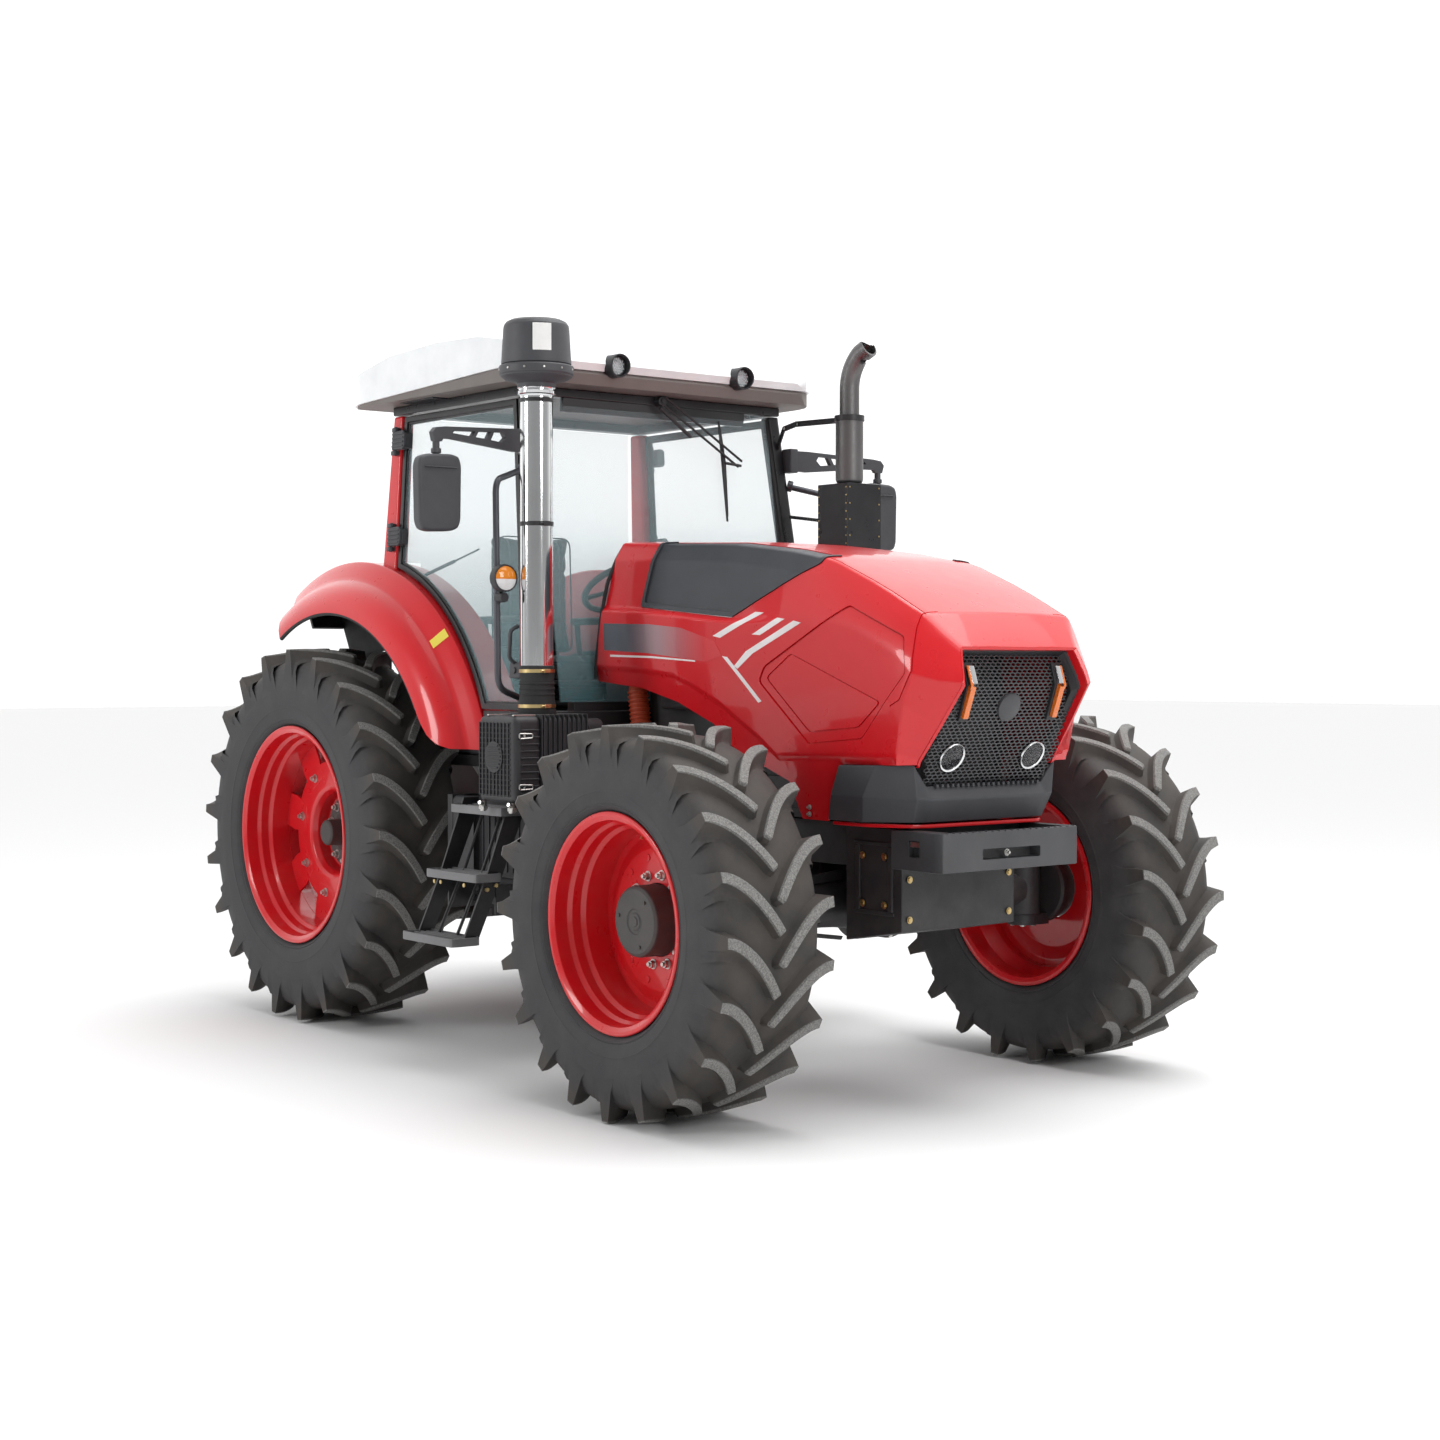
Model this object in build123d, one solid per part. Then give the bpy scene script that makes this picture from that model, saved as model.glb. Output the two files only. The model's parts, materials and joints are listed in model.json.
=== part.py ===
"""Four-wheel-drive farm tractor with a closed cab, as parked, one STEP file per piece.

Frame: +X forward, +Y to the driver's left, +Z up, millimetres. The origin is on the ground, under
the middle of the overall length. Inside the functions x is counted from the front axle, and save()
moves each finished piece by ORIGIN_X.
"""
from build123d import *
from math import atan2, cos, pi, radians, sin, sqrt
import os

# ---- driving dimensions -------------------------------------------------------------------------
WHEELBASE = 2860
FRONT_REACH = 860            # front axle to the tip of the nose
REAR_REACH = 3860            # front axle to the balls of the lower links
ORIGIN_X = (REAR_REACH - FRONT_REACH) / 2
REAR_X = -WHEELBASE

FRONT_TYRE_R = 722           # to the tips of the lugs
REAR_TYRE_R = 868
FRONT_TRACK_HALF = 1045      # middle of the front wheel from the middle of the tractor
REAR_TRACK_HALF = 830
FRONT_FLANGE, REAR_FLANGE = 406, 507   # radius of each rim's flange
RIM_HALF = 204               # middle of the rim to the inner face of its flange
KINGPIN_Y = 860              # steering axis of each front wheel

CAB_SIDE_Y = 775             # outside of the cab's side at the sill
CAB_SILL_Z = 1460
CAB_LEAN = 3.3               # degrees that each side leans inward
CAB_TOP_Z = 2800             # top of the cab's posts
REAR_POST_X = -2450          # middle of the rear posts at their top
FENDER_X, FENDER_Z = -2720, 930    # centre of the rear fenders' arch
FENDER_ARC = 115             # degrees from level ahead of that centre to the fender's rear end

HOOD_HINGE_X, HOOD_HINGE_Z = -1150, 2090
HOOD_HALF = 458              # half the hood's width at its belt
SKIN = 14                    # thickness of the hood's moulding

LINK_ARM = 380               # lift arm's length, and lower link's pivot to its lift rod
LIFT_SHAFT = (-3000, 1230)   # x and z of the rockshaft
LINK_PIVOT = (-3020, 600)    # x and z of the lower links' front pins
LINK_BALL_X = -REAR_REACH + 40
LIFT_SHAFT_R = 36
LINK_EYE_Y = 262             # inner face of each lower link at its front eye

STEER_ARM = 265              # kingpin to the eye of the steering rod
SIDES = {"left": 1, "right": -1}


# ---- small makers -------------------------------------------------------------------------------
def block(x, y, z):
    """A box between three pairs of limits."""
    middle = [(low + high) / 2 for low, high in (x, y, z)]
    return Pos(*middle) * Box(x[1] - x[0], y[1] - y[0], z[1] - z[0])


def polygon(points):
    return Face(Wire.make_polygon([Vector(*p) for p in points], close=True))


def side_prism(outline, y):
    """An outline of (x, z) points, filled across from y[0] to y[1]."""
    return extrude(polygon([(px, y[0], pz) for px, pz in outline]), amount=y[1] - y[0], dir=(0, 1, 0))


def front_prism(outline, x):
    """An outline of (y, z) points, filled along from x[0] to x[1]."""
    return extrude(polygon([(x[0], py, pz) for py, pz in outline]), amount=x[1] - x[0], dir=(1, 0, 0))


def plan_prism(outline, z):
    """An outline of (x, y) points, filled up from z[0] to z[1]."""
    return extrude(polygon([(px, py, z[0]) for px, py in outline]), amount=z[1] - z[0], dir=(0, 0, 1))


def rod(start, end, radius):
    start, end = Vector(*start), Vector(*end)
    return Solid.make_cylinder(radius, (end - start).length, Plane(origin=start, z_dir=end - start))


def pipe(points, radius, bend):
    """A round bar along straight runs joined by arcs."""
    path = FilletPolyline(*points, radius=bend)
    return sweep(Plane(origin=path @ 0, z_dir=path % 0) * Circle(radius), path=path)


def lathe(profile, centre, side=1):
    """A ring or drum about an axle: (radius, outboard) points turned round the Y axis."""
    cx, cy, cz = centre
    face = polygon([(cx + r, cy + side * out, cz) for r, out in profile])
    return revolve(face, Axis(centre, (0, 1, 0)))


def other_side(shape):
    return mirror(shape, about=Plane.XZ)


def both_sides(shape):
    return Part() + [shape, other_side(shape)]


def lean(shape):
    """Turn a piece drawn upright at the left sill so that it leans with the cab's side."""
    pivot = Vector(0, CAB_SIDE_Y, CAB_SILL_Z)
    return Pos(*pivot) * Rot(CAB_LEAN, 0, 0) * Pos(*-pivot) * shape


def closed_solid(faces):
    """A solid from the flat faces that close it."""
    return Solid(Shell(faces))


def strip(first, second):
    """Triangles between two rows of points; each time the row that is further behind moves on."""
    faces, i, j = [], 0, 0
    while i < len(first) - 1 or j < len(second) - 1:
        if j == len(second) - 1 or (i < len(first) - 1 and i * (len(second) - 1) <= j * (len(first) - 1)):
            faces.append(polygon([first[i], first[i + 1], second[j]]))
            i += 1
        else:
            faces.append(polygon([first[i], second[j + 1], second[j]]))
            j += 1
    return faces


# ---- wheels -------------------------------------------------------------------------------------
# stations along a lug from its nose: share of the way to the shoulder, height of the casing there as
# a share of the wall, half width of the lug at its top (none where its top runs on) and at its foot
LUG_STATIONS = [(0.0, 0.874, 10, 16), (0.45, 0.868, 15, 27), (0.86, 0.79, None, 38), (1.0, 0.60, 19, 44)]
NOSE_Y = 14


def tyre(radius, width, flange, lugs, phase, sweep, x, track, side):
    """A tractor tyre as flat facets: a casing with two rows of swept lugs, half a pitch apart.

    phase is the angle of the first outer nose above level, in degrees, and sweep is how far round
    the tread a lug runs on its way to the shoulder.
    """
    wall, last, pitch = radius - flange, width / 2 - 2, 2 * pi / lugs

    def spot(row, angle, y, r):
        return Vector(x + r * cos(angle), side * (track + row * y), radius + r * sin(angle))

    def lug_points(row, angle):
        """(top, foot) rows of points down a lug's leading edge, then down its trailing edge."""
        edges = []
        for edge in (-1, 1):
            top, foot = [], []
            for u, rise, top_half, foot_half in LUG_STATIONS:
                y, s = NOSE_Y + (last - NOSE_Y) * u, sweep * (1 - (1 - u) ** 1.75)
                slope = sweep * 1.75 * (1 - u) ** 0.75 / last
                size = sqrt(1 + slope ** 2)
                for half, points, r in ((top_half, top, radius - 7 * u), (foot_half, foot, flange + rise * wall)):
                    if half:
                        across = min(y - edge * half * slope / size, last)
                        points.append(spot(row, angle + (s + edge * half / size) / radius, across, r))
            edges += [top, foot]
        return edges

    faces, feet = [], {}
    for row in (1, -1):
        start = radians(phase) + (pitch / 2 if row < 0 else 0)
        bars = [lug_points(row, start + k * pitch) for k in range(lugs)]
        feet[row] = bars
        rings = [[spot(row, start + (k + 0.5) * pitch + sweep / radius, y, r) for k in range(lugs)]
                 for r, y in ((flange + 0.25 * wall, last - 3), (flange + 14, RIM_HALF - 2.5),
                              ((flange - 25.5) / cos(pi / lugs), RIM_HALF - 2.5))]
        for k, (top, foot, trail_top, trail_foot) in enumerate(bars):
            ahead = bars[(k + 1) % lugs]
            faces += strip(top, foot) + strip(trail_top, trail_foot) + strip(top, trail_top)
            faces += strip([top[0], trail_top[0]], [foot[0], trail_foot[0]])
            faces.append(polygon([top[-1], trail_top[-1], trail_foot[-1], foot[-1]]))
            faces += strip(trail_foot, ahead[1])
            wide, here = rings[0], rings[0][k - 1]
            faces.append(polygon([foot[-1], trail_foot[-1], here]))
            faces += strip([trail_foot[-1], ahead[1][-1]], [here, wide[k]])
            for outer, inner in zip(rings, rings[1:]):
                faces.append(polygon([outer[k - 1], outer[k], inner[k], inner[k - 1]]))
        feet[row, "bead"] = rings[-1]
    for k in range(lugs):
        here, ahead = feet[1][k], feet[1][(k + 1) % lugs]
        other, behind = feet[-1][k], feet[-1][k - 1]
        faces += [polygon([here[1][0], here[3][0], behind[3][0]]), polygon([behind[3][0], here[3][0], other[1][0]]),
                  polygon([here[3][0], ahead[1][0], other[1][0]]), polygon([other[1][0], ahead[1][0], other[3][0]])]
        near, far = feet[1, "bead"], feet[-1, "bead"]
        faces += [polygon([near[k - 1], near[k], far[k - 1]]), polygon([near[k], far[k], far[k - 1]])]
    return closed_solid(faces)


def rim_barrel(flange):
    """The rolled rim: lips, bead seats, a step and a drop centre, in one closed profile."""
    seat, step, well, half = flange - 26, flange - 43, flange - 60, RIM_HALF
    outer = [(flange, half + 8), (flange, half), (seat, half - 2), (seat - 2, 152), (step, 138), (step, 100),
             (well, 86), (well, -60), (seat - 2, -120), (seat, -half + 2), (flange, -half), (flange, -half - 8)]
    inner = [(seat - 9, -half - 8), (seat - 11, -124), (well - 9, -64), (well - 9, 82), (step - 9, 96),
             (step - 9, 134), (seat - 11, 148), (seat - 9, half + 8)]
    return outer + inner


def front_rim(side):
    """Barrel, dished disc and the capped hub that carries it."""
    centre = (0, side * FRONT_TRACK_HALF, FRONT_TYRE_R)
    barrel = lathe(rim_barrel(FRONT_FLANGE), centre, side)
    disc = lathe([(344, -30), (344, -16), (310, -16), (262, 0), (126, 0), (126, -14), (258, -14), (306, -30)],
                 centre, side)
    hub = lathe([(0, 97), (34, 97), (38, 106), (118, 106), (129, 98), (131, 88), (131, -40), (150, -52), (150, -60), (0, -60)],
                centre, side)
    return barrel + disc + hub


def rear_rim(side):
    """Barrel, eight tabs that carry the disc, and the hub in the disc's recess."""
    centre = (REAR_X, side * REAR_TRACK_HALF, REAR_TYRE_R)
    barrel = lathe(rim_barrel(REAR_FLANGE), centre, side)
    disc = lathe([(338, -13), (338, 0), (216, 0), (200, -6), (186, -30), (186, -80), (178, -88), (90, -88),
                  (90, -90), (186, -90), (198, -84), (198, -34), (212, -13)], centre, side)
    hub = lathe([(0, 34), (50, 34), (60, 26), (62, -40), (90, -56), (95, -72), (165, -74), (170, -86), (170, -90),
                 (0, -90)], centre, side)
    tab = polygon([(-62, 0, 262), (62, 0, 262), (84, 0, 360), (80, 0, 446), (-80, 0, 446), (-84, 0, 360)])
    tab = extrude(tab, amount=12, dir=(0, -side, 0))
    tabs = [Pos(*centre) * Rot(0, 12 + 45 * k, 0) * Pos(0, -side * 1, 0) * tab for k in range(8)]
    return Part() + [barrel, disc, hub] + tabs


# ---- front axle and steering --------------------------------------------------------------------
def front_axle():
    """The beam with its final drive, trunnions along X, and an upright eye at each kingpin."""
    z = FRONT_TYRE_R
    half = lathe([(0, 0), (142, 0), (142, 86), (96, 132), (88, 200), (66, 640), (66, KINGPIN_Y - 40),
                  (0, KINGPIN_Y - 40)], (0, 0, z))
    eye = rod((0, KINGPIN_Y, z - 104), (0, KINGPIN_Y, z + 104), 70)
    half = half + eye
    trunnion = rod((-180, 0, z), (180, 0, z), 72)
    return half + other_side(half) + trunnion


def knuckle(side):
    """Ears above and below the beam's eye, a back plate with the spindle, and the steering arm."""
    z = FRONT_TYRE_R
    y = KINGPIN_Y
    back = lathe([(0, 86), (136, 86), (146, 96), (146, 124), (0, 124)], (0, y, z))
    shape = back
    for low, high in ((106, 150), (-150, -106)):
        shape += rod((0, y, z + low), (0, y, z + high), 62)
        shape += block((-58, 58), (y, y + 96), (z + low, z + high))
    arm = plan_prism([(30, y - 50), (-30, y - 55), (-STEER_ARM - 30, y - 58), (-STEER_ARM - 30, y + 2),
                      (-60, y + 40), (0, y + 40)], (z - 128, z - 106))
    shape += arm
    return shape if side > 0 else other_side(shape)


STEER_ROD_Z = FRONT_TYRE_R - 80


def steering_cylinder():
    """A double-ended cylinder on two brackets behind the beam, open along its rod."""
    x, z = -STEER_ARM, STEER_ROD_Z
    barrel = rod((x, -240, z), (x, 240, z), 46)
    for side in (1, -1):
        barrel += rod((x, side * 236, z), (x, side * 262, z), 54)
        barrel += block((x, -60), sorted((side * 150, side * 190)), (z + 8, z + 44))
    return barrel - rod((x, -300, z), (x, 300, z), 22) - front_axle()


def steering_rod():
    """The rod through the cylinder, with a flat eye over each knuckle's arm."""
    x, z = -STEER_ARM, STEER_ROD_Z
    end = KINGPIN_Y - 46
    bar = rod((x, -end, z), (x, end, z), 18)
    for side in (1, -1):
        bar += rod((x, side * end, z - 16), (x, side * end, z + 24), 26)
    return bar


# ---- running gear -------------------------------------------------------------------------------
def front_frame():
    """The cast bolster that carries the front axle, the cooling pack and the weight bracket."""
    spine = side_prism([(-450, 1050), (500, 1050), (500, 665), (190, 610), (180, 640), (180, 880), (-180, 880),
                        (-212, 780), (-450, 800)], (-190, 190))
    spine += block((-212, -180), (-100, 100), (640, 900))
    nose_box = side_prism([(190, 1050), (190, 610), (500, 665), (500, 1050)], (-295, 295))
    return spine + nose_box


def weight_bracket():
    """The cast carrier for front weights: tapered ends, a slot, side pockets and a hollow top."""
    body = plan_prism([(500, -352), (735, -360), (775, -350), (775, 350), (735, 360), (500, 352)], (905, 1050))
    body -= block((752, 800), (-150, 150), (945, 985))
    body -= block((520, 752), (-300, 300), (1020, 1100))
    return body - both_sides(block((600, 660), (325, 400), (955, 1015)))


def engine():
    """One block with its sump, and on it the stand that carries the hood's hinge pins."""
    shape = side_prism([(-1090, 780), (-470, 780), (-470, 1060), (120, 1060), (120, 1600), (-1090, 1600)],
                       (-270, 270))
    x, z = HOOD_HINGE_X, HOOD_HINGE_Z
    plate = side_prism([(-1088, 1590), (-1020, 1590), (x + 24, z - 60), (x + 20, z + 18), (x - 16, z + 18),
                        (x - 20, z - 20), (x + 2, z - 90)], (245, 257))
    stand = plate + rod((x, 245, z), (x, 304, z), 10)
    return shape + both_sides(stand) + block((-1075, -1045), (-250, 250), (1640, 1680))


def radiator():
    return block((200, 430), (-310, 310), (1050, 1760))


def transmission():
    """Gearbox and final drive housing, with the rockshaft's bearing block and the links' pin bosses."""
    case = side_prism([(-1090, 1050), (-1090, 620), (-2450, 560), (-3060, 520), (-3060, 1190),
                       (-2600, 1190), (-2450, 1080)], (-230, 230))
    x, z = LIFT_SHAFT
    case += block((x - 55, x + 70), (-215, 215), (1190, z + 55))
    case -= rod((x, -300, z), (x, 300, z), LIFT_SHAFT_R + 2)
    x, z = LINK_PIVOT
    return case + rod((x, -LINK_EYE_Y + 5, z), (x, LINK_EYE_Y - 5, z), 30)


def rear_axle():
    """The trumpet housings out to the wheels' inner flanges."""
    half = lathe([(0, 200), (168, 200), (168, 300), (112, 360), (96, 640), (136, 690), (136, 736), (0, 736)],
                 (REAR_X, 0, REAR_TYRE_R))
    half = half - block((-3200, -2500), (-230, 230), (500, 1250))
    return both_sides(half)


def fuel_tanks():
    """Moulded tanks under the cab's sides, with a step in the outer face for the ladder."""
    tank = side_prism([(-1750, 740), (-1700, 690), (-1060, 690), (-1000, 750), (-1000, 1100), (-1750, 1100)], (300, 880))
    tank = chamfer(tank.edges().filter_by(Axis.X).group_by(Axis.Y)[-1], 40)
    tank -= block((-1530, -1090), (845, 900), (760, 1120))
    return both_sides(tank)


def steps():
    """Each side's ladder: cross beams from the transmission, raked rails and three tread pans."""
    ladder = block((-1560, -1500), (230, 900), (640, 690)) + block((-1180, -1120), (230, 900), (640, 690))
    rail = [(884, 1100), (950, 1100), (1060, 800), (1180, 524), (1110, 524), (985, 800), (884, 1040)]
    ladder += front_prism(rail, (-1500, -1488))
    ladder += front_prism(rail, (-1150, -1130))
    for y, z, reach in ((900, 1040, 110), (1000, 776, 130), (1104, 524, 140)):
        pan = block((-1510, -1110), (y, y + reach), (z, z + 34))
        pan = chamfer(pan.edges().filter_by(Axis.Z).group_by(Axis.Y)[-1], 22)
        ladder += pan - block((-1486, -1152), (y + 12, y + reach - 12), (z + 12, z + 60))
    ladder += block((-1510, -1110), (884, 905), (660, 690))
    ladder += block((-1510, -1495), (884, 1020), (640, 760)) + block((-1150, -1130), (884, 1020), (640, 760))
    return both_sides(ladder)


# ---- right and left of the engine ---------------------------------------------------------------
STACK_X, STACK_Y = -1080, -854
BOX_X, BOX_Y, BOX_Z = (-1205, -925), (-1065, -690), (1100, 1450)


def air_filter_box():
    """A moulded box with a seam band, stiffening ribs on its outer face and the duct to the engine."""
    low, high = BOX_Z
    box = block((BOX_X[0] + 6, BOX_X[1] - 6), (BOX_Y[0] + 8, BOX_Y[1]), BOX_Z)
    box = fillet(box.edges(), 25)
    box += block((BOX_X[0], BOX_X[1]), (BOX_Y[0] + 2, BOX_Y[1]), (low + 232, low + 250))
    for rib in range(7):
        x = BOX_X[0] + 40 + rib * 33
        box += block((x, x + 6), (BOX_Y[0], BOX_Y[0] + 30), (low + 34, low + 215))
    for z in (low + 60, low + 124, low + 188):
        box += block((BOX_X[0] + 34, BOX_X[1] - 34), (BOX_Y[0] + 2, BOX_Y[0] + 30), (z, z + 6))
    outlet = rod((-1065, BOX_Y[1] - 5, 1390), (-1065, -560, 1390), 45)
    return box + outlet


def intake_stack():
    """A polished pipe in a tapered rubber boot on the filter box, with its clamps."""
    profile = [(0, 1450), (78, 1450), (78, 1474), (80, 1474), (80, 1498), (76, 1498), (70, 1620), (74, 1620),
               (74, 1645), (67, 1645), (67, 2218), (72, 2218), (72, 2240), (67, 2240), (67, 2748), (72, 2752),
               (74, 2790), (0, 2790)]
    face = polygon([(STACK_X + r, STACK_Y, z) for r, z in profile])
    return revolve(face, Axis((STACK_X, STACK_Y, 0), (0, 0, 1)))


def precleaner():
    """The bowl on the stack: skirt, tapered wall, rounded shoulder and lid."""
    profile = [(0, 2791), (76, 2791), (85, 2800), (130, 2815), (151, 2832), (151, 2868), (144, 2875),
               (134, 3020), (125, 3045), (100, 3058), (0, 3060)]
    face = polygon([(STACK_X + r, STACK_Y, z) for r, z in profile])
    return revolve(face, Axis((STACK_X, STACK_Y, 0), (0, 0, 1)))


EXHAUST_X, EXHAUST_Y = -840, 634


def exhaust():
    """The silencer pipe beside the hood, with its clamp, a curved outlet and the stay to the cab."""
    lower = rod((EXHAUST_X, EXHAUST_Y, 1430), (EXHAUST_X, EXHAUST_Y, 2480), 50)
    lower += rod((EXHAUST_X, EXHAUST_Y, 2454), (EXHAUST_X, EXHAUST_Y, 2752), 62)
    clamp = rod((EXHAUST_X, EXHAUST_Y, 2726), (EXHAUST_X, EXHAUST_Y, 2752), 67)
    upper = pipe([(EXHAUST_X, EXHAUST_Y, 2700), (EXHAUST_X, EXHAUST_Y, 2890),
                  (EXHAUST_X + 120, EXHAUST_Y + 12, 3010)], 44, 110)
    elbow = rod((EXHAUST_X, EXHAUST_Y, 1480), (EXHAUST_X, 270, 1480), 45)
    foot = front_edge(2650) + 2
    stay = pipe([(foot, 676, 2650), (foot + 70, 675, 2650), (foot + 150, 668, 2736),
                 (EXHAUST_X - 45, EXHAUST_Y, 2740)], 9, 30)
    return lower + clamp + upper + elbow + stay


def exhaust_shield():
    shield = rod((EXHAUST_X, EXHAUST_Y, 1700), (EXHAUST_X, EXHAUST_Y, 2380), 82)
    shield += block((EXHAUST_X - 98, EXHAUST_X + 98), (EXHAUST_Y - 98, EXHAUST_Y + 98), (2130, 2450))
    return shield - rod((EXHAUST_X, EXHAUST_Y, 1500), (EXHAUST_X, EXHAUST_Y, 2600), 52)


# ---- cab ----------------------------------------------------------------------------------------
SIDE_TOP_Z = CAB_TOP_Z
FRONT_FOOT_X, FRONT_HEAD_X = -1215, -1405    # front edge of the cab at its sill and at its top


def front_edge(z, back=0):
    """x of the cab's raked front edge at height z, moved back by some millimetres."""
    share = (z - CAB_SILL_Z) / (SIDE_TOP_Z - CAB_SILL_Z)
    return FRONT_FOOT_X + share * (FRONT_HEAD_X - FRONT_FOOT_X) - back


def cab_pillars():
    """The two black front pillars."""
    low, high = CAB_SILL_Z, SIDE_TOP_Z
    start = low - 20
    pillar = side_prism([(front_edge(start), start), (front_edge(start, 62), start),
                         (front_edge(high, 62), high), (front_edge(high), high)], (CAB_SIDE_Y - 60, CAB_SIDE_Y))
    return both_sides(lean(pillar) - block((-1600, -1000), (600, 900), (low - 100, low)))


POST_FOOT_Z = 2060


DOOR_HINGE_X, DOOR_HINGE_Y = REAR_POST_X + 20, CAB_SIDE_Y + 23    # hinge axis of a door, before the lean
HINGE_Z = (2640, 2200)       # foot of each hinge's moving barrel, 80 high


def hinge_knuckles():
    """What a rear post carries of the door's two hinges: an eye over and under each barrel, with its pin."""
    x, y = DOOR_HINGE_X, DOOR_HINGE_Y
    shape = Part()
    for foot in HINGE_Z:
        shape += rod((x, y, foot - 22), (x, y, foot + 102), 7)
        for low in (foot - 22, foot + 82):
            shape += rod((x, y, low), (x, y, low + 20), 14)
            shape += block((x - 12, x + 12), (CAB_SIDE_Y, y), (low, low + 20))
    return shape


def cab_rear_posts():
    """The two red rear posts, wider at the foot, where they stand on the fenders."""
    x = REAR_POST_X
    post = side_prism([(x + 38, SIDE_TOP_Z), (x - 38, SIDE_TOP_Z), (x - 80, POST_FOOT_Z), (x + 42, POST_FOOT_Z)],
                      (CAB_SIDE_Y - 62, CAB_SIDE_Y + 6))
    arch = rod((FENDER_X, 0, FENDER_Z), (FENDER_X, 1000, FENDER_Z), 1205)
    return both_sides((lean(post) - arch) + lean(hinge_knuckles()))


def top_y(z):
    """Outside half width of the leaning side at height z."""
    return CAB_SIDE_Y - (z - CAB_SILL_Z) * sin(radians(CAB_LEAN))


def cab_header():
    """The black ring under the roof that ties the posts together."""
    low, high = SIDE_TOP_Z, SIDE_TOP_Z + 40
    outer_y = top_y(low) + 4
    ring = block((REAR_POST_X - 45, FRONT_HEAD_X), (-outer_y, outer_y), (low, high))
    ring -= block((REAR_POST_X + 30, FRONT_HEAD_X - 62), (-outer_y + 60, outer_y - 60), (low - 1, high + 1))
    return ring


def cab_floor():
    """Floor, firewall, rear wall and door sills in one welded tub."""
    floor = block((-2520, -1290), (-560, 560), (1200, 1250))
    front = block((-1290, -1240), (-560, 560), (1200, 1500))
    sill = block((-1290, -1215), (-CAB_SIDE_Y + 4, CAB_SIDE_Y - 4), (1400, CAB_SILL_Z))
    rear = block((-2520, -2480), (-560, 560), (1250, 1660))
    tub = floor + front + sill + rear
    for side in (1, -1):
        wing = block((-1620, -1290), sorted((side * 520, side * (CAB_SIDE_Y - 4))), (1400, CAB_SILL_Z))
        wall = block((-1620, -1290), sorted((side * 520, side * 560)), (1200, 1401))
        tub += wing + wall
        tub -= rod((FENDER_X, side * 566, FENDER_Z), (FENDER_X, side * 1000, FENDER_Z), 1206)
    return tub


def roof():
    """The white moulded roof: a crowned side profile within a round-cornered plan."""
    outline = [(-1262, 2905), (-1240, 2945), (-1330, 3010), (-1560, 3052), (-1900, 3062), (-2300, 3045),
               (-2600, 2990), (-2730, 2900), (-2745, 2862), (-2700, 2850)]
    body = side_prism(outline, (-840, 840))
    plan = block((-2745, -1240), (-835, 835), (2800, 3100))
    plan = fillet(plan.edges().filter_by(Axis.Z), 150)
    lamp = rod((-1286, 340, 2930), (-1150, 340, 2930), 50.5)
    return (body & plan) - both_sides(lamp)


def roof_liner():
    """The brown-grey underside of the roof, which overhangs the posts."""
    slab = side_prism([(-1290, 2903), (-2690, 2849), (-2690, 2841), (-1290, 2841)], (-815, 815))
    return fillet(slab.edges().filter_by(Axis.Z), 130)


def cab_glass():
    """Windscreen and rear window, each a flat pane between its posts."""
    low, high = 1500, SIDE_TOP_Z - 2
    front = side_prism([(front_edge(low, 12), low), (front_edge(low, 20), low),
                        (front_edge(high, 20), high), (front_edge(high, 12), high)],
                       (-top_y(high) + 66, top_y(high) - 66))
    rear_outline = [(-556, 1662), (556, 1662), (556, 2130), (632, 2130), (632, high), (-632, high),
                    (-632, 2130), (-556, 2130)]
    return Part() + [front, front_prism(rear_outline, (-2500, -2492))]


def fenders():
    """Rear fenders: a crest over the tyre, a sloping outer face and an upright inner wall."""
    wall = 12
    profile = [(930, 568), (1205, 568), (1205, 752), (1160, 806), (970, 884), (966, 872), (1150, 796),
               (1193, 746), (1193, 568 + wall), (930, 568 + wall)]
    face = polygon([(FENDER_X + r, y, FENDER_Z) for r, y in profile])
    ring = revolve(face, Axis((FENDER_X, 0, FENDER_Z), (0, -1, 0)), FENDER_ARC)
    ring -= block((-2100, -1400), (500, 950), (800, 1290))
    return both_sides(ring)


DOOR_GAP = 8


def door_outline(inset):
    """(x, z) outline of a door, drawn in by inset; its lower rear edge follows the fender."""
    radius = 1214 + inset
    low, high = CAB_SILL_Z + 6 + inset, SIDE_TOP_Z - 8 - inset
    front_low = (front_edge(low, 62 + DOOR_GAP + inset), low)
    front_high = (front_edge(high, 62 + DOOR_GAP + inset), high)
    rear_x = REAR_POST_X + 48 + inset
    start = atan2(low - FENDER_Z, sqrt(radius ** 2 - (low - FENDER_Z) ** 2))
    finish = atan2(sqrt(radius ** 2 - (rear_x - FENDER_X) ** 2), rear_x - FENDER_X)
    arc = [start + (finish - start) * i / 8 for i in range(9)]
    points = [front_high, front_low]
    points += [(FENDER_X + radius * cos(a), FENDER_Z + radius * sin(a)) for a in arc]
    points.append((rear_x, high))
    return points


def door_frame(side):
    """The door's slim frame with its two hinge arms, each round the barrel of its hinge."""
    x, y = DOOR_HINGE_X, DOOR_HINGE_Y
    frame = side_prism(door_outline(0), (CAB_SIDE_Y - 34, CAB_SIDE_Y))
    frame -= side_prism(door_outline(34), (CAB_SIDE_Y - 60, CAB_SIDE_Y + 20))
    for z in HINGE_Z:
        arm = block((x, REAR_POST_X + 120), (y - 11, y + 11), (z, z + 80))
        arm += block((REAR_POST_X + 60, REAR_POST_X + 120), (CAB_SIDE_Y - 10, y + 11), (z, z + 80))
        arm += rod((x, y, z), (x, y, z + 80), 15)
        frame += arm - rod((x, y, z - 10), (x, y, z + 90), 8)
    shape = lean(frame)
    return shape if side > 0 else other_side(shape)


def door_glass(side):
    y = CAB_SIDE_Y
    pane = side_prism(door_outline(34), (y - 20, y - 14))
    shape = lean(pane)
    return shape if side > 0 else other_side(shape)


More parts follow.
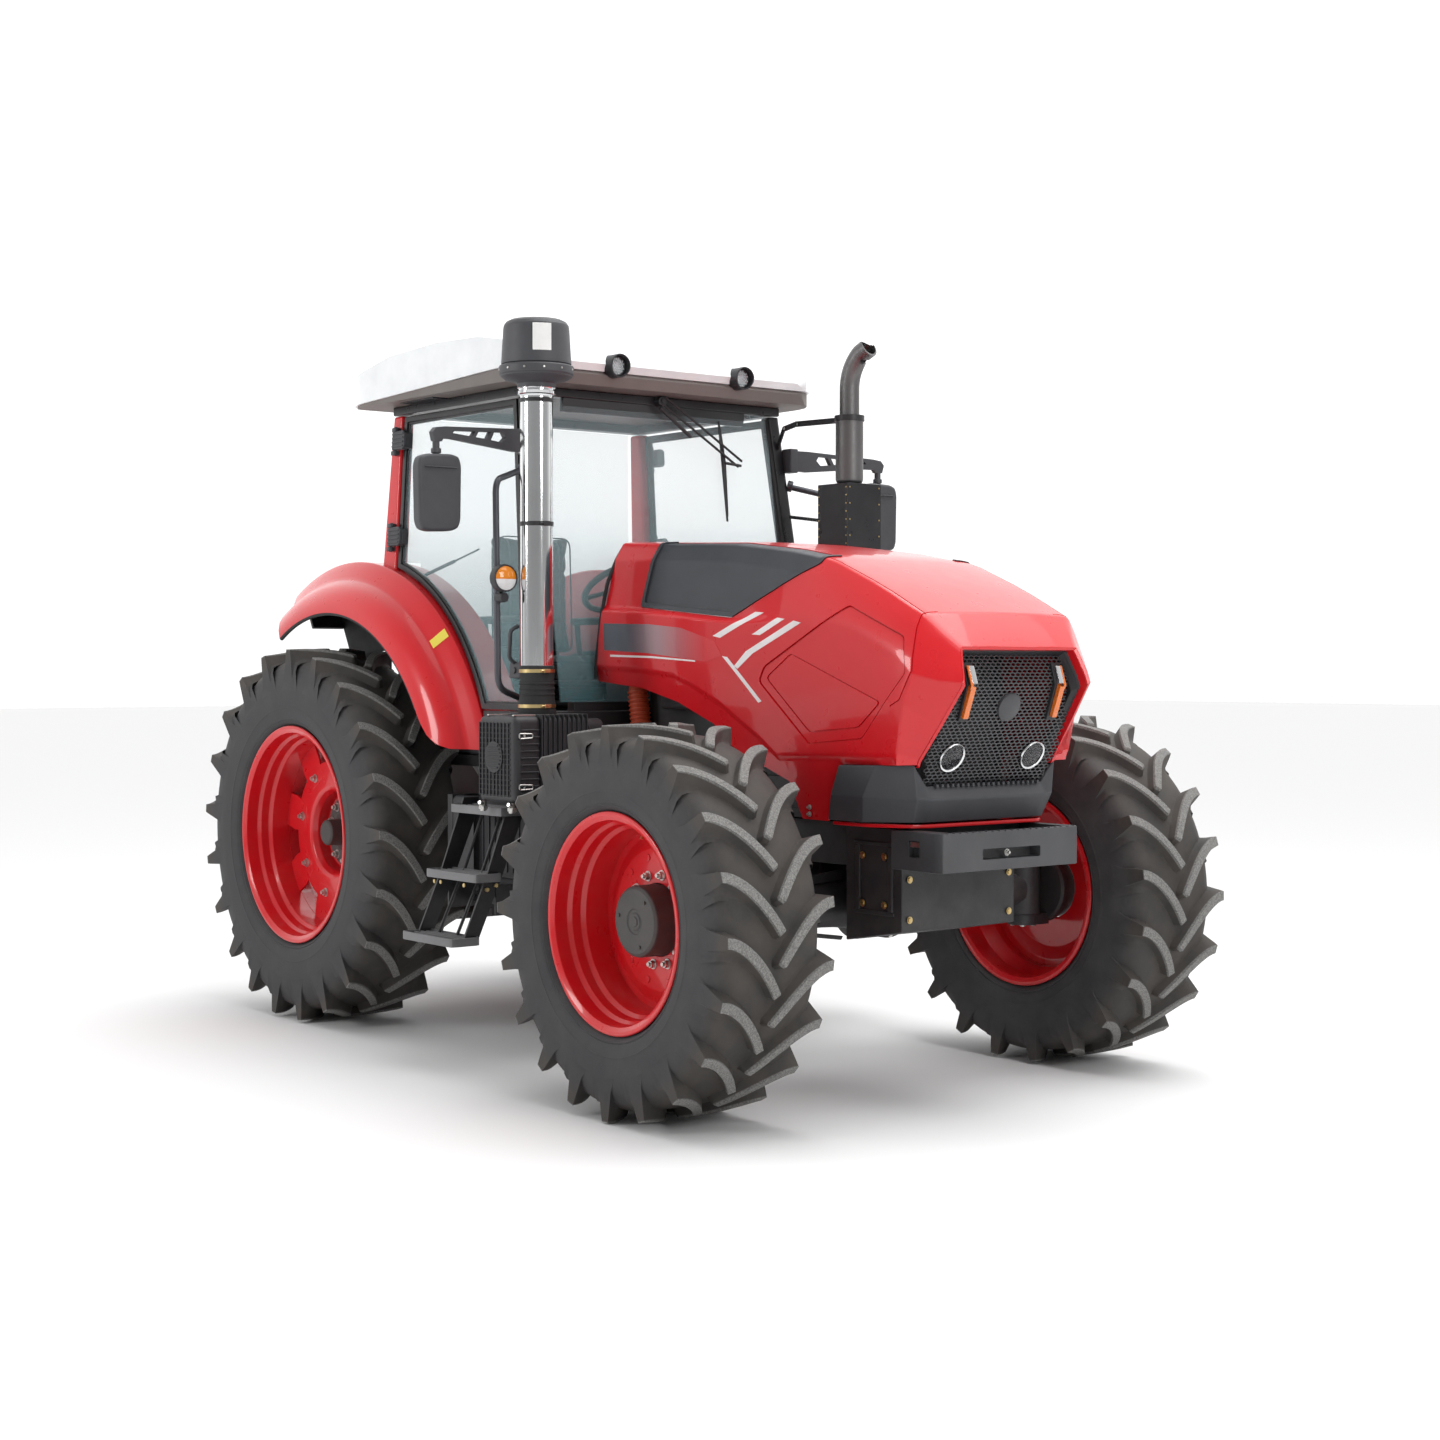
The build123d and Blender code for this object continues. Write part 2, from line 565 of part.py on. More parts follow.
# ---- in the cab ---------------------------------------------------------------------------------
WHEEL_TILT = 32
STEERING_HUB = (-1640, 0, 2010)


def dashboard():
    """The console behind the firewall, with the steering column on it."""
    console = side_prism([(-1290, 1250), (-1290, 1780), (-1340, 1860), (-1500, 1830), (-1560, 1700), (-1500, 1250)],
                         (-180, 180))
    return console + rod(hub_point(-330), hub_point(-24), 34)


def hub_point(along):
    """A point on the steering column's axis, above the hub by some millimetres."""
    tilt = radians(WHEEL_TILT)
    x, y, z = STEERING_HUB
    return (x - along * sin(tilt), y, z + along * cos(tilt))


def steering_wheel():
    plane = Plane(origin=STEERING_HUB, z_dir=(-sin(radians(WHEEL_TILT)), 0, cos(radians(WHEEL_TILT))))
    grip = [(195 + 15 * cos(k * pi / 4), 0, 15 * sin(k * pi / 4)) for k in range(8)]
    rim = revolve(polygon(grip), Axis.Z)
    hub = Pos(0, 0, -4) * Cylinder(42, 34)
    wheel = rim + hub
    for angle in (0, 120, 240):
        wheel += Rot(0, 0, angle) * Pos(110, 0, -2) * Box(150, 26, 12)
    return plane * wheel


SEAT_X = -2170


def seat_base():
    base = block((SEAT_X - 180, SEAT_X + 180), (-170, 170), (1250, 1560))
    plate = block((SEAT_X - 240, SEAT_X + 230), (-230, 230), (1560, 1590))
    return base + plate


def seat_cushion():
    return fillet(block((SEAT_X - 190, SEAT_X + 260), (-245, 245), (1590, 1690)).edges(), 30)


def seat_back():
    back = side_prism([(SEAT_X - 190, 1700), (SEAT_X - 300, 1700), (SEAT_X - 300, 2290), (SEAT_X - 210, 2290)],
                      (-225, 225))
    return back


# ---- small outside pieces -----------------------------------------------------------------------
LAMP_Y, LAMP_Z, LAMP_R = 340, 2930, 50


def work_lamps():
    """Round lamps in hooded tubes, let into the roof's front edge."""
    lamp = rod((-1285, LAMP_Y, LAMP_Z), (-1205, LAMP_Y, LAMP_Z), LAMP_R)
    lamp -= rod((-1232, LAMP_Y, LAMP_Z), (-1150, LAMP_Y, LAMP_Z), LAMP_R - 6)
    return both_sides(lamp - side_prism([(-1228, 2870), (-1190, 2870), (-1190, 2960)], (200, 500)))


def mirrors():
    """Each side's head, on a cast arm with open webs that is clamped to the front pillar."""
    arm = front_prism([(1222, 2560), (1232, 2596), (1214, 2616), (1170, 2622), (800, 2640), (725, 2640),
                       (725, 2548), (800, 2545), (1130, 2574), (1186, 2560)], (-1296, -1270))
    webs = ([(872, 2578), (930, 2584), (912, 2618), (862, 2620)],
            [(948, 2586), (1010, 2590), (994, 2614), (930, 2617)],
            [(1028, 2591), (1130, 2598), (1120, 2608), (1012, 2613)])
    for web in webs:
        arm -= front_prism(web, (-1300, -1260))
    foot = side_prism([(front_edge(2548) + 0.5, 2548), (-1270, 2548), (-1270, 2640), (front_edge(2640) + 0.5, 2640)],
                      (695, 731))
    stem = rod((-1283, 1205, 2500), (-1283, 1205, 2575), 15)
    head = front_prism([(1105, 2200), (1300, 2192), (1306, 2505), (1100, 2512)], (-1312, -1252))
    head = chamfer(head.edges().filter_by(Axis.X), 40)
    return both_sides(arm + foot + stem + head)


def grab_handles():
    x, y = -1185, 975
    bar = pipe([(x - 192, 726, 2480), (x - 10, y, 2400), (x, y, 1560), (x - 52, 783, 1500)], 14, 50)
    return both_sides(bar)


def turn_lamps():
    lamp = rod((-1170, 975, 2010), (-1110, 975, 2010), 55)
    return both_sides(lamp)


def wiper():
    pivot_z, blade_z = 2818, (2350, 2740)
    middle = (blade_z[0] + blade_z[1]) / 2
    hub = rod((FRONT_HEAD_X, 0, pivot_z), (FRONT_HEAD_X + 42, 0, pivot_z), 22)
    arm = rod((FRONT_HEAD_X + 34, 0, pivot_z), (front_edge(middle) + 14, -150, middle), 7)
    rake = [(front_edge(z) + 2, z) for z in blade_z] + [(front_edge(z) + 16, z) for z in reversed(blade_z)]
    return hub + arm + side_prism(rake, (-158, -142))


def drawbar():
    """The swinging drawbar's hanger, tongue and hitch hole under the transmission."""
    tongue = block((-3420, -2700), (-40, 40), (430, 470))
    hanger = block((-3030, -2930), (-120, 120), (400, 540)) - block((-3100, -2900), (-42, 42), (428, 472))
    tongue -= rod((-3380, 0, 400), (-3380, 0, 500), 16)
    front = block((-2760, -2700), (-60, 60), (470, 560))
    return tongue + hanger + front - transmission()


def pto_guard():
    """The power take-off's splined stub under its shield."""
    shield = front_prism([(-130, 700), (-130, 860), (130, 860), (130, 700), (118, 700), (118, 848),
                          (-118, 848), (-118, 700)], (-3200, -3060))
    stub = rod((-3060, 0, 745), (-3170, 0, 745), 17.5)
    plate = block((-3070, -3060), (-130, 130), (680, 860))
    return shield + stub + plate


def top_link():
    """The top link, stowed upright against its bracket."""
    bracket = block((-3130, -3060), (-60, 60), (1010, 1120))
    link = rod((-3100, 0, 1090), (-3190, 0, 1560), 20)
    return bracket + link


def rear_lamps():
    corners = [(1030, 590), (1190, 590), (1190, 735), (1030, 735)]
    turn = radians(FENDER_ARC)
    face = polygon([(FENDER_X + r * cos(turn), y, FENDER_Z + r * sin(turn)) for r, y in corners])
    return both_sides(revolve(face, Axis((FENDER_X, 0, FENDER_Z), (0, -1, 0)), 2))


# ---- rear linkage -------------------------------------------------------------------------------
def lift_arms():
    """The rockshaft and its two arms, which move as one piece."""
    x, z = LIFT_SHAFT
    shape = rod((x, -285, z), (x, 285, z), LIFT_SHAFT_R)
    for side in (1, -1):
        y = sorted((side * 255, side * 285))
        shape += side_prism([(x + 60, z - 55), (x + 60, z + 55), (x - LINK_ARM - 40, z + 30),
                             (x - LINK_ARM - 40, z - 30)], y)
    return shape


def lower_links():
    x, z = LINK_PIVOT
    link = plan_prism([(x + 35, LINK_EYE_Y), (x + 35, 298), (x - LINK_ARM, 350), (LINK_BALL_X + 30, 440),
                       (LINK_BALL_X - 30, 440), (LINK_BALL_X - 30, 405), (x - LINK_ARM, 312)], (z - 40, z + 40))
    ball = rod((LINK_BALL_X, 395, z), (LINK_BALL_X, 450, z), 40)
    link = link + ball - rod((LINK_BALL_X, 380, z), (LINK_BALL_X, 460, z), 18.5)
    return both_sides(link)


def lift_rods():
    x, z = LIFT_SHAFT
    top = (x - LINK_ARM, 325, z)
    foot = (LINK_PIVOT[0] - LINK_ARM, 380, LINK_PIVOT[1])
    bar = rod(top, foot, 17)
    bar += rod((top[0], 292, top[2]), (top[0], 345, top[2]), 30)
    bar += rod((foot[0], 364, foot[2]), (foot[0], 400, foot[2]), 30)
    return both_sides(bar)


# ---- hood ---------------------------------------------------------------------------------------
# stations along the hood: x, height of the shoulder line
HOOD_TOP = [(-1240, 2174), (-387, 2138), (200, 2056), (472, 1948), (715, 1828), (900, 1640)]


def hood_body(inset):
    """The hood's closed outer form, drawn in by inset all round."""
    sections = []
    for x, z in HOOD_TOP:
        z = z - inset
        belt, shoulder = HOOD_HALF - inset, 382 - inset
        sections.append(polygon([(x, -belt, 900), (x, -belt, z - 190), (x, -shoulder, z), (x, 0, z + 12),
                                 (x, shoulder, z), (x, belt, z - 190), (x, belt, 900)]))
    body = loft(sections, ruled=True)
    nose = side_prism([(-1400, 800), (-1400, 2400), (809 - inset, 2400), (812 - inset, 1722), (860 - inset, 1590),
                       (652 - inset, 1305), (640 - inset, 1290), (640 - inset, 800)], (-600, 600))
    front = 860 - inset
    half = 332 - 0.6 * inset
    plan = plan_prism([(-1400, -600), (690, -600), (690, -HOOD_HALF - 2 + inset), (front, -half), (front, half),
                       (690, HOOD_HALF + 2 - inset), (690, 600), (-1400, 600)], (700, 2500))
    return body & nose & plan


LOWER_EDGE = [(-1300, 900), (-1240, 1590), (-933, 1560), (-687, 1505), (-450, 1420), (-342, 1324), (-149, 1267),
              (14, 1212), (96, 1074), (235, 1071), (322, 1285), (900, 1308), (900, 900)]
REAR_EDGE = [(-1300, 1500), (-1236, 1500), (-1236, 1615), (-1229, 1655), (-1110, 2300), (-1300, 2300)]
# (x, z) outline of the sunk panel below the shoulder, and of the grooves of the hexagon on each side
INSERT = [(-840, 2300), (-928, 1897), (-325, 1843), (155, 2040), (300, 2300)]
HEXAGON = [(360, 1874), (650, 1758), (683, 1628), (455, 1384), (160, 1358), (-134, 1592), (-104, 1648)]
SHOULDER = 380               # half width of the hood's top, up to which the panels reach
GROOVE, SINK = 7, 4
# half of the mouth: (y, z) down from its upper corner, and (x, z) of the mesh down its middle
MOUTH_SIDE = [(288, 1698), (316, 1590), (340, 1300), (298, 1217)]
MESH_LINE = [(748, 1698), (782, 1590), (738, 1450), (652, 1290), (623, 1217)]
MESH = 12                    # thickness of the mesh panel


def mouth(grow=0):
    """(y, z) outline of the grille's mouth, grown all round."""
    half = [(y + grow, z + (grow if z > 1600 else -grow if z < 1250 else 0)) for y, z in MOUTH_SIDE]
    return half + [(-y, z) for y, z in reversed(half)]


def outline_ring(outline, width):
    """A flat ring across the whole hood that follows an (x, z) outline, to be cut as a groove."""
    ring = side_prism(outline, (-600, 600))
    inner = offset(Face(ring.faces().sort_by(Axis.Y)[0].outer_wire()), amount=-width, kind=Kind.INTERSECTION)
    return ring - extrude(inner, amount=1300, dir=(0, 1, 0))


def hood_hinge(clear=0):
    """The hood's two barrels on their arms, or with clear above 0 the space that they turn in."""
    shape = Part()
    for y in (262, -300):
        barrel = rod((HOOD_HINGE_X, y, HOOD_HINGE_Z), (HOOD_HINGE_X, y + 38, HOOD_HINGE_Z), 19)
        arm = block((HOOD_HINGE_X, HOOD_HINGE_X + 60), (y, y + 38), (HOOD_HINGE_Z - 10, HOOD_HINGE_Z + 72))
        shape += barrel + arm
    return shape - rod((HOOD_HINGE_X, -400, HOOD_HINGE_Z), (HOOD_HINGE_X, 400, HOOD_HINGE_Z), 11)


def hood_shell():
    """The red one-piece hood, open below and behind, with the grille's mouth cut in its nose."""
    shell = hood_body(0) - hood_body(SKIN)
    rim = hood_body(-1) - hood_body(SINK)
    panels = side_prism(INSERT, (-600, 600)) - block((-1300, 900), (-SHOULDER, SHOULDER), (1700, 2400))
    shell -= rim & (panels + outline_ring(HEXAGON, GROOVE))
    shell -= side_prism(LOWER_EDGE, (-700, 700))
    shell -= side_prism(REAR_EDGE, (-700, 700))
    shell -= front_prism(mouth(), (500, 1000))
    deep = [(x - MESH, z) for x, z in MESH_LINE] + [(700, 1200), (950, 1200), (950, 1760), (700, 1760)]
    lining = (front_prism(mouth(SKIN), (500, 1000)) - front_prism(mouth(), (500, 1000))) & side_prism(deep, (-500, 500))
    lining = lining & hood_body(0) - side_prism(LOWER_EDGE, (-700, 700))
    return shell + lining + hood_hinge()


def hood_chin():
    """The black moulding under the red sides and round the foot of the grille."""
    outline = [(249, 1076), (324, 1282), (630, 1296), (634, 1217), (664, 1166), (624, 1076)]
    plan = [(200, -HOOD_HALF), (440, -HOOD_HALF), (664, -345), (664, 345), (440, HOOD_HALF), (200, HOOD_HALF)]
    outer = side_prism(outline, (-600, 600)) & plan_prism(plan, (1000, 1400))
    inner_plan = [(px - 16, py * 0.962) for px, py in plan]
    inner = plan_prism(inner_plan, (1000, 1400)) + front_prism(mouth(), (560, 900))
    return outer - inner - side_prism(LOWER_EDGE[6:8] + [(235, 1400), (100, 1400), (100, 1071)], (-600, 600))


CELL_WIDE, CELL_HIGH, WEB = 44, 42, 8       # spacing of the mesh's hexagons and the bars between them
HEADLAMP, HEADLAMP_R = (665, 209, 1296), 56


def mesh_band(front, back):
    """(x, z) outline of the band between two distances ahead of the mesh line."""
    return [(x + front, z) for x, z in MESH_LINE] + [(x + back, z) for x, z in reversed(MESH_LINE)]


def grille():
    """The mesh panel, set back in the nose, bent where the nose is and open in hexagons."""
    panel = side_prism(mesh_band(0, -MESH), (-400, 400)) & front_prism(mouth(-0.4), (500, 900))
    half, tall = (CELL_WIDE - WEB) / 2, (CELL_HIGH * 4 / 3 - WEB) / 2
    cells = []
    for row in range(11):
        z = 1250 + row * CELL_HIGH
        for column in range(-5, 6):
            y = (column + (row % 2) / 2) * CELL_WIDE
            if abs(y) < (250 if row else 225):
                cells.append(front_prism([(y, z + tall), (y - half, z + tall / 2), (y - half, z - tall / 2),
                                          (y, z - tall), (y + half, z - tall / 2), (y + half, z + tall / 2)], (550, 850)))
    x, y, z = HEADLAMP
    lamps = both_sides(rod((x - 60, y, z), (x + 60, y, z), HEADLAMP_R + 0.5))
    return panel.cut(*cells) - lamps


def headlamps():
    """A round lamp low on each side of the mesh, and a bent running-light strip above it."""
    x, y, z = HEADLAMP
    lamp = rod((x - 55, y, z), (x + 22, y, z), HEADLAMP_R) - rod((x + 12, y, z), (x + 40, y, z), HEADLAMP_R - 7)
    strip_outline = [(232, 1678), (262, 1678), (284, 1590), (254, 1500), (226, 1500), (254, 1590)]
    light = front_prism(strip_outline, (700, 860)) & side_prism(mesh_band(14, 0.4), (-400, 400))
    return both_sides(lamp + light)


# ---- all pieces ---------------------------------------------------------------------------------
def pieces():
    """Yield (name, shape) for every piece."""
    for name, side in SIDES.items():
        yield f"front_tyre_{name}", tyre(FRONT_TYRE_R, 480, FRONT_FLANGE, 20, 1.6, 205, 0, FRONT_TRACK_HALF, side)
        yield f"rear_tyre_{name}", tyre(REAR_TYRE_R, 470, REAR_FLANGE, 21, 6.1, 215, REAR_X, REAR_TRACK_HALF, side)
        yield f"front_rim_{name}", front_rim(side)
        yield f"rear_rim_{name}", rear_rim(side)
        yield f"knuckle_{name}", knuckle(side)
        yield f"door_frame_{name}", door_frame(side)
        yield f"door_glass_{name}", door_glass(side)
    for maker in (front_axle, steering_cylinder, steering_rod, front_frame, weight_bracket, engine,
                  radiator, transmission, rear_axle, fuel_tanks, steps, air_filter_box, intake_stack,
                  precleaner, exhaust, exhaust_shield, cab_pillars, cab_rear_posts, cab_header, cab_floor,
                  roof, roof_liner, cab_glass, fenders, dashboard, steering_wheel, seat_base,
                  seat_cushion, seat_back, work_lamps, mirrors, grab_handles, turn_lamps, wiper,
                  drawbar, pto_guard, top_link, rear_lamps, lift_arms, lower_links, lift_rods,
                  hood_shell, hood_chin, grille, headlamps):
        yield maker.__name__, maker()


def save(name, shape):
    export_step(Pos(ORIGIN_X, 0, 0) * shape, f"parts/{name}.step")


os.makedirs("parts", exist_ok=True)
for piece_name, piece in pieces():
    save(piece_name, piece)
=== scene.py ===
"""The looks of a four-wheel-drive farm tractor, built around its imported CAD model.

Inside the makers x is counted from the front axle and lengths are in metres. settle() moves each
finished mesh to its place in the CAD model's frame.
"""
import bpy
import json
import random
from math import atan2, cos, hypot, pi, radians, sin, sqrt
from mathutils import Matrix, Vector

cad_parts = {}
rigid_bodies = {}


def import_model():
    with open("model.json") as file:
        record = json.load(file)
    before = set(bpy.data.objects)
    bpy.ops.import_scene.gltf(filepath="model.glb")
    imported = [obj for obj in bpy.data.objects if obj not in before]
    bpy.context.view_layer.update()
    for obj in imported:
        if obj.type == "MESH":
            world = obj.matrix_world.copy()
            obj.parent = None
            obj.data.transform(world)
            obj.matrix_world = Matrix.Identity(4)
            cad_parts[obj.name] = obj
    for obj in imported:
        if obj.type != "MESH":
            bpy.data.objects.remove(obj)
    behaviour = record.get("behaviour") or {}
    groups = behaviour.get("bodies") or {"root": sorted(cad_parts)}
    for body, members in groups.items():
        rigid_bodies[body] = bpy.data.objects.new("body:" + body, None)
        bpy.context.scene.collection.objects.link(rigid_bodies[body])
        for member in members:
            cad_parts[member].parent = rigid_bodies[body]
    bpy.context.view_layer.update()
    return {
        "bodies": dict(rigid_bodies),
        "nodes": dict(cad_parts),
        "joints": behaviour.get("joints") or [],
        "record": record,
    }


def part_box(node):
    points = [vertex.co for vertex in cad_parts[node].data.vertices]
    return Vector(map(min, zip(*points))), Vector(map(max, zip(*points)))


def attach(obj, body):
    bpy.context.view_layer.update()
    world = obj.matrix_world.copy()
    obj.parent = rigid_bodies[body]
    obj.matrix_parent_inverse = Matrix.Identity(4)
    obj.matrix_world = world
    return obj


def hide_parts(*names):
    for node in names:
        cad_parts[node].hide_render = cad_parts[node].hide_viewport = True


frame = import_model()


def middle(node):
    low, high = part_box(node)
    return (low + high) / 2


# ---- places taken from the CAD model ------------------------------------------------------------
AXLE_X = middle("front_tyre_left").x
SHIFT = Vector((AXLE_X, 0, 0))
FRONT_R = middle("front_tyre_left").z
REAR_R = middle("rear_tyre_left").z
REAR_X = middle("rear_tyre_left").x - AXLE_X
FRONT_Y = middle("front_tyre_left").y
REAR_Y = middle("rear_tyre_left").y
SIDES = {"left": 1, "right": -1}


# ---- camera -------------------------------------------------------------------------------------
def place_camera():
    heading, pitch = radians(51.69), radians(-1.34)
    camera = bpy.data.objects.new("camera", bpy.data.cameras.new("camera"))
    bpy.context.scene.collection.objects.link(camera)
    camera.location = (8.0606, -5.9382, 1.6447)
    camera.rotation_euler = (pi / 2 + pitch, 0, heading)
    camera.data.lens = 56.02
    camera.data.sensor_width = 36
    camera.data.clip_end = 200
    bpy.context.scene.camera = camera


place_camera()


# ---- shader expressions -------------------------------------------------------------------------
class Value:
    """A shader number that takes part in plain arithmetic."""

    def __init__(self, finish, socket):
        self.finish, self.socket = finish, socket

    def math(self, operation, *others, clamp=False):
        settings = {"operation": operation, "use_clamp": clamp}
        return self.finish.node("ShaderNodeMath", settings, [self, *others])

    def __add__(self, other): return self.math("ADD", other)
    def __radd__(self, other): return self.math("ADD", other)
    def __mul__(self, other): return self.math("MULTIPLY", other)
    def __rmul__(self, other): return self.math("MULTIPLY", other)
    def __truediv__(self, other): return self.math("DIVIDE", other)
    def __neg__(self): return self.math("MULTIPLY", -1.0)
    def __sub__(self, other): return self.math("SUBTRACT", other)
    def __rsub__(self, other): return (-self).math("ADD", other)
    def __pow__(self, power): return self.math("POWER", power)
    def __abs__(self): return self.math("ABSOLUTE")
    def above(self, level): return self.math("GREATER_THAN", level)
    def below(self, level): return self.math("LESS_THAN", level)
    def least(self, other): return self.math("MINIMUM", other)
    def most(self, other): return self.math("MAXIMUM", other)
    def clamped(self): return self.math("ADD", 0.0, clamp=True)
    def sine(self): return self.math("SINE")
    def root(self): return self.math("SQRT")
    def wrap(self, period): return self.math("PINGPONG", period)


class Finish:
    """One procedural material, built up on a Principled shader."""

    def __init__(self, name, colour, roughness, metallic=0.0, **fixed):
        self.material = bpy.data.materials.new(name)
        self.material.use_nodes = True
        self.tree = self.material.node_tree
        self.shader = self.tree.nodes["Principled BSDF"]
        self.set("Base Color", colour)
        self.set("Roughness", roughness)
        self.set("Metallic", metallic)
        for key, value in fixed.items():
            self.set(key.replace("_", " ").title().replace("Ior", "IOR"), value)
        self.place = self.node("ShaderNodeTexCoord", output="Object")

    def feed(self, socket, value):
        if isinstance(value, Value):
            self.tree.links.new(value.socket, socket)
        elif isinstance(value, (tuple, list)) and socket.type == "RGBA" and len(value) == 3:
            socket.default_value = (*value, 1.0)
        else:
            socket.default_value = value

    def set(self, name, value):
        self.feed(self.shader.inputs[name], value)

    def node(self, kind, settings=None, inputs=None, output=0):
        """Add a node: settings first, then inputs by position or by name."""
        new = self.tree.nodes.new(kind)
        for key, value in (settings or {}).items():
            if key == "stops":
                ramp = new.color_ramp
                while len(ramp.elements) < len(value):
                    ramp.elements.new(0.5)
                for element, (place, colour) in zip(ramp.elements, value):
                    element.position, element.color = place, (*colour, 1.0)
            else:
                setattr(new, key, value)
        pairs = inputs.items() if isinstance(inputs, dict) else enumerate(inputs or [])
        for key, value in pairs:
            self.feed(new.inputs[key], value)
        return Value(self, new.outputs[output])

    def axis(self, letter):
        return self.node("ShaderNodeSeparateXYZ", None, [self.place], output="XYZ".index(letter))

    def noise(self, scale, detail=3.0, rough=0.5, stretch=(1, 1, 1)):
        place = self.place
        if stretch != (1, 1, 1):
            place = self.node("ShaderNodeMapping", None, {"Vector": place, "Scale": stretch})
        return self.node("ShaderNodeTexNoise", None,
                         {"Vector": place, "Scale": scale, "Detail": detail, "Roughness": rough})

    def cells(self, scale, feature="F1"):
        return self.node("ShaderNodeTexVoronoi", {"feature": feature}, {"Vector": self.place, "Scale": scale})

    def ramp(self, value, *stops):
        return self.node("ShaderNodeValToRGB", {"stops": stops}, [value])

    def span(self, value, low, high, to_low=0.0, to_high=1.0):
        settings = {"clamp": True}
        return self.node("ShaderNodeMapRange", settings, [value, low, high, to_low, to_high])

    def mix(self, share, first, second, blend="MIX"):
        new = self.tree.nodes.new("ShaderNodeMix")
        new.data_type, new.blend_type = "RGBA", blend
        for index, value in ((0, share), (6, first), (7, second)):
            self.feed(new.inputs[index], value)
        return Value(self, new.outputs[2])

    def relief(self, height, depth, strength=1.0, under=None):
        inputs = {"Height": height, "Distance": depth, "Strength": strength}
        if under is not None:
            inputs["Normal"] = under
        bump = self.node("ShaderNodeBump", None, inputs)
        self.set("Normal", bump)
        return bump


# ---- shape makers -------------------------------------------------------------------------------
def only(*objects):
    """Select just these objects, the first of them active."""
    if bpy.context.mode != "OBJECT":
        bpy.ops.object.mode_set(mode="OBJECT")
    bpy.ops.object.select_all(action="DESELECT")
    for obj in objects:
        obj.select_set(True)
    bpy.context.view_layer.objects.active = objects[0]
    return objects[0]


def edit(obj, steps, select="SELECT"):
    """Run steps() on obj in edit mode, with everything or nothing selected."""
    only(obj)
    bpy.ops.object.mode_set(mode="EDIT")
    bpy.ops.mesh.select_all(action=select)
    steps()
    bpy.ops.object.mode_set(mode="OBJECT")
    return obj


def apply_place(obj):
    only(obj)
    bpy.ops.object.transform_apply(location=True, rotation=True, scale=True)
    return obj


def modify(obj, kind, **settings):
    """Add a modifier, set it, and apply it."""
    only(obj)
    modifier = obj.modifiers.new(kind.lower(), kind)
    for key, value in settings.items():
        setattr(modifier, key, value)
    bpy.ops.object.modifier_apply(modifier=modifier.name)
    return obj


def bevelled(obj, width, segments=2, angle=30):
    if width:
        modify(obj, "BEVEL", width=width, segments=segments, limit_method="ANGLE", angle_limit=radians(angle),
               harden_normals=False)
    return obj


def outward(obj, merge=0.00002):
    def steps():
        bpy.ops.mesh.remove_doubles(threshold=merge)
        bpy.ops.mesh.normals_make_consistent(inside=False)
    return edit(obj, steps)


def block(x, y, z, bevel=0.004, segments=2):
    """A rounded box between three pairs of limits."""
    centre = [(a + b) / 2 for a, b in (x, y, z)]
    bpy.ops.mesh.primitive_cube_add(size=1, location=centre)
    obj = bpy.context.object
    obj.scale = [abs(b - a) for a, b in (x, y, z)]
    apply_place(obj)
    return bevelled(obj, bevel, segments)


def cylinder(start, end, radius, bevel=0.003, sides=32, tip=None):
    start, end = Vector(start), Vector(end)
    axis = end - start
    bpy.ops.mesh.primitive_cone_add(vertices=sides, radius1=radius, radius2=radius if tip is None else tip,
                                    depth=axis.length, location=(start + end) / 2)
    obj = bpy.context.object
    obj.rotation_mode = "QUATERNION"
    obj.rotation_quaternion = axis.to_track_quat("Z", "Y")
    apply_place(obj)
    return bevelled(obj, bevel, 2, 40)


def mesh_of(name, points, faces=(), edges=()):
    mesh = bpy.data.meshes.new(name)
    mesh.from_pydata([tuple(p) for p in points], list(edges), list(faces))
    mesh.update()
    obj = bpy.data.objects.new(name, mesh)
    bpy.context.scene.collection.objects.link(obj)
    return obj


def prism(outline, plane, span, bevel=0.003, segments=2, angle=30):
    """A flat outline pushed through from span[0] to span[1]. plane is xz, xy or yz."""
    low, high = span
    lay = {"xz": lambda a, b: (a, low, b), "xy": lambda a, b: (a, b, low), "yz": lambda a, b: (low, a, b)}[plane]
    push = {"xz": (0, high - low, 0), "xy": (0, 0, high - low), "yz": (high - low, 0, 0)}[plane]
    obj = mesh_of("prism", [lay(*p) for p in outline], [range(len(outline))])
    edit(obj, lambda: bpy.ops.mesh.extrude_region_move(TRANSFORM_OT_translate={"value": push}))
    outward(obj)
    return bevelled(obj, bevel, segments, angle)


def spun(profile, centre, axis="y", side=1, steps=64, turn=2 * pi, angle=30):
    """A profile of (radius, along) points spun about an axle through centre."""
    cx, cy, cz = centre
    if axis == "y":
        points = [(cx + r, cy + side * out, cz) for r, out in profile]
        about = (0, 1, 0)
    elif axis == "z":
        points = [(cx + r, cy, cz + out) for r, out in profile]
        about = (0, 0, 1)
    else:
        points = [(cx + out, cy, cz + r) for r, out in profile]
        about = (1, 0, 0)
    edges = [(i, (i + 1) % len(points)) for i in range(len(points))]
    if profile[0][0] < 1e-6 and profile[-1][0] < 1e-6:
        edges.pop()
    obj = mesh_of("spun", points, (), edges)
    edit(obj, lambda: bpy.ops.mesh.spin(steps=steps, angle=turn, center=centre, axis=about))
    return outward(obj, 0.0001)


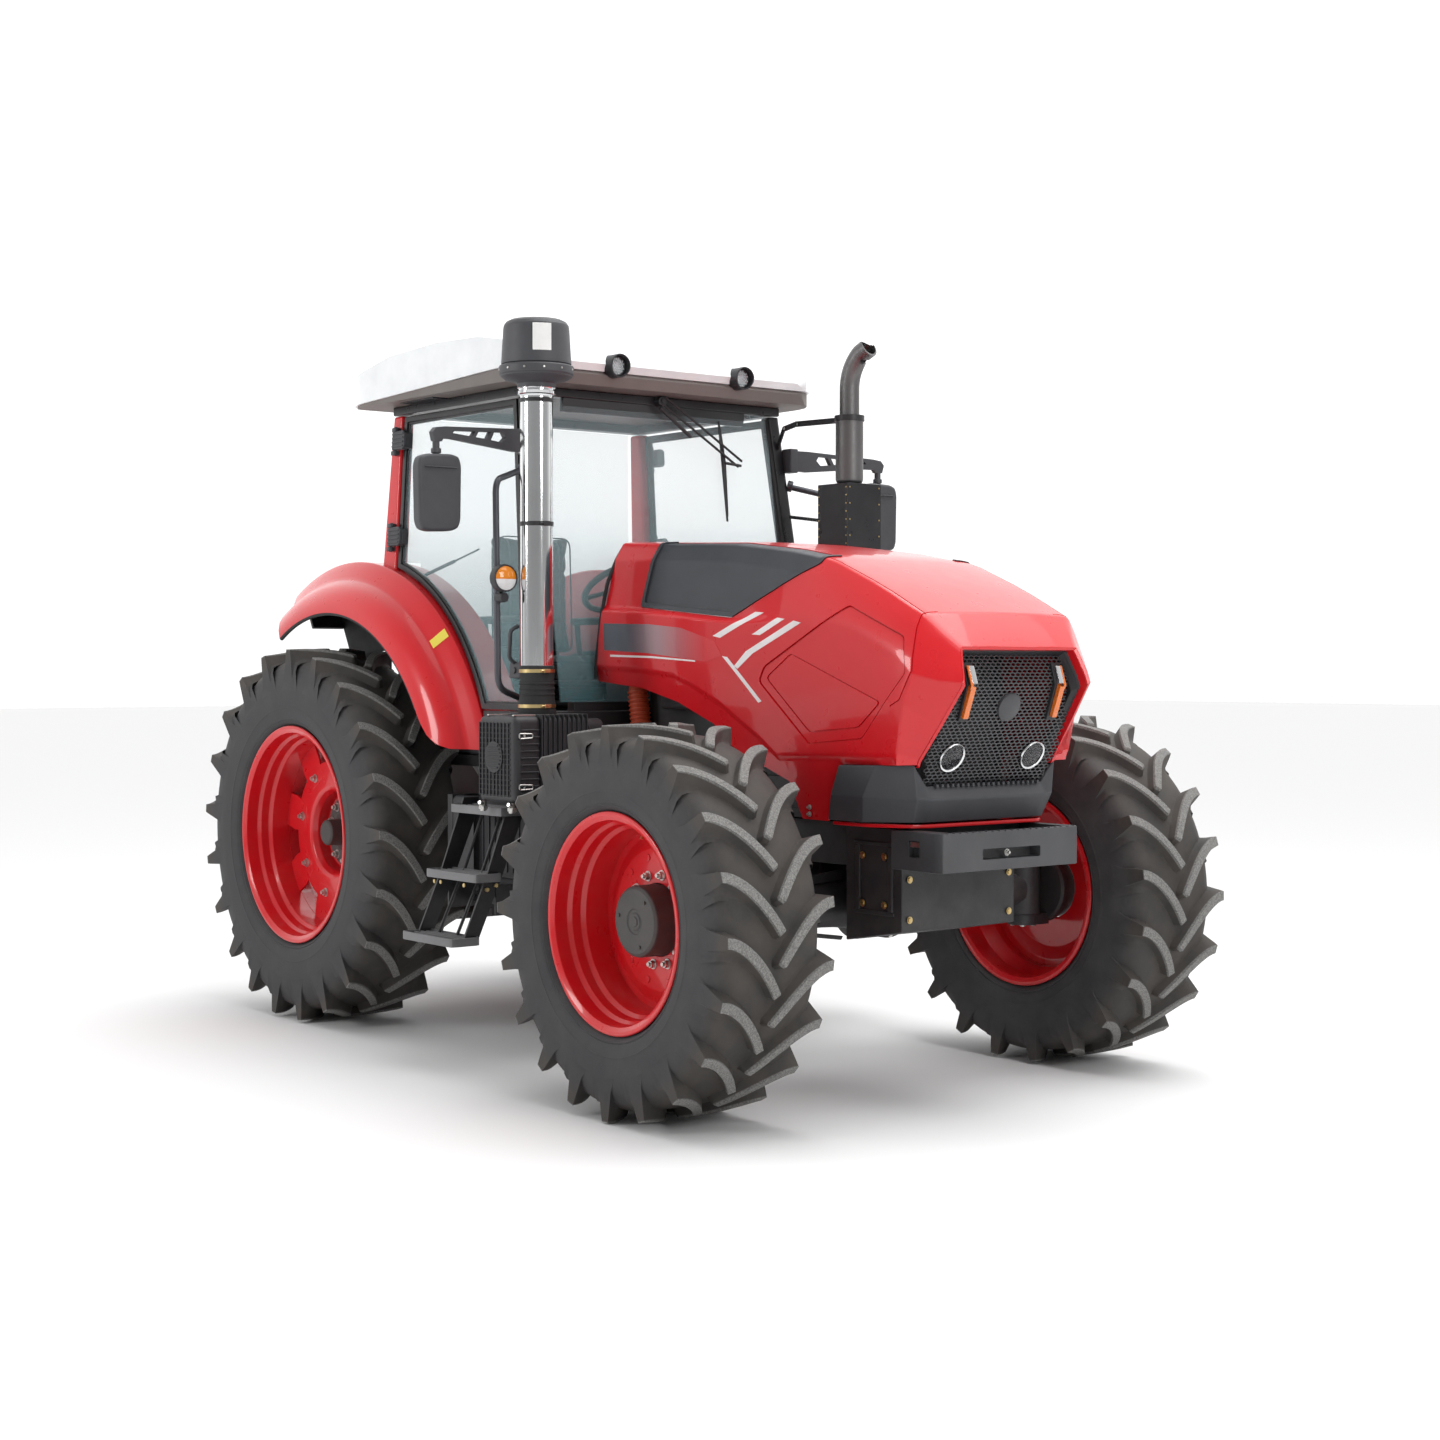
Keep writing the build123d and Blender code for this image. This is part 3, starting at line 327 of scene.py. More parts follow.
def bar(points, radius, bends=0.0, sides=12, closed=False):
    """A round bar along straight runs, rounded at its corners."""
    points = [Vector(p) for p in points]
    curve = bpy.data.curves.new("bar", "CURVE")
    curve.dimensions, curve.bevel_depth, curve.bevel_resolution = "3D", radius, max(1, sides // 4 - 1)
    curve.use_fill_caps = True
    path = []
    for i, p in enumerate(points):
        if bends and (closed or 0 < i < len(points) - 1):
            before = (points[i - 1] - p)
            after = (points[(i + 1) % len(points)] - p)
            reach = min(bends, before.length * 0.45, after.length * 0.45)
            start, end = p + before.normalized() * reach, p + after.normalized() * reach
            for k in range(7):
                t = k / 6
                path.append(start * (1 - t) ** 2 + p * 2 * t * (1 - t) + end * t ** 2)
        else:
            path.append(p)
    spline = curve.splines.new("POLY")
    spline.points.add(len(path) - 1)
    for point, p in zip(spline.points, path):
        point.co = (*p, 1)
    spline.use_cyclic_u = closed
    obj = bpy.data.objects.new("bar", curve)
    bpy.context.scene.collection.objects.link(obj)
    only(obj)
    bpy.ops.object.convert(target="MESH")
    return outward(bpy.context.object)


def copied(obj, matrix):
    """A copy of obj with its own mesh, moved by a matrix. Mirrored copies are turned right side out."""
    twin = obj.copy()
    twin.data = obj.data.copy()
    bpy.context.scene.collection.objects.link(twin)
    twin.data.transform(matrix)
    if matrix.determinant() < 0:
        twin.data.flip_normals()
    twin.data.update()
    return twin


def mirrored(obj):
    return copied(obj, Matrix.Scale(-1, 4, (0, 1, 0)))


def joined(objects, name=None):
    objects = list(objects)
    only(*objects)
    if len(objects) > 1:
        bpy.ops.object.join()
    if name:
        objects[0].name = name
    return objects[0]


def both(*objects):
    """The pieces and their mirror images across the tractor, as one mesh."""
    return joined(list(objects) + [mirrored(o) for o in objects])


def around(obj, count, centre, axis="Y", start=0.0):
    """Copies of obj at even steps round an axis, as one mesh."""
    move = Matrix.Translation(centre)
    copies = [copied(obj, move @ Matrix.Rotation(start + 2 * pi * i / count, 4, axis) @ move.inverted())
              for i in range(count)]
    bpy.data.objects.remove(obj)
    return joined(copies)


def moved(obj, offset):
    obj.data.transform(Matrix.Translation(offset))
    return obj


def carve(obj, *cutters, keep=False, mode="DIFFERENCE"):
    for cutter in cutters:
        modify(obj, "BOOLEAN", operation=mode, solver="EXACT", object=cutter)
        if not keep:
            bpy.data.objects.remove(cutter)
    return obj


def settle(obj, name, body, finish, *nodes, angle=35, slot=None):
    """Name the finished piece, shade it, move it to its place and hang it on its body."""
    obj.name = name
    obj.data.name = name
    obj.data.materials.clear()
    finishes = finish if isinstance(finish, (list, tuple)) else [finish]
    for one in finishes:
        obj.data.materials.append(one.material)
    obj.data.transform(Matrix.Translation(SHIFT))
    only(obj)
    bpy.ops.object.shade_smooth_by_angle(angle=radians(angle))
    modify(obj, "WEIGHTED_NORMAL", keep_sharp=True)
    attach(obj, body)
    if nodes:
        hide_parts(*nodes)
    return obj


# ---- finishes -----------------------------------------------------------------------------------
RED = (0.62, 0.007, 0.014)
WHITE = (0.80, 0.82, 0.84)
CHARCOAL = (0.030, 0.033, 0.040)


def dusted(finish, colour, dust, amount, low=0.2, high=1.4):
    """Colour with road dust that thins out upwards."""
    fade = finish.span(finish.axis("Z"), low, high, 1.0, 0.15)
    speck = finish.span(finish.noise(9.0, 6.0, 0.65), 0.42, 0.7)
    return finish.mix(fade * speck * amount, colour, dust)


def red_paint():
    """Clear-coated red: a little darker and duller in patches, with a fine orange-peel."""
    paint = Finish("red_paint", RED, 0.28, 0.0, coat_weight=0.5, coat_roughness=0.05, specular_ior_level=0.3)
    cloud = paint.noise(1.6, 2.0)
    tone = paint.mix(paint.span(cloud, 0.3, 0.7), RED, (0.62, 0.009, 0.014))
    paint.set("Base Color", dusted(paint, tone, (0.30, 0.17, 0.13), 0.12))
    paint.set("Roughness", 0.24 + paint.noise(14.0, 4.0) * 0.10)
    paint.relief(paint.noise(240.0, 1.0), 0.00012, 0.35)
    return paint


def band(value, low, high):
    return value.above(low) * value.below(high)


def rubber(name, radius, height):
    """Tyre rubber about one axle: pale grey on the lugs' tops, partly dust and partly a painted highlight, and brown
    dust between them.
    """
    tyre = Finish(name, (0.03, 0.028, 0.027), 0.78, specular_ior_level=0.35)
    across = tyre.axis("X") - (AXLE_X if radius == FRONT_R else AXLE_X + REAR_X)
    up = tyre.axis("Z") - height
    reach = (across * across + up * up).root()
    grain = tyre.noise(420.0, 3.0, 0.7)
    stain = tyre.span(tyre.noise(7.0, 5.0, 0.6), 0.35, 0.7)
    wall = tyre.mix(stain, (0.036, 0.036, 0.039), (0.060, 0.059, 0.060))
    tread = tyre.mix(stain, (0.044, 0.041, 0.039), (0.076, 0.066, 0.058))
    base = tyre.mix(tyre.span(reach, radius - 0.12, radius - 0.045), wall, tread)
    top = tyre.span(reach, radius - 0.013, radius - 0.008)
    # Pale grey on the lugs' tops: partly dust, partly a painted highlight.
    fleck = tyre.span(tyre.noise(160.0, 4.0, 0.75), 0.38, 0.62)
    dust = tyre.mix(fleck, (0.12, 0.118, 0.113), (0.27, 0.265, 0.255))
    tyre.set("Base Color", tyre.mix(top * 0.92, base, dust))
    tyre.set("Roughness", 0.62 + stain * 0.16 + top * 0.15)
    tyre.relief(grain + tyre.noise(60.0, 3.0) * 1.5, 0.0006, 0.45)
    return tyre


def moulded(name, colour, roughness, grain=900.0, depth=0.00025, coat=0.0):
    """Grained moulded plastic with slightly uneven sheen and a trace of dust."""
    plastic = Finish(name, colour, roughness, coat_weight=coat)
    light = tuple(min(1.0, c * 1.25 + 0.01) for c in colour)
    tone = plastic.mix(plastic.span(plastic.noise(5.0, 5.0, 0.6), 0.35, 0.7) * 0.5, colour, light)
    plastic.set("Base Color", dusted(plastic, tone, (0.16, 0.14, 0.12), 0.10))
    plastic.set("Roughness", roughness - 0.05 + plastic.noise(22.0, 4.0) * 0.12)
    plastic.relief(plastic.cells(grain), depth, 0.5)
    return plastic


def painted(name, colour, roughness, cast=0.0, dust=0.25, metallic=0.0):
    """Painted steel, or with cast above 0 a painted casting."""
    paint = Finish(name, colour, roughness, metallic)
    light = tuple(c * 1.4 + 0.004 for c in colour)
    tone = paint.mix(paint.span(paint.noise(3.0, 6.0, 0.6), 0.35, 0.7), colour, light)
    paint.set("Base Color", dusted(paint, tone, (0.13, 0.115, 0.10), dust))
    paint.set("Roughness", roughness + paint.noise(18.0, 5.0) * 0.16)
    if cast:
        paint.relief(paint.noise(160.0, 5.0, 0.7), cast, 0.6)
    else:
        paint.relief(paint.noise(300.0, 2.0), 0.0001, 0.4)
    return paint


def bright(name, colour, roughness, brushed=(1, 1, 1)):
    """Bare or plated metal, brushed along the short side of a stretch."""
    metal = Finish(name, colour, roughness, 1.0)
    streak = metal.noise(60.0, 4.0, 0.6, brushed)
    metal.set("Roughness", roughness * 0.7 + streak * roughness * 0.9)
    metal.set("Base Color", metal.mix(metal.span(metal.noise(3.0, 4.0), 0.3, 0.7), colour,
                                      tuple(c * 0.86 for c in colour)))
    metal.relief(streak, 0.00005, 0.3)
    return metal


def glazing():
    """Blue-green safety glass with a painted reflection: darker and more opaque low down, paler towards the top."""
    glass = Finish("window_glass", (0.72, 0.86, 0.89), 0.02, specular_ior_level=0.6, ior=1.45)
    # Painted reflection: the glass runs from dark and more opaque low down to pale high up.
    glass.set("Alpha", glass.span(glass.axis("Z"), 1.4, 2.3, 0.40, 0.13))
    glass.set("Base Color", glass.mix(glass.span(glass.axis("Z"), 1.4, 2.4), (0.07, 0.20, 0.22), (0.62, 0.80, 0.84)))
    return glass


def lens(name, colour, alpha=0.5, ribs=260.0):
    cover = Finish(name, colour, 0.06, coat_weight=0.6)
    cover.set("Alpha", alpha)
    cover.relief((cover.axis("Z") * ribs).sine(), 0.0006, 0.5)
    return cover


def cloth():
    """Coarse woven seat cloth with a paler thread."""
    weave = Finish("seat_cloth", (0.03, 0.032, 0.036), 0.85, sheen_weight=0.4, sheen_roughness=0.5)
    across = (weave.axis("Y") * 1100.0).sine()
    along = ((weave.axis("X") + weave.axis("Z")) * 1100.0).sine()
    thread = across * along
    speck = weave.span(weave.noise(300.0, 2.0), 0.5, 0.6)
    weave.set("Base Color", weave.mix(speck * 0.5, (0.028, 0.030, 0.034), (0.10, 0.105, 0.115)))
    weave.relief(thread, 0.0004, 0.5)
    return weave


def core():
    """Cooler core: fine upright fins, with painted shade in the dark stripes between them."""
    fins = Finish("cooler_core", (0.10, 0.10, 0.10), 0.5, 0.6)
    line = (fins.axis("Y") * 1600.0).sine()
    # The dark stripes between the light fins are painted shade.
    fins.set("Base Color", fins.mix(fins.span(line, -0.4, 0.4), (0.02, 0.02, 0.02), (0.16, 0.16, 0.155)))
    fins.relief(line, 0.001, 0.6)
    return fins


def fade_decal():
    """Stripe that runs from slate grey at the rear into the red ahead, with a pale glow between."""
    fade = Finish("fade_decal", (0.2, 0.2, 0.22), 0.3, coat_weight=0.5)
    along = fade.axis("X") - AXLE_X
    glow = fade.mix(fade.span(along, -1.00, -0.80), (0.075, 0.080, 0.100), (0.34, 0.20, 0.22))
    fade.set("Base Color", fade.mix(fade.span(along, -0.78, -0.46), glow, RED))
    fade.set("Roughness", 0.26 + fade.noise(20.0, 3.0) * 0.1)
    return fade


def all_finishes():
    return {
        "red": red_paint(),
        "front_rubber": rubber("front_rubber", FRONT_R, FRONT_R),
        "rear_rubber": rubber("rear_rubber", REAR_R, REAR_R),
        "white": moulded("white_roof", (0.78, 0.80, 0.82), 0.3, 500.0, 0.00008, 0.5),
        "lining": moulded("roof_lining", (0.155, 0.135, 0.125), 0.55, 700.0),
        "charcoal": moulded("charcoal_satin", CHARCOAL, 0.42, 1200.0),
        "plastic": moulded("black_plastic", (0.018, 0.018, 0.021), 0.48, 800.0, 0.0003),
        "grey_plastic": moulded("dark_grey_plastic", (0.045, 0.046, 0.052), 0.5, 800.0, 0.0003),
        "seal": moulded("rubber_seal", (0.012, 0.012, 0.013), 0.7, 500.0),
        "black": painted("black_paint", (0.014, 0.014, 0.016), 0.36),
        "casting": painted("dark_casting", (0.020, 0.020, 0.022), 0.45, 0.0008, 0.35),
        "bracket": painted("bracket_paint", (0.045, 0.046, 0.050), 0.42, 0.0005, 0.2),
        "hub": painted("hub_casting", (0.042, 0.041, 0.040), 0.5, 0.0006, 0.3),
        "chrome": bright("polished_steel", (0.86, 0.87, 0.88), 0.10, (6, 6, 0.15)),
        "zinc": bright("zinc_plate", (0.62, 0.61, 0.58), 0.30),
        "brass": bright("yellow_zinc", (0.66, 0.50, 0.24), 0.30),
        "exhaust": bright("silencer_steel", (0.17, 0.165, 0.165), 0.42),
        "glass": glazing(),
        "lens": lens("clear_lens", (0.80, 0.84, 0.86), 0.35),
        "dark_lens": lens("dark_lens", (0.05, 0.05, 0.055), 0.30),
        "amber": lens("amber_lens", (0.85, 0.26, 0.01), 0.9),
        "amber_light": lens("amber_strip", (0.72, 0.16, 0.015), 1.0, 400.0),
        "red_lens": lens("red_lens", (0.55, 0.01, 0.01), 0.9),
        "cloth": cloth(),
        "core": core(),
        "orange": moulded("orange_hose", (0.55, 0.07, 0.02), 0.5, 300.0),
        "yellow": moulded("yellow_strip", (0.75, 0.62, 0.06), 0.4),
        "label": moulded("blank_label", (0.75, 0.75, 0.74), 0.4),
        "gloss_black": painted("gloss_black", (0.012, 0.012, 0.014), 0.22),
        "tread_grey": painted("tread_grey", (0.13, 0.13, 0.135), 0.34),
        "rail": painted("rail_grey", (0.060, 0.062, 0.072), 0.28, metallic=0.5),
        "white_lens": lens("white_lens", (0.85, 0.85, 0.85), 0.9),
        "silver": bright("silver_reflector", (0.82, 0.83, 0.84), 0.18),
        "mesh": moulded("mesh_black", (0.040, 0.041, 0.045), 0.34, 900.0),
        "decal": moulded("white_decal", (0.80, 0.74, 0.74), 0.3, coat=0.5),
        "fade": fade_decal(),
        "mirror": bright("mirror_glass", (0.9, 0.92, 0.93), 0.02),
    }


FINISH = all_finishes()

SLOT_FINISH = {
    "red_paint": "red", "tyre_rubber": "front_rubber", "white_roof": "white", "roof_trim": "lining",
    "charcoal_plastic": "bracket", "black_plastic": "plastic", "black_steel": "black",
    "chassis_paint": "casting", "chrome": "chrome", "exhaust_steel": "exhaust", "clear_glass": "glass",
    "lamp_lens": "lens", "amber_lens": "amber", "red_lens": "red_lens", "core_alloy": "core",
    "seat_fabric": "cloth",
}


def dress_frame():
    """Give every carried-over CAD node the finish of its material slot."""
    for part in frame["record"]["subparts"]:
        finish = FINISH[SLOT_FINISH[part["material_slot"]]]
        if part["node"].startswith("rear_tyre"):
            finish = FINISH["rear_rubber"]
        node = frame["nodes"][part["node"]]
        node.data.materials.clear()
        node.data.materials.append(finish.material)


dress_frame()


# ---- tyres --------------------------------------------------------------------------------------
def carcass_profile(radius, flange, half):
    """(radius, outboard) points of one half of the casing, from the bead out and over the crown."""
    wall = radius - flange
    return [(flange - 0.012, half - 0.048), (flange + 0.004, half - 0.038), (flange + 0.010, half - 0.026),
            (flange + 0.020, half - 0.017), (flange + 0.026, half - 0.019), (flange + 0.036, half - 0.011),
            (flange + 0.22 * wall, half - 0.006), (flange + 0.228 * wall, half - 0.0035),
            (flange + 0.245 * wall, half - 0.0035), (flange + 0.253 * wall, half - 0.0045),
            (flange + 0.40 * wall, half - 0.001), (flange + 0.53 * wall, half - 0.003),
            (flange + 0.64 * wall, half - 0.009), (flange + 0.74 * wall, half - 0.022),
            (flange + 0.81 * wall, half - 0.042), (flange + 0.85 * wall, half - 0.074),
            (flange + 0.868 * wall, half - 0.13), (flange + 0.874 * wall, 0.0)]


def casing_reach(profile, y):
    """Radius of the casing at a distance y from the tyre's middle, on the crown's side of the bulge."""
    crown = profile[10:]
    for (r0, y0), (r1, y1) in zip(crown, crown[1:]):
        if y1 <= abs(y) <= y0:
            return r0 + (r1 - r0) * (y0 - abs(y)) / (y0 - y1)
    return crown[0][0] if abs(y) > crown[0][1] else crown[-1][0]


def lug(radius, profile, half, sweep):
    """One bar of the tread, from its nose near the middle out to its end face at the shoulder."""
    section = [(-1.0, 0.0), (-0.62, 0.06), (-0.30, 0.30), (-0.06, 0.86), (0.0, 1.0)]
    rows = []
    stations = [(-0.075, 0.0, 0.5), (-0.045, 0.30, 0.7), (-0.018, 0.84, 0.9), (0.0, 0.985, 1.0)]
    stations += [(k / 11, 1.0, 1.0) for k in range(1, 12)]
    last = half - 0.002
    for along, lift, slim in stations:
        u = max(along, 0.0)
        y = 0.004 + (last - 0.004) * along
        s = sweep * (1 - (1 - u) ** 1.75) + (sweep * 1.75 * along if along < 0 else 0)
        slope = sweep * 1.75 * (1 - u) ** 0.75 / last
        size = hypot(1, slope)
        across = Vector((-slope / size, 1 / size))
        top = radius - 0.007 * (abs(y) / half) ** 2
        base = casing_reach(profile, y) - 0.010
        if y > last - 0.03:
            base = min(base, profile[12][0] + (last - y) * 1.2)
        height = (top - base) * lift
        land = (0.0150 + 0.0035 * u) * slim
        flare = 0.026 + 0.034 * u ** 2 + 0.25 * max(0.0, height - 0.050)
        row = []
        for w, h in section:
            row.append((-(land - w * flare), h))
        row += [(-w, h) for w, h in reversed(row)]
        ring = []
        for w, h in row:
            yy, ss = y + across.x * w, s + across.y * w
            yy = min(yy, last)
            ring.append((yy, ss, base + h * height if lift else base))
        rows.append(ring)
    points, faces, n = [], [], len(rows[0])
    for ring in rows:
        for yy, ss, r in ring:
            angle = ss / radius
            points.append((r * cos(angle), yy, r * sin(angle)))
    for i in range(len(rows) - 1):
        for j in range(n):
            k = (j + 1) % n
            faces.append((i * n + j, i * n + k, (i + 1) * n + k, (i + 1) * n + j))
    faces.append(tuple(range(n)))
    faces.append(tuple((len(rows) - 1) * n + j for j in reversed(range(n))))
    return outward(mesh_of("lug", points, faces))


def tyre(name, centre, radius, flange, half, count, sweep, phase, side, finish):
    """Casing with its sidewall rings, and two rows of lugs set half a pitch apart."""
    profile = carcass_profile(radius, flange, half)
    ring = profile + [(r, -y) for r, y in reversed(profile[:-1])]
    ring += [(flange - 0.012, -half + 0.06), (flange - 0.012, half - 0.06)]
    casing = spun(ring, (0, 0, 0), steps=110)
    bar_row = lug(radius, profile, half, sweep)
    outer = copied(bar_row, Matrix.Rotation(-radians(phase), 4, "Y"))
    flipped = mirrored(bar_row)
    inner = copied(flipped, Matrix.Rotation(-radians(phase + 180 / count), 4, "Y"))
    bpy.data.objects.remove(flipped)
    bpy.data.objects.remove(bar_row)
    tread = joined([around(outer, count, (0, 0, 0)), around(inner, count, (0, 0, 0))])
    whole = joined([casing, tread])
    if side < 0:
        whole.data.transform(Matrix.Scale(-1, 4, (0, 1, 0)))
        whole.data.flip_normals()
    whole.data.transform(Matrix.Translation(centre))
    return settle(whole, name, name.replace("tyre", "wheel"), finish, name, angle=38, slot="tyre_rubber")


def tyres():
    for label, side in SIDES.items():
        tyre(f"front_tyre_{label}", (0, side * FRONT_Y, FRONT_R), FRONT_R, 0.4065, 0.240, 20, 0.205, 1.6,
             side, FINISH["front_rubber"])
        tyre(f"rear_tyre_{label}", (REAR_X, side * REAR_Y, REAR_R), REAR_R, 0.5075, 0.235, 21, 0.215, 6.1,
             side, FINISH["rear_rubber"])


# ---- wheels -------------------------------------------------------------------------------------
def rim_barrel(flange, centre, side):
    """The rolled rim: curled lips, bead seats, steps and a drop centre."""
    seat, step, well = flange - 0.026, flange - 0.043, flange - 0.060
    outer = [(flange - 0.006, 0.214), (flange - 0.001, 0.211), (flange, 0.205), (flange - 0.004, 0.202),
             (seat + 0.004, 0.201), (seat, 0.196), (seat - 0.002, 0.152), (step + 0.001, 0.140), (step, 0.100),
             (well + 0.001, 0.088), (well, -0.060), (seat - 0.002, -0.120), (seat, -0.198),
             (flange - 0.004, -0.202), (flange, -0.206), (flange - 0.003, -0.213)]
    inner = [(flange - 0.016, -0.213), (seat - 0.008, -0.205), (seat - 0.010, -0.124), (well - 0.008, -0.066),
             (well - 0.008, 0.084), (step - 0.008, 0.097), (step - 0.008, 0.135), (seat - 0.010, 0.148),
             (seat - 0.008, 0.203), (flange - 0.016, 0.213)]
    return bevelled(spun(outer + inner, centre, side=side, steps=96), 0.004, 2, 14)


def nut(radius, height, centre, side, washer=1.35):
    """A hexagon nut on its stud, on a washer, facing outboard."""
    x, y, z = centre
    parts = [cylinder((x, y, z), (x, y + side * height, z), radius, 0.0012, 6),
             cylinder((x, y, z), (x, y + side * 0.003, z), radius * washer, 0.0008, 20),
             cylinder((x, y, z), (x, y + side * (height + 0.010), z), radius * 0.55, 0.001, 12)]
    return joined(parts)


def front_wheel(label, side):
    centre = (0, side * FRONT_Y, FRONT_R)

    def at(out):
        return (0, centre[1] + side * out, centre[2])

    disc = bevelled(spun([(0.346, -0.030), (0.346, -0.016), (0.310, -0.016), (0.288, -0.010), (0.262, 0.0),
                          (0.134, 0.0), (0.134, -0.014), (0.258, -0.014), (0.284, -0.024), (0.310, -0.030)],
                         centre, side=side, steps=72), 0.004, 2, 12)
    weld = spun([(0.347, -0.010), (0.340, -0.016), (0.347, -0.022)], centre, side=side, steps=72)
    dimple = cylinder(at(-0.001), at(0.004), 0.013, 0.002, 24)
    dimples = around(moved(dimple, (0, 0, 0.232)), 12, centre, start=radians(15))
    valve = joined([cylinder((0, at(0.05)[1], centre[2] + 0.338), (0, at(0.075)[1], centre[2] + 0.300), 0.006, 0.001, 12)])
    red = joined([rim_barrel(0.4065, centre, side), disc, weld, dimples])
    settle(red, f"front_rim_{label}", f"front_wheel_{label}", FINISH["red"], f"front_rim_{label}", slot="red_paint")
    settle(valve, f"front_valve_{label}", f"front_wheel_{label}", FINISH["brass"])
    hub = bevelled(spun([(0, 0.106), (0.030, 0.106), (0.034, 0.101), (0.044, 0.101), (0.048, 0.106),
                         (0.118, 0.106), (0.129, 0.098), (0.1315, 0.088), (0.1315, 0.004), (0.128, -0.03),
                         (0.128, -0.085), (0, -0.085)], centre, side=side, steps=64), 0.002, 2, 20)
    plug = cylinder(at(0.100), at(0.109), 0.020, 0.002, 6)
    cap_bolts = around(moved(cylinder(at(0.104), at(0.1115), 0.0065, 0.001, 12), (0, 0, 0.096)), 3, centre,
                       start=radians(40))
    settle(joined([hub, plug, cap_bolts]), f"front_hub_{label}", f"front_wheel_{label}", FINISH["hub"],
           slot="chassis_paint")
    studs = around(moved(nut(0.0145, 0.018, at(0.0), side), (0, 0, 0.167)), 12, centre, start=radians(9))
    settle(studs, f"front_nuts_{label}", f"front_wheel_{label}", FINISH["zinc"])


def rear_wheel(label, side):
    centre = (REAR_X, side * REAR_Y, REAR_R)

    def at(out):
        return (REAR_X, centre[1] + side * out, centre[2])

    disc = bevelled(spun([(0.338, -0.012), (0.338, 0.0), (0.216, 0.0), (0.200, -0.006), (0.186, -0.030),
                          (0.186, -0.080), (0.178, -0.088), (0.100, -0.088), (0.100, -0.100), (0.186, -0.100),
                          (0.198, -0.088), (0.198, -0.034), (0.212, -0.012)], centre, side=side, steps=72),
                    0.004, 2, 14)
    tabs = prism([(-0.062, 0.262), (0.062, 0.262), (0.084, 0.360), (0.080, 0.444), (-0.080, 0.444), (-0.084, 0.360)],
                 "xz", (0.0, 0.012), 0.003)
    tabs.data.transform(Matrix.Translation(at(-0.013 if side > 0 else 0.001)))
    tabs = around(tabs, 8, centre, start=radians(12))
    weld = spun([(0.449, -0.004), (0.438, -0.006), (0.449, -0.014)], centre, side=side, steps=72)
    valve = cylinder((REAR_X, at(0.02)[1], centre[2] + 0.437), (REAR_X, at(0.05)[1], centre[2] + 0.395), 0.007, 0.001, 12)
    red = joined([rim_barrel(0.5075, centre, side), disc, tabs, weld])
    settle(red, f"rear_rim_{label}", f"rear_wheel_{label}", FINISH["red"], f"rear_rim_{label}", slot="red_paint")
    settle(valve, f"rear_valve_{label}", f"rear_wheel_{label}", FINISH["brass"])
    hub = bevelled(spun([(0, 0.034), (0.050, 0.034), (0.060, 0.026), (0.062, -0.040), (0.090, -0.056), (0.095, -0.072),
                         (0.165, -0.074), (0.170, -0.086), (0.105, -0.089), (0.105, -0.094), (0, -0.094)], centre,
                        side=side, steps=56), 0.003, 2, 20)
    settle(hub, f"rear_hub_{label}", f"rear_wheel_{label}", FINISH["hub"], slot="chassis_paint")
    studs = around(moved(nut(0.016, 0.018, at(-0.074), side), (0, 0, 0.138)), 10, centre)
    ties = around(moved(nut(0.016, 0.016, at(0.0), side), (0, 0, 0.295)), 8, centre, start=radians(12))
    settle(joined([studs, ties]), f"rear_nuts_{label}", f"rear_wheel_{label}", FINISH["zinc"])


def wheels():
    for label, side in SIDES.items():
        front_wheel(label, side)
        rear_wheel(label, side)


tyres()
wheels()


# ---- hood ---------------------------------------------------------------------------------------
def along(x, table):
    """Height from a table of (x, value), straight between its entries."""
    for (x0, v0), (x1, v1) in zip(table, table[1:]):
        if x <= x1:
            return v0 + (v1 - v0) * max(0.0, (x - x0)) / (x1 - x0)
    return table[-1][1]


CREST = [(-1.2, 2.172), (-0.387, 2.138), (-0.05, 2.100), (0.2, 2.056), (0.472, 1.948), (0.70, 1.838)]
LEDGE = [(-1.24, 1.890), (-0.84, 1.874), (-0.51, 1.843), (-0.27, 1.823), (0.06, 1.83), (0.36, 1.80), (0.70, 1.66)]
FOLD = [(-1.24, 1.652), (-0.948, 1.643), (-0.654, 1.615), (-0.38, 1.505), (-0.106, 1.362), (-0.03, 1.312),
        (0.308, 1.322), (0.70, 1.330)]
HEM = [(-1.24, 1.588), (-0.933, 1.560), (-0.687, 1.505), (-0.45, 1.420), (-0.342, 1.324), (-0.149, 1.267),
       (0.014, 1.212), (0.096, 1.072), (0.235, 1.071), (0.322, 1.286), (0.70, 1.292)]


def hood_section(x):
    """(half width, height) down one side of the hood, from its middle line to its hem."""
    top, fold, hem = along(x, CREST), along(x, FOLD), along(x, HEM)
    ledge, step = along(x, LEDGE), along(x, [(-1.24, 1.0), (-0.30, 1.0), (0.0, 0.0), (0.7, 0.0)])
    hem = min(hem, fold - 0.020)
    drop = along(x, [(-1.24, 0.075), (0.2, 0.075), (0.70, 0.050)])
    return [(0, top + 0.012), (0.20, top + 0.010), (0.34, top + 0.003), (0.378, top - 0.002), (0.413, top - drop),
            (0.446 - 0.008 * step, ledge + 0.014 + 0.02 * (1 - step)), (0.458 - 0.004 * (1 - step), ledge - 0.006),
            (0.459, (ledge + fold) / 2), (0.456, fold), (0.443, fold - 0.018 - 0.1 * max(0.0, 0.02 - fold + hem)),
            (0.430, hem)]


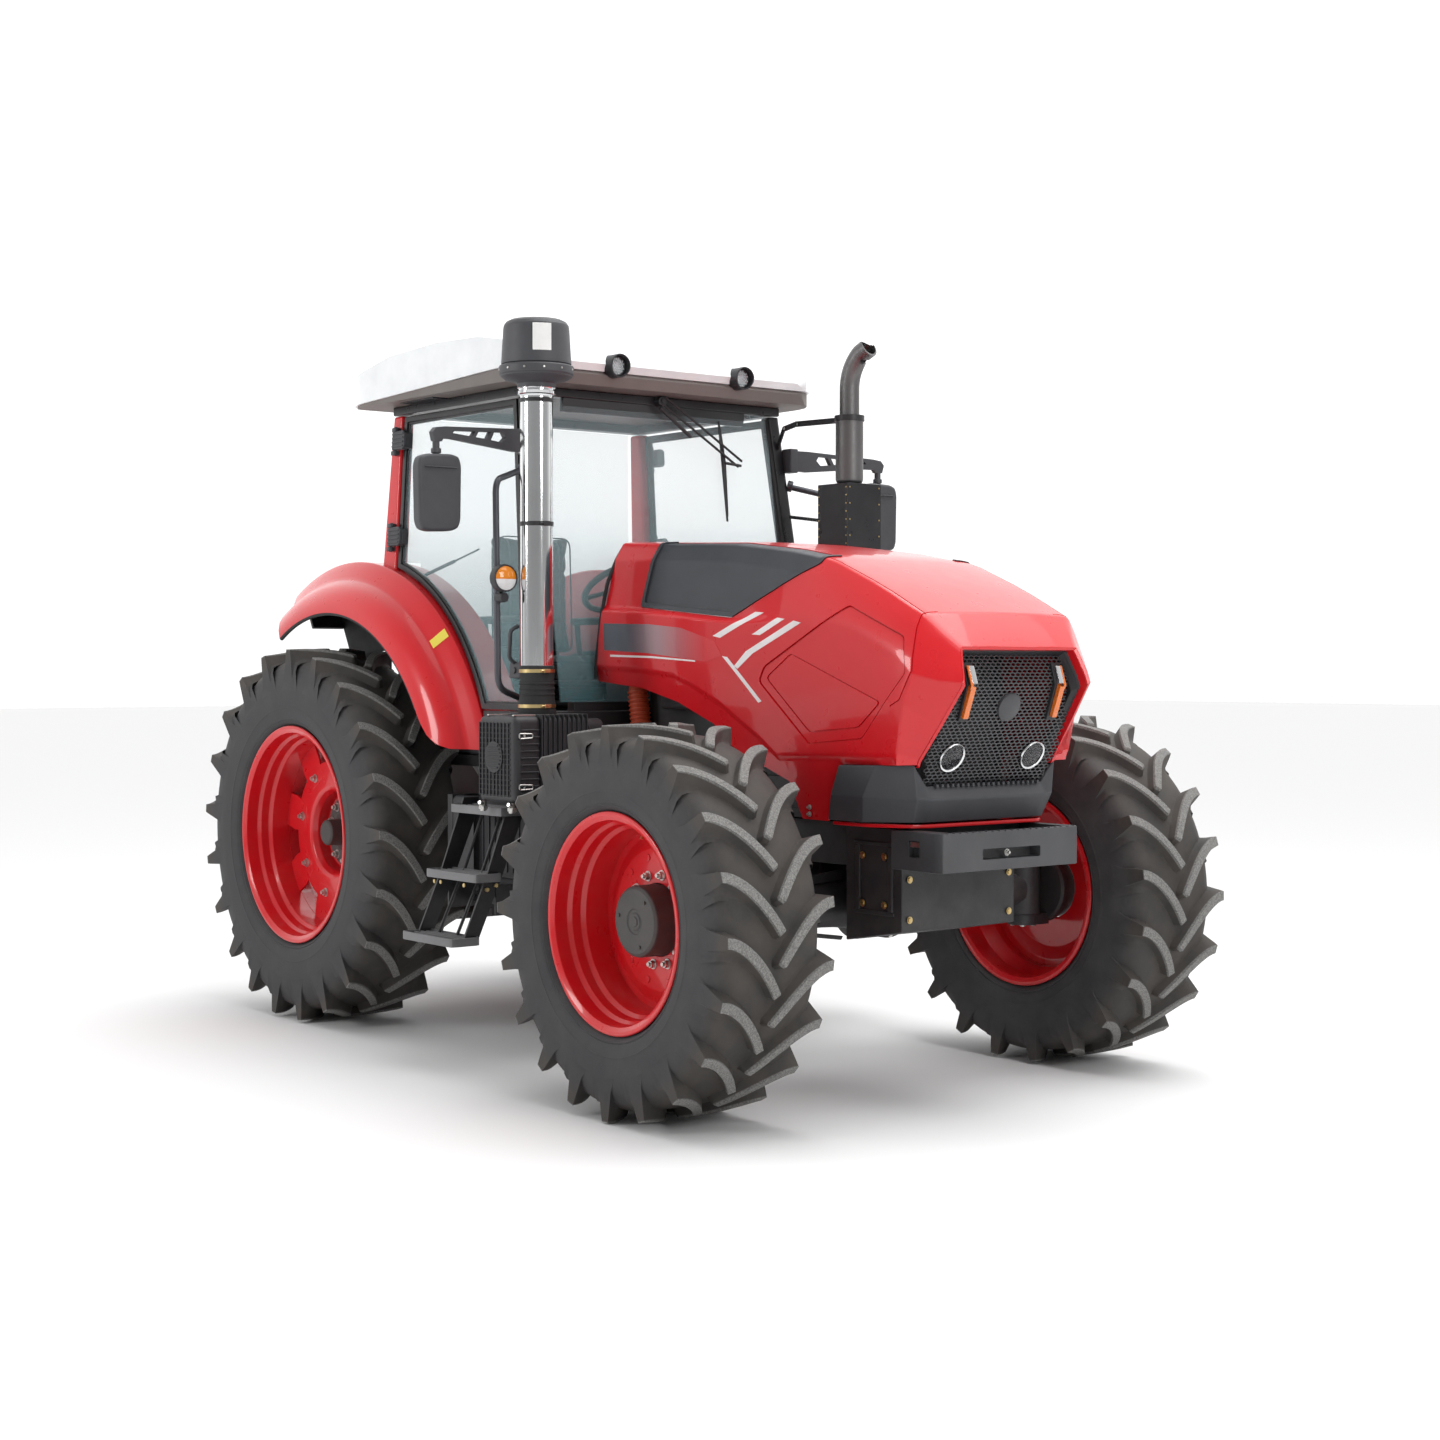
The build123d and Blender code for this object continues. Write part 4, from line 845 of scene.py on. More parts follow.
def hood_surface():
    """The hood's outer skin as one sheet, from its rear edge to the rim of the grille's mouth."""
    rear = -1.229
    stations = [rear, -0.933, -0.687, -0.58, -0.45, -0.387, -0.342, -0.25, -0.149, -0.03, 0.014, 0.096, 0.165, 0.235,
                0.322, 0.42, 0.52, 0.61]
    rows = []
    for x in stations:
        row = []
        for y, z in hood_section(x):
            back = (z - 1.655) * 0.1845
            ease = max(0.0, (-0.93 - x) / (-0.93 - rear))
            row.append((x + back * ease, y, z))
        rows.append(row)
    seam = [(0.706, 0, 1.848), (0.705, 0.20, 1.846), (0.702, 0.34, 1.840), (0.700, 0.378, 1.835),
            (0.702, 0.408, 1.785), (0.708, 0.437, 1.69), (0.712, 0.450, 1.625), (0.676, 0.455, 1.52),
            (0.640, 0.452, 1.330), (0.632, 0.448, 1.310), (0.630, 0.446, 1.292)]
    brow = [(0.772, 0, 1.778), (0.771, 0.19, 1.776), (0.765, 0.31, 1.770), (0.760, 0.334, 1.765),
            (0.772, 0.352, 1.732), (0.790, 0.376, 1.655), (0.790, 0.386, 1.597), (0.715, 0.402, 1.47),
            (0.648, 0.408, 1.325), (0.640, 0.404, 1.308), (0.638, 0.402, 1.292)]
    mouth = [(0.814, 0, 1.722), (0.814, 0.17, 1.722), (0.812, 0.28, 1.722), (0.811, 0.302, 1.720),
             (0.822, 0.312, 1.690), (0.846, 0.327, 1.626), (0.855, 0.332, 1.590), (0.756, 0.345, 1.450),
             (0.655, 0.359, 1.312), (0.650, 0.359, 1.304), (0.648, 0.359, 1.292)]
    rows += [seam, brow, mouth]
    points, faces, n = [], [], 21
    for row in rows:
        points += [(x, -y, z) for x, y, z in reversed(row)] + row[1:]
    for i in range(len(rows) - 1):
        for j in range(n - 1):
            a = i * n + j
            faces.append((a, a + 1, a + n + 1, a + n))
    return mesh_of("skin", points, faces)


def layer(surface, low, high):
    """The solid between two depths outside the sheet: low and high count outward."""
    obj = copied(surface, Matrix.Identity(4))
    if high:
        modify(obj, "DISPLACE", strength=high, mid_level=0.0)
    return modify(obj, "SOLIDIFY", thickness=high - low, offset=-1, use_even_offset=True)


def hood_skin():
    """The sheet, facing outward, with its long edges rounded."""
    skin = edit(hood_surface(), lambda: bpy.ops.mesh.normals_make_consistent(inside=False))
    if sum(p.normal.z for p in skin.data.polygons if p.center.z > 1.9) < 0:
        skin.data.flip_normals()
    return bevelled(skin, 0.012, 2, 16)


MOUTH = [(0.814, 0.0, 1.722), (0.812, 0.28, 1.722), (0.811, 0.302, 1.720), (0.822, 0.312, 1.690),
         (0.846, 0.327, 1.626), (0.855, 0.332, 1.590), (0.756, 0.345, 1.450), (0.655, 0.359, 1.312),
         (0.648, 0.359, 1.292)]


def mouth_return():
    """The red wall that turns back from the edge of the grille's mouth."""
    rings = [[(x - 0.001, y - 0.001, z) for x, y, z in MOUTH], [(x - 0.004, y - 0.012, z - 0.010) for x, y, z in MOUTH],
             [(x - 0.060, y - 0.018, z - 0.014) for x, y, z in MOUTH]]
    points, faces, n = [], [], 2 * len(MOUTH) - 1
    for ring in rings:
        points += [(x, -max(0, y), z) for x, y, z in reversed(ring)] + [(x, y, z) for x, y, z in ring[1:]]
    for i in range(2):
        faces += [(i * n + j, i * n + j + 1, (i + 1) * n + j + 1, (i + 1) * n + j) for j in range(n - 1)]
    wall = mesh_of("return", points, faces)
    modify(wall, "SOLIDIFY", thickness=0.008, offset=0)
    return bevelled(outward(wall), 0.002, 2, 25)


INSERT = [(-0.840, 2.30), (-0.928, 1.897), (-0.325, 1.843), (0.155, 2.040), (0.30, 2.30)]
HEXAGON = [(0.360, 1.874), (0.650, 1.758), (0.683, 1.628), (0.455, 1.384), (0.160, 1.358), (-0.134, 1.592),
           (-0.104, 1.648)]
PANEL_A = [(0.126, 1.736), (0.356, 1.832), (0.606, 1.730), (0.636, 1.604), (0.600, 1.588)]
PANEL_B = [(-0.092, 1.606), (0.052, 1.698), (0.556, 1.520), (0.434, 1.424), (0.162, 1.402)]


def chamfered(outline, amount):
    """The outline with each corner cut off at amount from its tip."""
    result = []
    for i, p in enumerate(outline):
        p, before, after = Vector(p), Vector(outline[i - 1]), Vector(outline[(i + 1) % len(outline)])
        start = p + (before - p).normalized() * amount
        end = p + (after - p).normalized() * amount
        result += [tuple(start), tuple(start * 0.25 + end * 0.25 + p * 0.5), tuple(end)]
    return result


def grown(outline, amount):
    """The outline pushed out (or in) by amount along its corners' normals."""
    turn = sum(x0 * y1 - x1 * y0 for (x0, y0), (x1, y1) in zip(outline, outline[1:] + outline[:1]))
    sign = 1 if turn > 0 else -1
    result = []
    for i, (x, y) in enumerate(outline):
        (xa, ya), (xb, yb) = outline[i - 1], outline[(i + 1) % len(outline)]
        a, b = Vector((x - xa, y - ya)).normalized(), Vector((xb - x, yb - y)).normalized()
        na, nb = Vector((a.y, -a.x)) * sign, Vector((b.y, -b.x)) * sign
        n = (na + nb).normalized()
        result.append((x + n.x * amount / max(0.4, n.dot(na)), y + n.y * amount / max(0.4, n.dot(na))))
    return result


def side_cut(outline, inner=0.30):
    """A prism through each side of the hood, from inner outwards."""
    right = prism(outline, "xz", (inner - 0.90, -inner), 0)
    return joined([right, mirrored(right)])


def strip(points, width, plane="xz"):
    """The outline of a band along a run of points."""
    points = [Vector(p) for p in points]
    left, right = [], []
    for i, p in enumerate(points):
        a = (p - points[i - 1]).normalized() if i else (points[1] - p).normalized()
        b = (points[i + 1] - p).normalized() if i < len(points) - 1 else a
        n = Vector((-(a + b).y, (a + b).x)).normalized()
        reach = width / 2 / max(0.5, n.dot(Vector((-a.y, a.x))))
        left.append(tuple(p + n * reach))
        right.append(tuple(p - n * reach))
    return left + right[::-1]


def within(shape, cutter, keep=False):
    return carve(shape, cutter, keep=keep, mode="INTERSECT")


def decals(skin):
    """Plain stripes: a grey fade, white slashes ahead of it and thin lines under them."""
    def decal(outlines, name, finish, depth):
        plates = [within(layer(skin, 0.0002, depth), side_cut(outline)) for outline in outlines]
        settle(joined(plates), name, "hood", FINISH[finish])

    decal([[(-1.169, 1.831), (-0.851, 1.823), (-0.633, 1.805), (-0.412, 1.750), (-0.366, 1.695), (-0.460, 1.668),
            (-0.852, 1.704), (-1.164, 1.718)]], "hood_fade_stripe", "fade", 0.0008)
    slashes = [[(-0.178, 1.861), (-0.124, 1.857), (-0.375, 1.762), (-0.422, 1.770)],
               [(-0.112, 1.853), (-0.063, 1.847), (-0.272, 1.761), (-0.314, 1.771)],
               [(-0.031, 1.836), (0.014, 1.830), (-0.129, 1.770), (-0.178, 1.773)],
               [(0.068, 1.823), (0.111, 1.814), (-0.173, 1.699), (-0.264, 1.640), (-0.285, 1.651), (-0.214, 1.708)],
               [(-0.361, 1.690), (-0.329, 1.686), (-0.264, 1.634), (-0.118, 1.515), (-0.137, 1.509), (-0.282, 1.628)],
               [(-1.121, 1.699), (-0.831, 1.692), (-0.536, 1.674), (-0.536, 1.668), (-0.831, 1.684), (-1.121, 1.690)]]
    decal(slashes, "hood_slashes", "decal", 0.0011)


def hood():
    """Red hood with its recessed side panels, seams, charcoal inserts and the mouth's red return."""
    skin = hood_skin()
    shell = layer(skin, -0.014, 0.0)
    groove = carve(side_cut(chamfered(grown(HEXAGON, 0.003), 0.016)),
                   side_cut(chamfered(grown(HEXAGON, -0.003), 0.014), 0.29))
    carve(shell, within(layer(skin, -0.004, 0.004), side_cut(chamfered(HEXAGON, 0.016))))
    carve(shell, within(layer(skin, -0.009, 0.004), groove))
    for outline in (PANEL_A, PANEL_B):
        groove = carve(side_cut(chamfered(grown(outline, 0.003), 0.020)),
                       side_cut(chamfered(grown(outline, -0.003), 0.018), 0.29))
        carve(shell, within(layer(skin, -0.0095, 0.004), groove))
    nose_seam = strip([(0.690, 1.90), (0.694, 1.815), (0.712, 1.633), (0.655, 1.528), (0.610, 1.505)], 0.005)
    carve(shell, within(layer(skin, -0.005, 0.004), side_cut(nose_seam)))
    top_seam = both(prism([(0.17, 0.363), (0.70, 0.3615), (0.70, 0.3665), (0.17, 0.368)], "xy", (1.7, 2.3), 0))
    carve(shell, within(layer(skin, -0.005, 0.004), top_seam))
    carve(shell, side_cut(chamfered(grown(INSERT, 0.0025), 0.012)))
    bevelled(shell, 0.0014, 2, 40)
    shell = joined([shell, mouth_return()])
    settle(shell, "hood_skin", "hood", FINISH["red"], "hood_shell", angle=28, slot="red_paint")
    plate = within(layer(skin, -0.012, -0.003), side_cut(chamfered(INSERT, 0.012)))
    ring = carve(side_cut(chamfered(INSERT, 0.012)), side_cut(chamfered(grown(INSERT, -0.018), 0.012), 0.29))
    rim = within(layer(skin, -0.012, 0.0045), ring)
    cover = bevelled(joined([plate, rim]), 0.002, 2, 40)
    settle(cover, "hood_insert", "hood", FINISH["charcoal"], angle=28, slot="charcoal_plastic")
    decals(skin)
    bpy.data.objects.remove(skin)
    hinge = [bevelled(spun([(0.011, 0.262), (0.019, 0.262), (0.019, 0.300), (0.011, 0.300)], (-1.150, 0, 2.090), steps=32),
                      0.0015), block((-1.134, -1.088), (0.264, 0.298), (2.078, 2.160), 0.003)]
    settle(both(*hinge), "hood_hinge_arms", "hood", FINISH["black"], slot="black_steel")
    seal = bar([(-1.2345, 0.452, 1.600), (-1.2300, 0.455, 1.655), (-1.1880, 0.452, 1.885), (-1.166, 0.44, 2.0),
                (-1.150, 0.405, 2.098), (-1.1385, 0.370, 2.160), (-1.137, 0.20, 2.168), (-1.137, 0.0, 2.170)], 0.008, 0.02, 12)
    settle(both(seal), "hood_edge_seal", "hood", FINISH["seal"], slot="black_plastic")


hood()


# ---- nose ---------------------------------------------------------------------------------------
MESH_LINE = [(0.748, 1.712), (0.782, 1.595), (0.738, 1.450), (0.652, 1.285), (0.622, 1.214)]
MESH_HALF = [(1.214, 0.298), (1.30, 0.332), (1.45, 0.322), (1.59, 0.303), (1.712, 0.272)]


def on_mesh(y, z, proud=0.0):
    """A point on the bent mesh panel at height z, pushed out of it by proud."""
    for (x0, z0), (x1, z1) in zip(MESH_LINE, MESH_LINE[1:]):
        if z >= z1 or (x1, z1) == MESH_LINE[-1]:
            share = (z0 - z) / (z0 - z1)
            run = Vector((x1 - x0, z1 - z0)).normalized()
            return (x0 + (x1 - x0) * share - run.y * proud, y, z + run.x * proud)


def honeycomb():
    """A mesh panel of flattened hexagonal openings."""
    wide, high = 0.0260, 0.0165
    points, faces = [], []
    rows = int((1.712 - 1.214) / (high * 0.75)) + 1
    for r in range(rows):
        z = 1.222 + r * high * 0.75
        half = along(z, MESH_HALF)
        for c in range(-14, 15):
            y = (c + 0.5 * (r % 2)) * wide
            if abs(y) > half - 0.002 or z > 1.70:
                continue
            corners = [(0, high / 2), (-wide / 2, high / 4), (-wide / 2, -high / 4), (0, -high / 2),
                       (wide / 2, -high / 4), (wide / 2, high / 4)]
            start = len(points)
            points += [on_mesh(y + dy, z + dz) for dy, dz in corners]
            faces.append(range(start, start + 6))
    net = outward(mesh_of("net", points, faces), 0.0008)

    def open_cells():
        bpy.ops.mesh.inset(thickness=0.0026, use_individual=True)
        bpy.ops.mesh.delete(type="ONLY_FACE")
    edit(net, open_cells)
    return modify(net, "SOLIDIFY", thickness=0.004, offset=0)


def turned(obj, place, tilt, axis="Y"):
    obj.data.transform(Matrix.Translation(place) @ Matrix.Rotation(tilt, 4, axis))
    return obj


def frame_ring(outer, inner, depth, bevel=0.003):
    """A flat-sided frame between two closed runs of points, pushed back by depth."""
    n = len(outer)
    points = list(outer) + list(inner)
    points += [(x - depth, y, z) for x, y, z in outer] + [(x - depth, y, z) for x, y, z in inner]
    faces = []
    for i in range(n):
        j = (i + 1) % n
        faces += [(i, j, n + j, n + i), (2 * n + j, 2 * n + i, 3 * n + i, 3 * n + j),
                  (j, i, 2 * n + i, 2 * n + j), (n + i, n + j, 3 * n + j, 3 * n + i)]
    return bevelled(outward(mesh_of("frame", points, faces)), bevel, 2, 20)


def mouth_run(x_back, y_in, z_in, foot):
    """The mouth's outline set back and drawn in, closed along its foot."""
    right = [(x - x_back, y - y_in, z - z_in) for x, y, z in MOUTH[1:-1]] + [foot]
    return [(x, -y, z) for x, y, z in reversed(right)] + right


def bezel():
    """Black bevelled surround between the hood's red return and the mesh."""
    outer = mouth_run(0.032, 0.016, 0.013, (0.632, 0.316, 1.214))
    middle_run = mouth_run(0.040, 0.026, 0.022, (0.634, 0.304, 1.214))
    inner = mouth_run(0.062, 0.040, 0.034, (0.620, 0.290, 1.214))
    front = frame_ring(outer, middle_run, 0.02, 0.0025)
    slope = frame_ring(middle_run, inner, 0.018, 0.0025)
    return joined([front, slope])


def running_lamps():
    """The bent lamp strips at each side of the mesh: clear above the bend, amber below."""
    upper = prism(strip([(0.778, 1.648), (0.800, 1.582)], 0.026), "xz", (0.212, 0.238), 0.003)
    lower = prism(strip([(0.799, 1.578), (0.756, 1.462)], 0.024), "xz", (0.218, 0.244), 0.003)
    edge = prism(strip([(0.786, 1.652), (0.810, 1.580), (0.804, 1.566)], 0.006), "xz", (0.236, 0.247), 0.002)
    seat = prism(strip([(0.764, 1.660), (0.784, 1.582), (0.740, 1.452)], 0.020), "xz", (0.206, 0.250), 0.003)
    settle(both(upper), "running_lamp_clear", "hood", FINISH["silver"], slot="lamp_lens")
    settle(both(joined([lower, edge])), "running_lamp_amber", "hood", FINISH["amber_light"], slot="amber_lens")
    settle(both(seat), "running_lamp_seat", "hood", FINISH["plastic"], slot="black_plastic")


def round_lamps():
    """Bowl, bulb, ring and lens of the two round lamps low in the mesh."""
    place, tilt = Vector(on_mesh(0.209, 1.318, 0.004)), radians(28)
    ring = bevelled(spun([(0.050, 0.004), (0.057, 0.007), (0.060, 0.002), (0.057, -0.006), (0.050, -0.004)],
                         (0, 0, 0), axis="x", steps=48), 0.001, 2, 30)
    bowl = spun([(0.050, 0.0), (0.044, -0.016), (0.030, -0.030), (0.012, -0.038), (0.012, -0.041), (0.034, -0.034),
                 (0.050, -0.016), (0.053, 0.0)], (0, 0, 0), axis="x", steps=40)
    bulb = spun([(0, -0.014), (0.006, -0.016), (0.008, -0.022), (0.007, -0.038), (0, -0.040)], (0, 0, 0), axis="x", steps=20)
    glass = spun([(0, 0.007), (0.028, 0.005), (0.050, 0.001), (0.050, -0.001), (0.028, 0.003), (0, 0.005)],
                 (0, 0, 0), axis="x", steps=40)
    for piece in (ring, bowl, bulb, glass):
        turned(piece, place, tilt)
    settle(both(joined([ring, bulb])), "round_lamps", "hood", FINISH["silver"], "headlamps", slot="chrome")
    settle(both(bowl), "round_lamp_bowls", "hood", FINISH["gloss_black"], slot="black_plastic")
    settle(both(glass), "round_lamp_glass", "hood", FINISH["dark_lens"], slot="lamp_lens")


def chin():
    """Black moulding under the hood's sides and across the foot of the mouth."""
    half = [[(0.324, 0.452, 1.284), (0.52, 0.450, 1.289), (0.640, 0.366, 1.291), (0.634, 0.322, 1.240), (0.632, 0.300, 1.214)],
            [(0.290, 0.461, 1.176), (0.46, 0.456, 1.174), (0.642, 0.352, 1.170), (0.656, 0.318, 1.168), (0.660, 0.285, 1.167)],
            [(0.287, 0.460, 1.166), (0.46, 0.454, 1.163), (0.640, 0.350, 1.160), (0.654, 0.314, 1.158), (0.658, 0.282, 1.157)],
            [(0.249, 0.438, 1.076), (0.43, 0.430, 1.076), (0.605, 0.334, 1.078), (0.620, 0.300, 1.078), (0.624, 0.275, 1.078)]]
    rings = [[(x, -y, z) for x, y, z in ring] + [(x, y, z) for x, y, z in reversed(ring)] for ring in half]
    n = len(rings[0])
    faces = [(i * n + j, i * n + j + 1, (i + 1) * n + j + 1, (i + 1) * n + j) for i in range(3) for j in range(n - 1)]
    shell = outward(mesh_of("chin", [p for ring in rings for p in ring], faces))
    centre = sum((p.normal.x for p in shell.data.polygons if p.center.x > 0.6), 0.0)
    if centre < 0:
        shell.data.flip_normals()
    modify(shell, "SOLIDIFY", thickness=0.010, offset=-1, use_even_offset=True)
    bevelled(shell, 0.004, 3, 25)
    floor = prism([(0.30, -0.43), (0.44, -0.42), (0.60, -0.325), (0.615, -0.28), (0.615, 0.28), (0.60, 0.325),
                   (0.44, 0.42), (0.30, 0.43)], "xy", (1.080, 1.088), 0.002)
    teeth = [block((0.628, 0.650), (-0.262 + 0.0262 * i, -0.250 + 0.0262 * i), (1.206, 1.219), 0.002, 1)
             for i in range(21)]
    settle(joined([shell, floor] + teeth), "hood_chin", "hood", FINISH["grey_plastic"], "hood_chin",
           slot="charcoal_plastic")
    lip = prism([(0.26, -0.425), (0.44, -0.418), (0.60, -0.335), (0.628, -0.28), (0.628, 0.28), (0.60, 0.335),
                 (0.44, 0.418), (0.26, 0.425)], "xy", (1.058, 1.072), 0.004)
    carve(lip, prism([(0.20, -0.38), (0.42, -0.38), (0.57, -0.30), (0.57, 0.30), (0.42, 0.38), (0.20, 0.38)],
                     "xy", (1.0, 1.2), 0))
    settle(lip, "hood_lip", "hood", FINISH["red"], slot="red_paint")


def nose():
    emblem_seat = spun([(0, 0.010), (0.040, 0.009), (0.054, 0.004), (0.056, -0.006), (0, -0.006)], (0, 0, 0),
                       axis="x", steps=40)
    turned(emblem_seat, on_mesh(0.0, 1.500, 0.004), radians(20))
    settle(joined([honeycomb(), emblem_seat]), "grille_mesh", "hood", FINISH["mesh"], "grille", slot="black_plastic")
    settle(bezel(), "grille_bezel", "hood", FINISH["plastic"], slot="black_plastic")
    running_lamps()
    round_lamps()
    chin()
    heads = [moved(nut(0.008, 0.005, (0.143, -0.436, z), -1, 1.3), (0, 0, 0)) for z in (1.092, 1.118)]
    settle(both(*heads), "hood_side_bolts", "hood", FINISH["zinc"])


def weight_carrier():
    """The front bracket: open box with a slotted face and a scalloped top edge."""
    box = prism([(0.50, -0.352), (0.735, -0.360), (0.775, -0.350), (0.775, 0.350), (0.735, 0.360), (0.50, 0.352)],
                "xy", (0.905, 1.050), 0.006)
    pocket = [block((0.60, 0.66), (-0.40, -0.325), (0.955, 1.015), 0), block((0.60, 0.66), (0.325, 0.40), (0.955, 1.015), 0)]
    slot = prism(chamfered([(-0.150, 0.945), (0.150, 0.945), (0.150, 0.985), (-0.150, 0.985)], 0.006), "yz", (0.72, 0.80), 0)
    hollow = block((0.52, 0.752), (-0.30, 0.30), (1.02, 1.08), 0)
    notches = [cylinder((0.745, y, 1.054), (0.80, y, 1.054), 0.0085, 0, 12)
               for y in [-0.33 + 0.0330 * i for i in range(21)]]
    carve(box, joined(pocket + [slot]), hollow, joined(notches))
    bevelled(box, 0.0015, 1, 50)
    bolt = nut(0.010, 0.006, (0, 0, 0), 1)
    turned(bolt, (0.748, 0.0, 0.965), radians(-90), "Z")
    settle(box, "weight_bracket", "chassis", FINISH["bracket"], "weight_bracket", slot="charcoal_plastic")
    tab = block((0.606, 0.654), (-0.352, -0.346), (0.992, 1.012), 0.002)
    settle(joined([bolt, both(tab)]), "bracket_bolts", "chassis", FINISH["zinc"])


nose()
weight_carrier()


# ---- cab shell ----------------------------------------------------------------------------------
SILL_Z, POST_TOP_Z, CAB_Y = 1.460, 2.800, 0.775
HINGE_X, HINGE_Y, HINGE_Z = -2.430, 0.798, (2.640, 2.200)
FENDER_X, FENDER_Z = REAR_X + 0.140, 0.930
LEAN = Matrix.Translation((0, CAB_Y, SILL_Z)) @ Matrix.Rotation(radians(3.3), 4, "X") @ Matrix.Translation(
    (0, -CAB_Y, -SILL_Z))


def leaned(obj):
    obj.data.transform(LEAN)
    return obj


def front_x(z, back=0.0):
    """x of the cab's raked front edge at height z."""
    return -1.215 - 0.190 * (z - SILL_Z) / (POST_TOP_Z - SILL_Z) - back


def side_y(z):
    return CAB_Y - (z - SILL_Z) * sin(radians(3.3))


def roof():
    """White crowned cap with a raised middle panel and rain channels, over a brown-grey soffit."""
    profile = [(-1.262, 2.905), (-1.243, 2.935), (-1.262, 2.968), (-1.33, 3.010), (-1.56, 3.048), (-1.90, 3.060),
               (-2.30, 3.044), (-2.60, 2.990), (-2.715, 2.925), (-2.742, 2.880), (-2.735, 2.858), (-2.700, 2.850)]
    cap = prism(profile, "xz", (-0.835, 0.835), 0)
    plan = chamfered(chamfered([(-2.745, -0.835), (-1.240, -0.835), (-1.240, 0.835), (-2.745, 0.835)], 0.16), 0.05)
    within(cap, prism(plan, "xy", (2.80, 3.10), 0))
    bevelled(cap, 0.030, 4, 40)
    channel = both(prism([(-2.55, 0.56), (-1.42, 0.60), (-1.42, 0.635), (-2.55, 0.595)], "xy", (2.9, 3.2), 0))
    inner = prism([(-1.42, 2.93), (-1.50, 3.028), (-1.90, 3.046), (-2.30, 3.030), (-2.55, 2.99), (-2.6, 2.9)], "xz",
                  (-0.9, 0.9), 0)
    carve(channel, inner)
    carve(cap, channel)
    panel = prism(chamfered([(-2.46, -0.50), (-1.52, -0.52), (-1.52, 0.52), (-2.46, 0.50)], 0.08), "xy",
                  (2.95, 3.062), 0.006, 2)
    lifted = prism([(-1.50, 2.95), (-1.52, 3.046), (-1.90, 3.0620), (-2.30, 3.050), (-2.47, 3.028), (-2.5, 2.95)], "xz",
                   (-0.9, 0.9), 0)
    within(panel, lifted)
    for y in (-0.34, 0.34):
        carve(cap, cylinder((-1.300, y, 2.930), (-1.15, y, 2.930), 0.0515, 0, 48))
    settle(joined([cap, panel]), "roof_cap", "chassis", FINISH["white"], "roof", slot="white_roof")
    liner = prism([(-1.272, 2.903), (-1.262, 2.890), (-1.285, 2.846), (-1.330, 2.841), (-2.640, 2.841), (-2.705, 2.846),
                   (-2.722, 2.852), (-2.60, 2.862), (-2.30, 2.872), (-2.12, 2.893), (-1.98, 2.893), (-1.80, 2.882)],
                  "xz", (-0.826, 0.826), 0)
    within(liner, prism(chamfered(chamfered([(-2.73, -0.826), (-1.255, -0.826), (-1.255, 0.826), (-2.73, 0.826)], 0.15),
                                  0.05), "xy", (2.80, 2.92), 0))
    bevelled(liner, 0.012, 3, 35)
    vents = []
    for y in (-0.735, 0.735):
        vents += [block((-2.30, -2.02), (y - 0.045, y + 0.045), (2.8365, 2.846), 0.002)]
        vents += [block((-2.285 + 0.036 * i, -2.270 + 0.036 * i), (y - 0.040, y + 0.040), (2.8350, 2.838), 0.001, 1)
                  for i in range(8)]
    settle(liner, "roof_soffit", "chassis", FINISH["lining"], "roof_liner", slot="roof_trim")
    settle(joined(vents), "roof_vents", "chassis", FINISH["plastic"], slot="black_plastic")


def work_lamps():
    """Two round lamps in the roof's brow: hooded tubes with a facetted lens deep inside."""
    shells, lenses, bowls = [], [], []
    for y in (-0.34, 0.34):
        shell = spun([(0.0445, -0.040), (0.050, -0.040), (0.0505, 0.030), (0.048, 0.036), (0.0445, 0.033)], (0, 0, 0),
                     axis="x", steps=56)
        carve(shell, prism([(0.018, -0.06), (0.05, 0.06), (0.08, 0.06), (0.08, -0.06)], "xz", (-0.1, 0.1), 0))
        rim = spun([(0.036, -0.006), (0.0445, -0.006), (0.0445, 0.002), (0.040, 0.004), (0.036, 0.001)], (0, 0, 0),
                   axis="x", steps=48)
        bowl = spun([(0.043, -0.004), (0.034, -0.022), (0.016, -0.033), (0, -0.036), (0, -0.039), (0.018, -0.036),
                     (0.037, -0.023), (0.044, -0.005)], (0, 0, 0), axis="x", steps=36)
        glass = spun([(0, 0.006), (0.022, 0.004), (0.040, -0.001), (0.040, -0.004), (0.022, 0.001), (0, 0.003)],
                     (0, 0, 0), axis="x", steps=36)
        facets = [cylinder((0.000, 0.012 * i + 0.006 * (k % 2), 0.0105 * k), (0.0075, 0.012 * i + 0.006 * (k % 2), 0.0105 * k),
                           0.0052, 0.0015, 6) for k in range(-3, 4) for i in range(-3, 4)
                  if hypot(0.012 * i + 0.006 * (k % 2), 0.0105 * k) < 0.036]
        for piece, group in ((joined([shell, rim]), shells), (bowl, bowls), (joined([glass] + facets), lenses)):
            group.append(moved(piece, (-1.236, y, 2.930)))
    settle(joined(shells), "work_lamp_shells", "chassis", FINISH["plastic"], "work_lamps", slot="black_plastic")
    settle(joined(bowls), "work_lamp_bowls", "chassis", FINISH["silver"], slot="chrome")
    settle(joined(lenses), "work_lamp_glass", "chassis", FINISH["lens"], slot="lamp_lens")


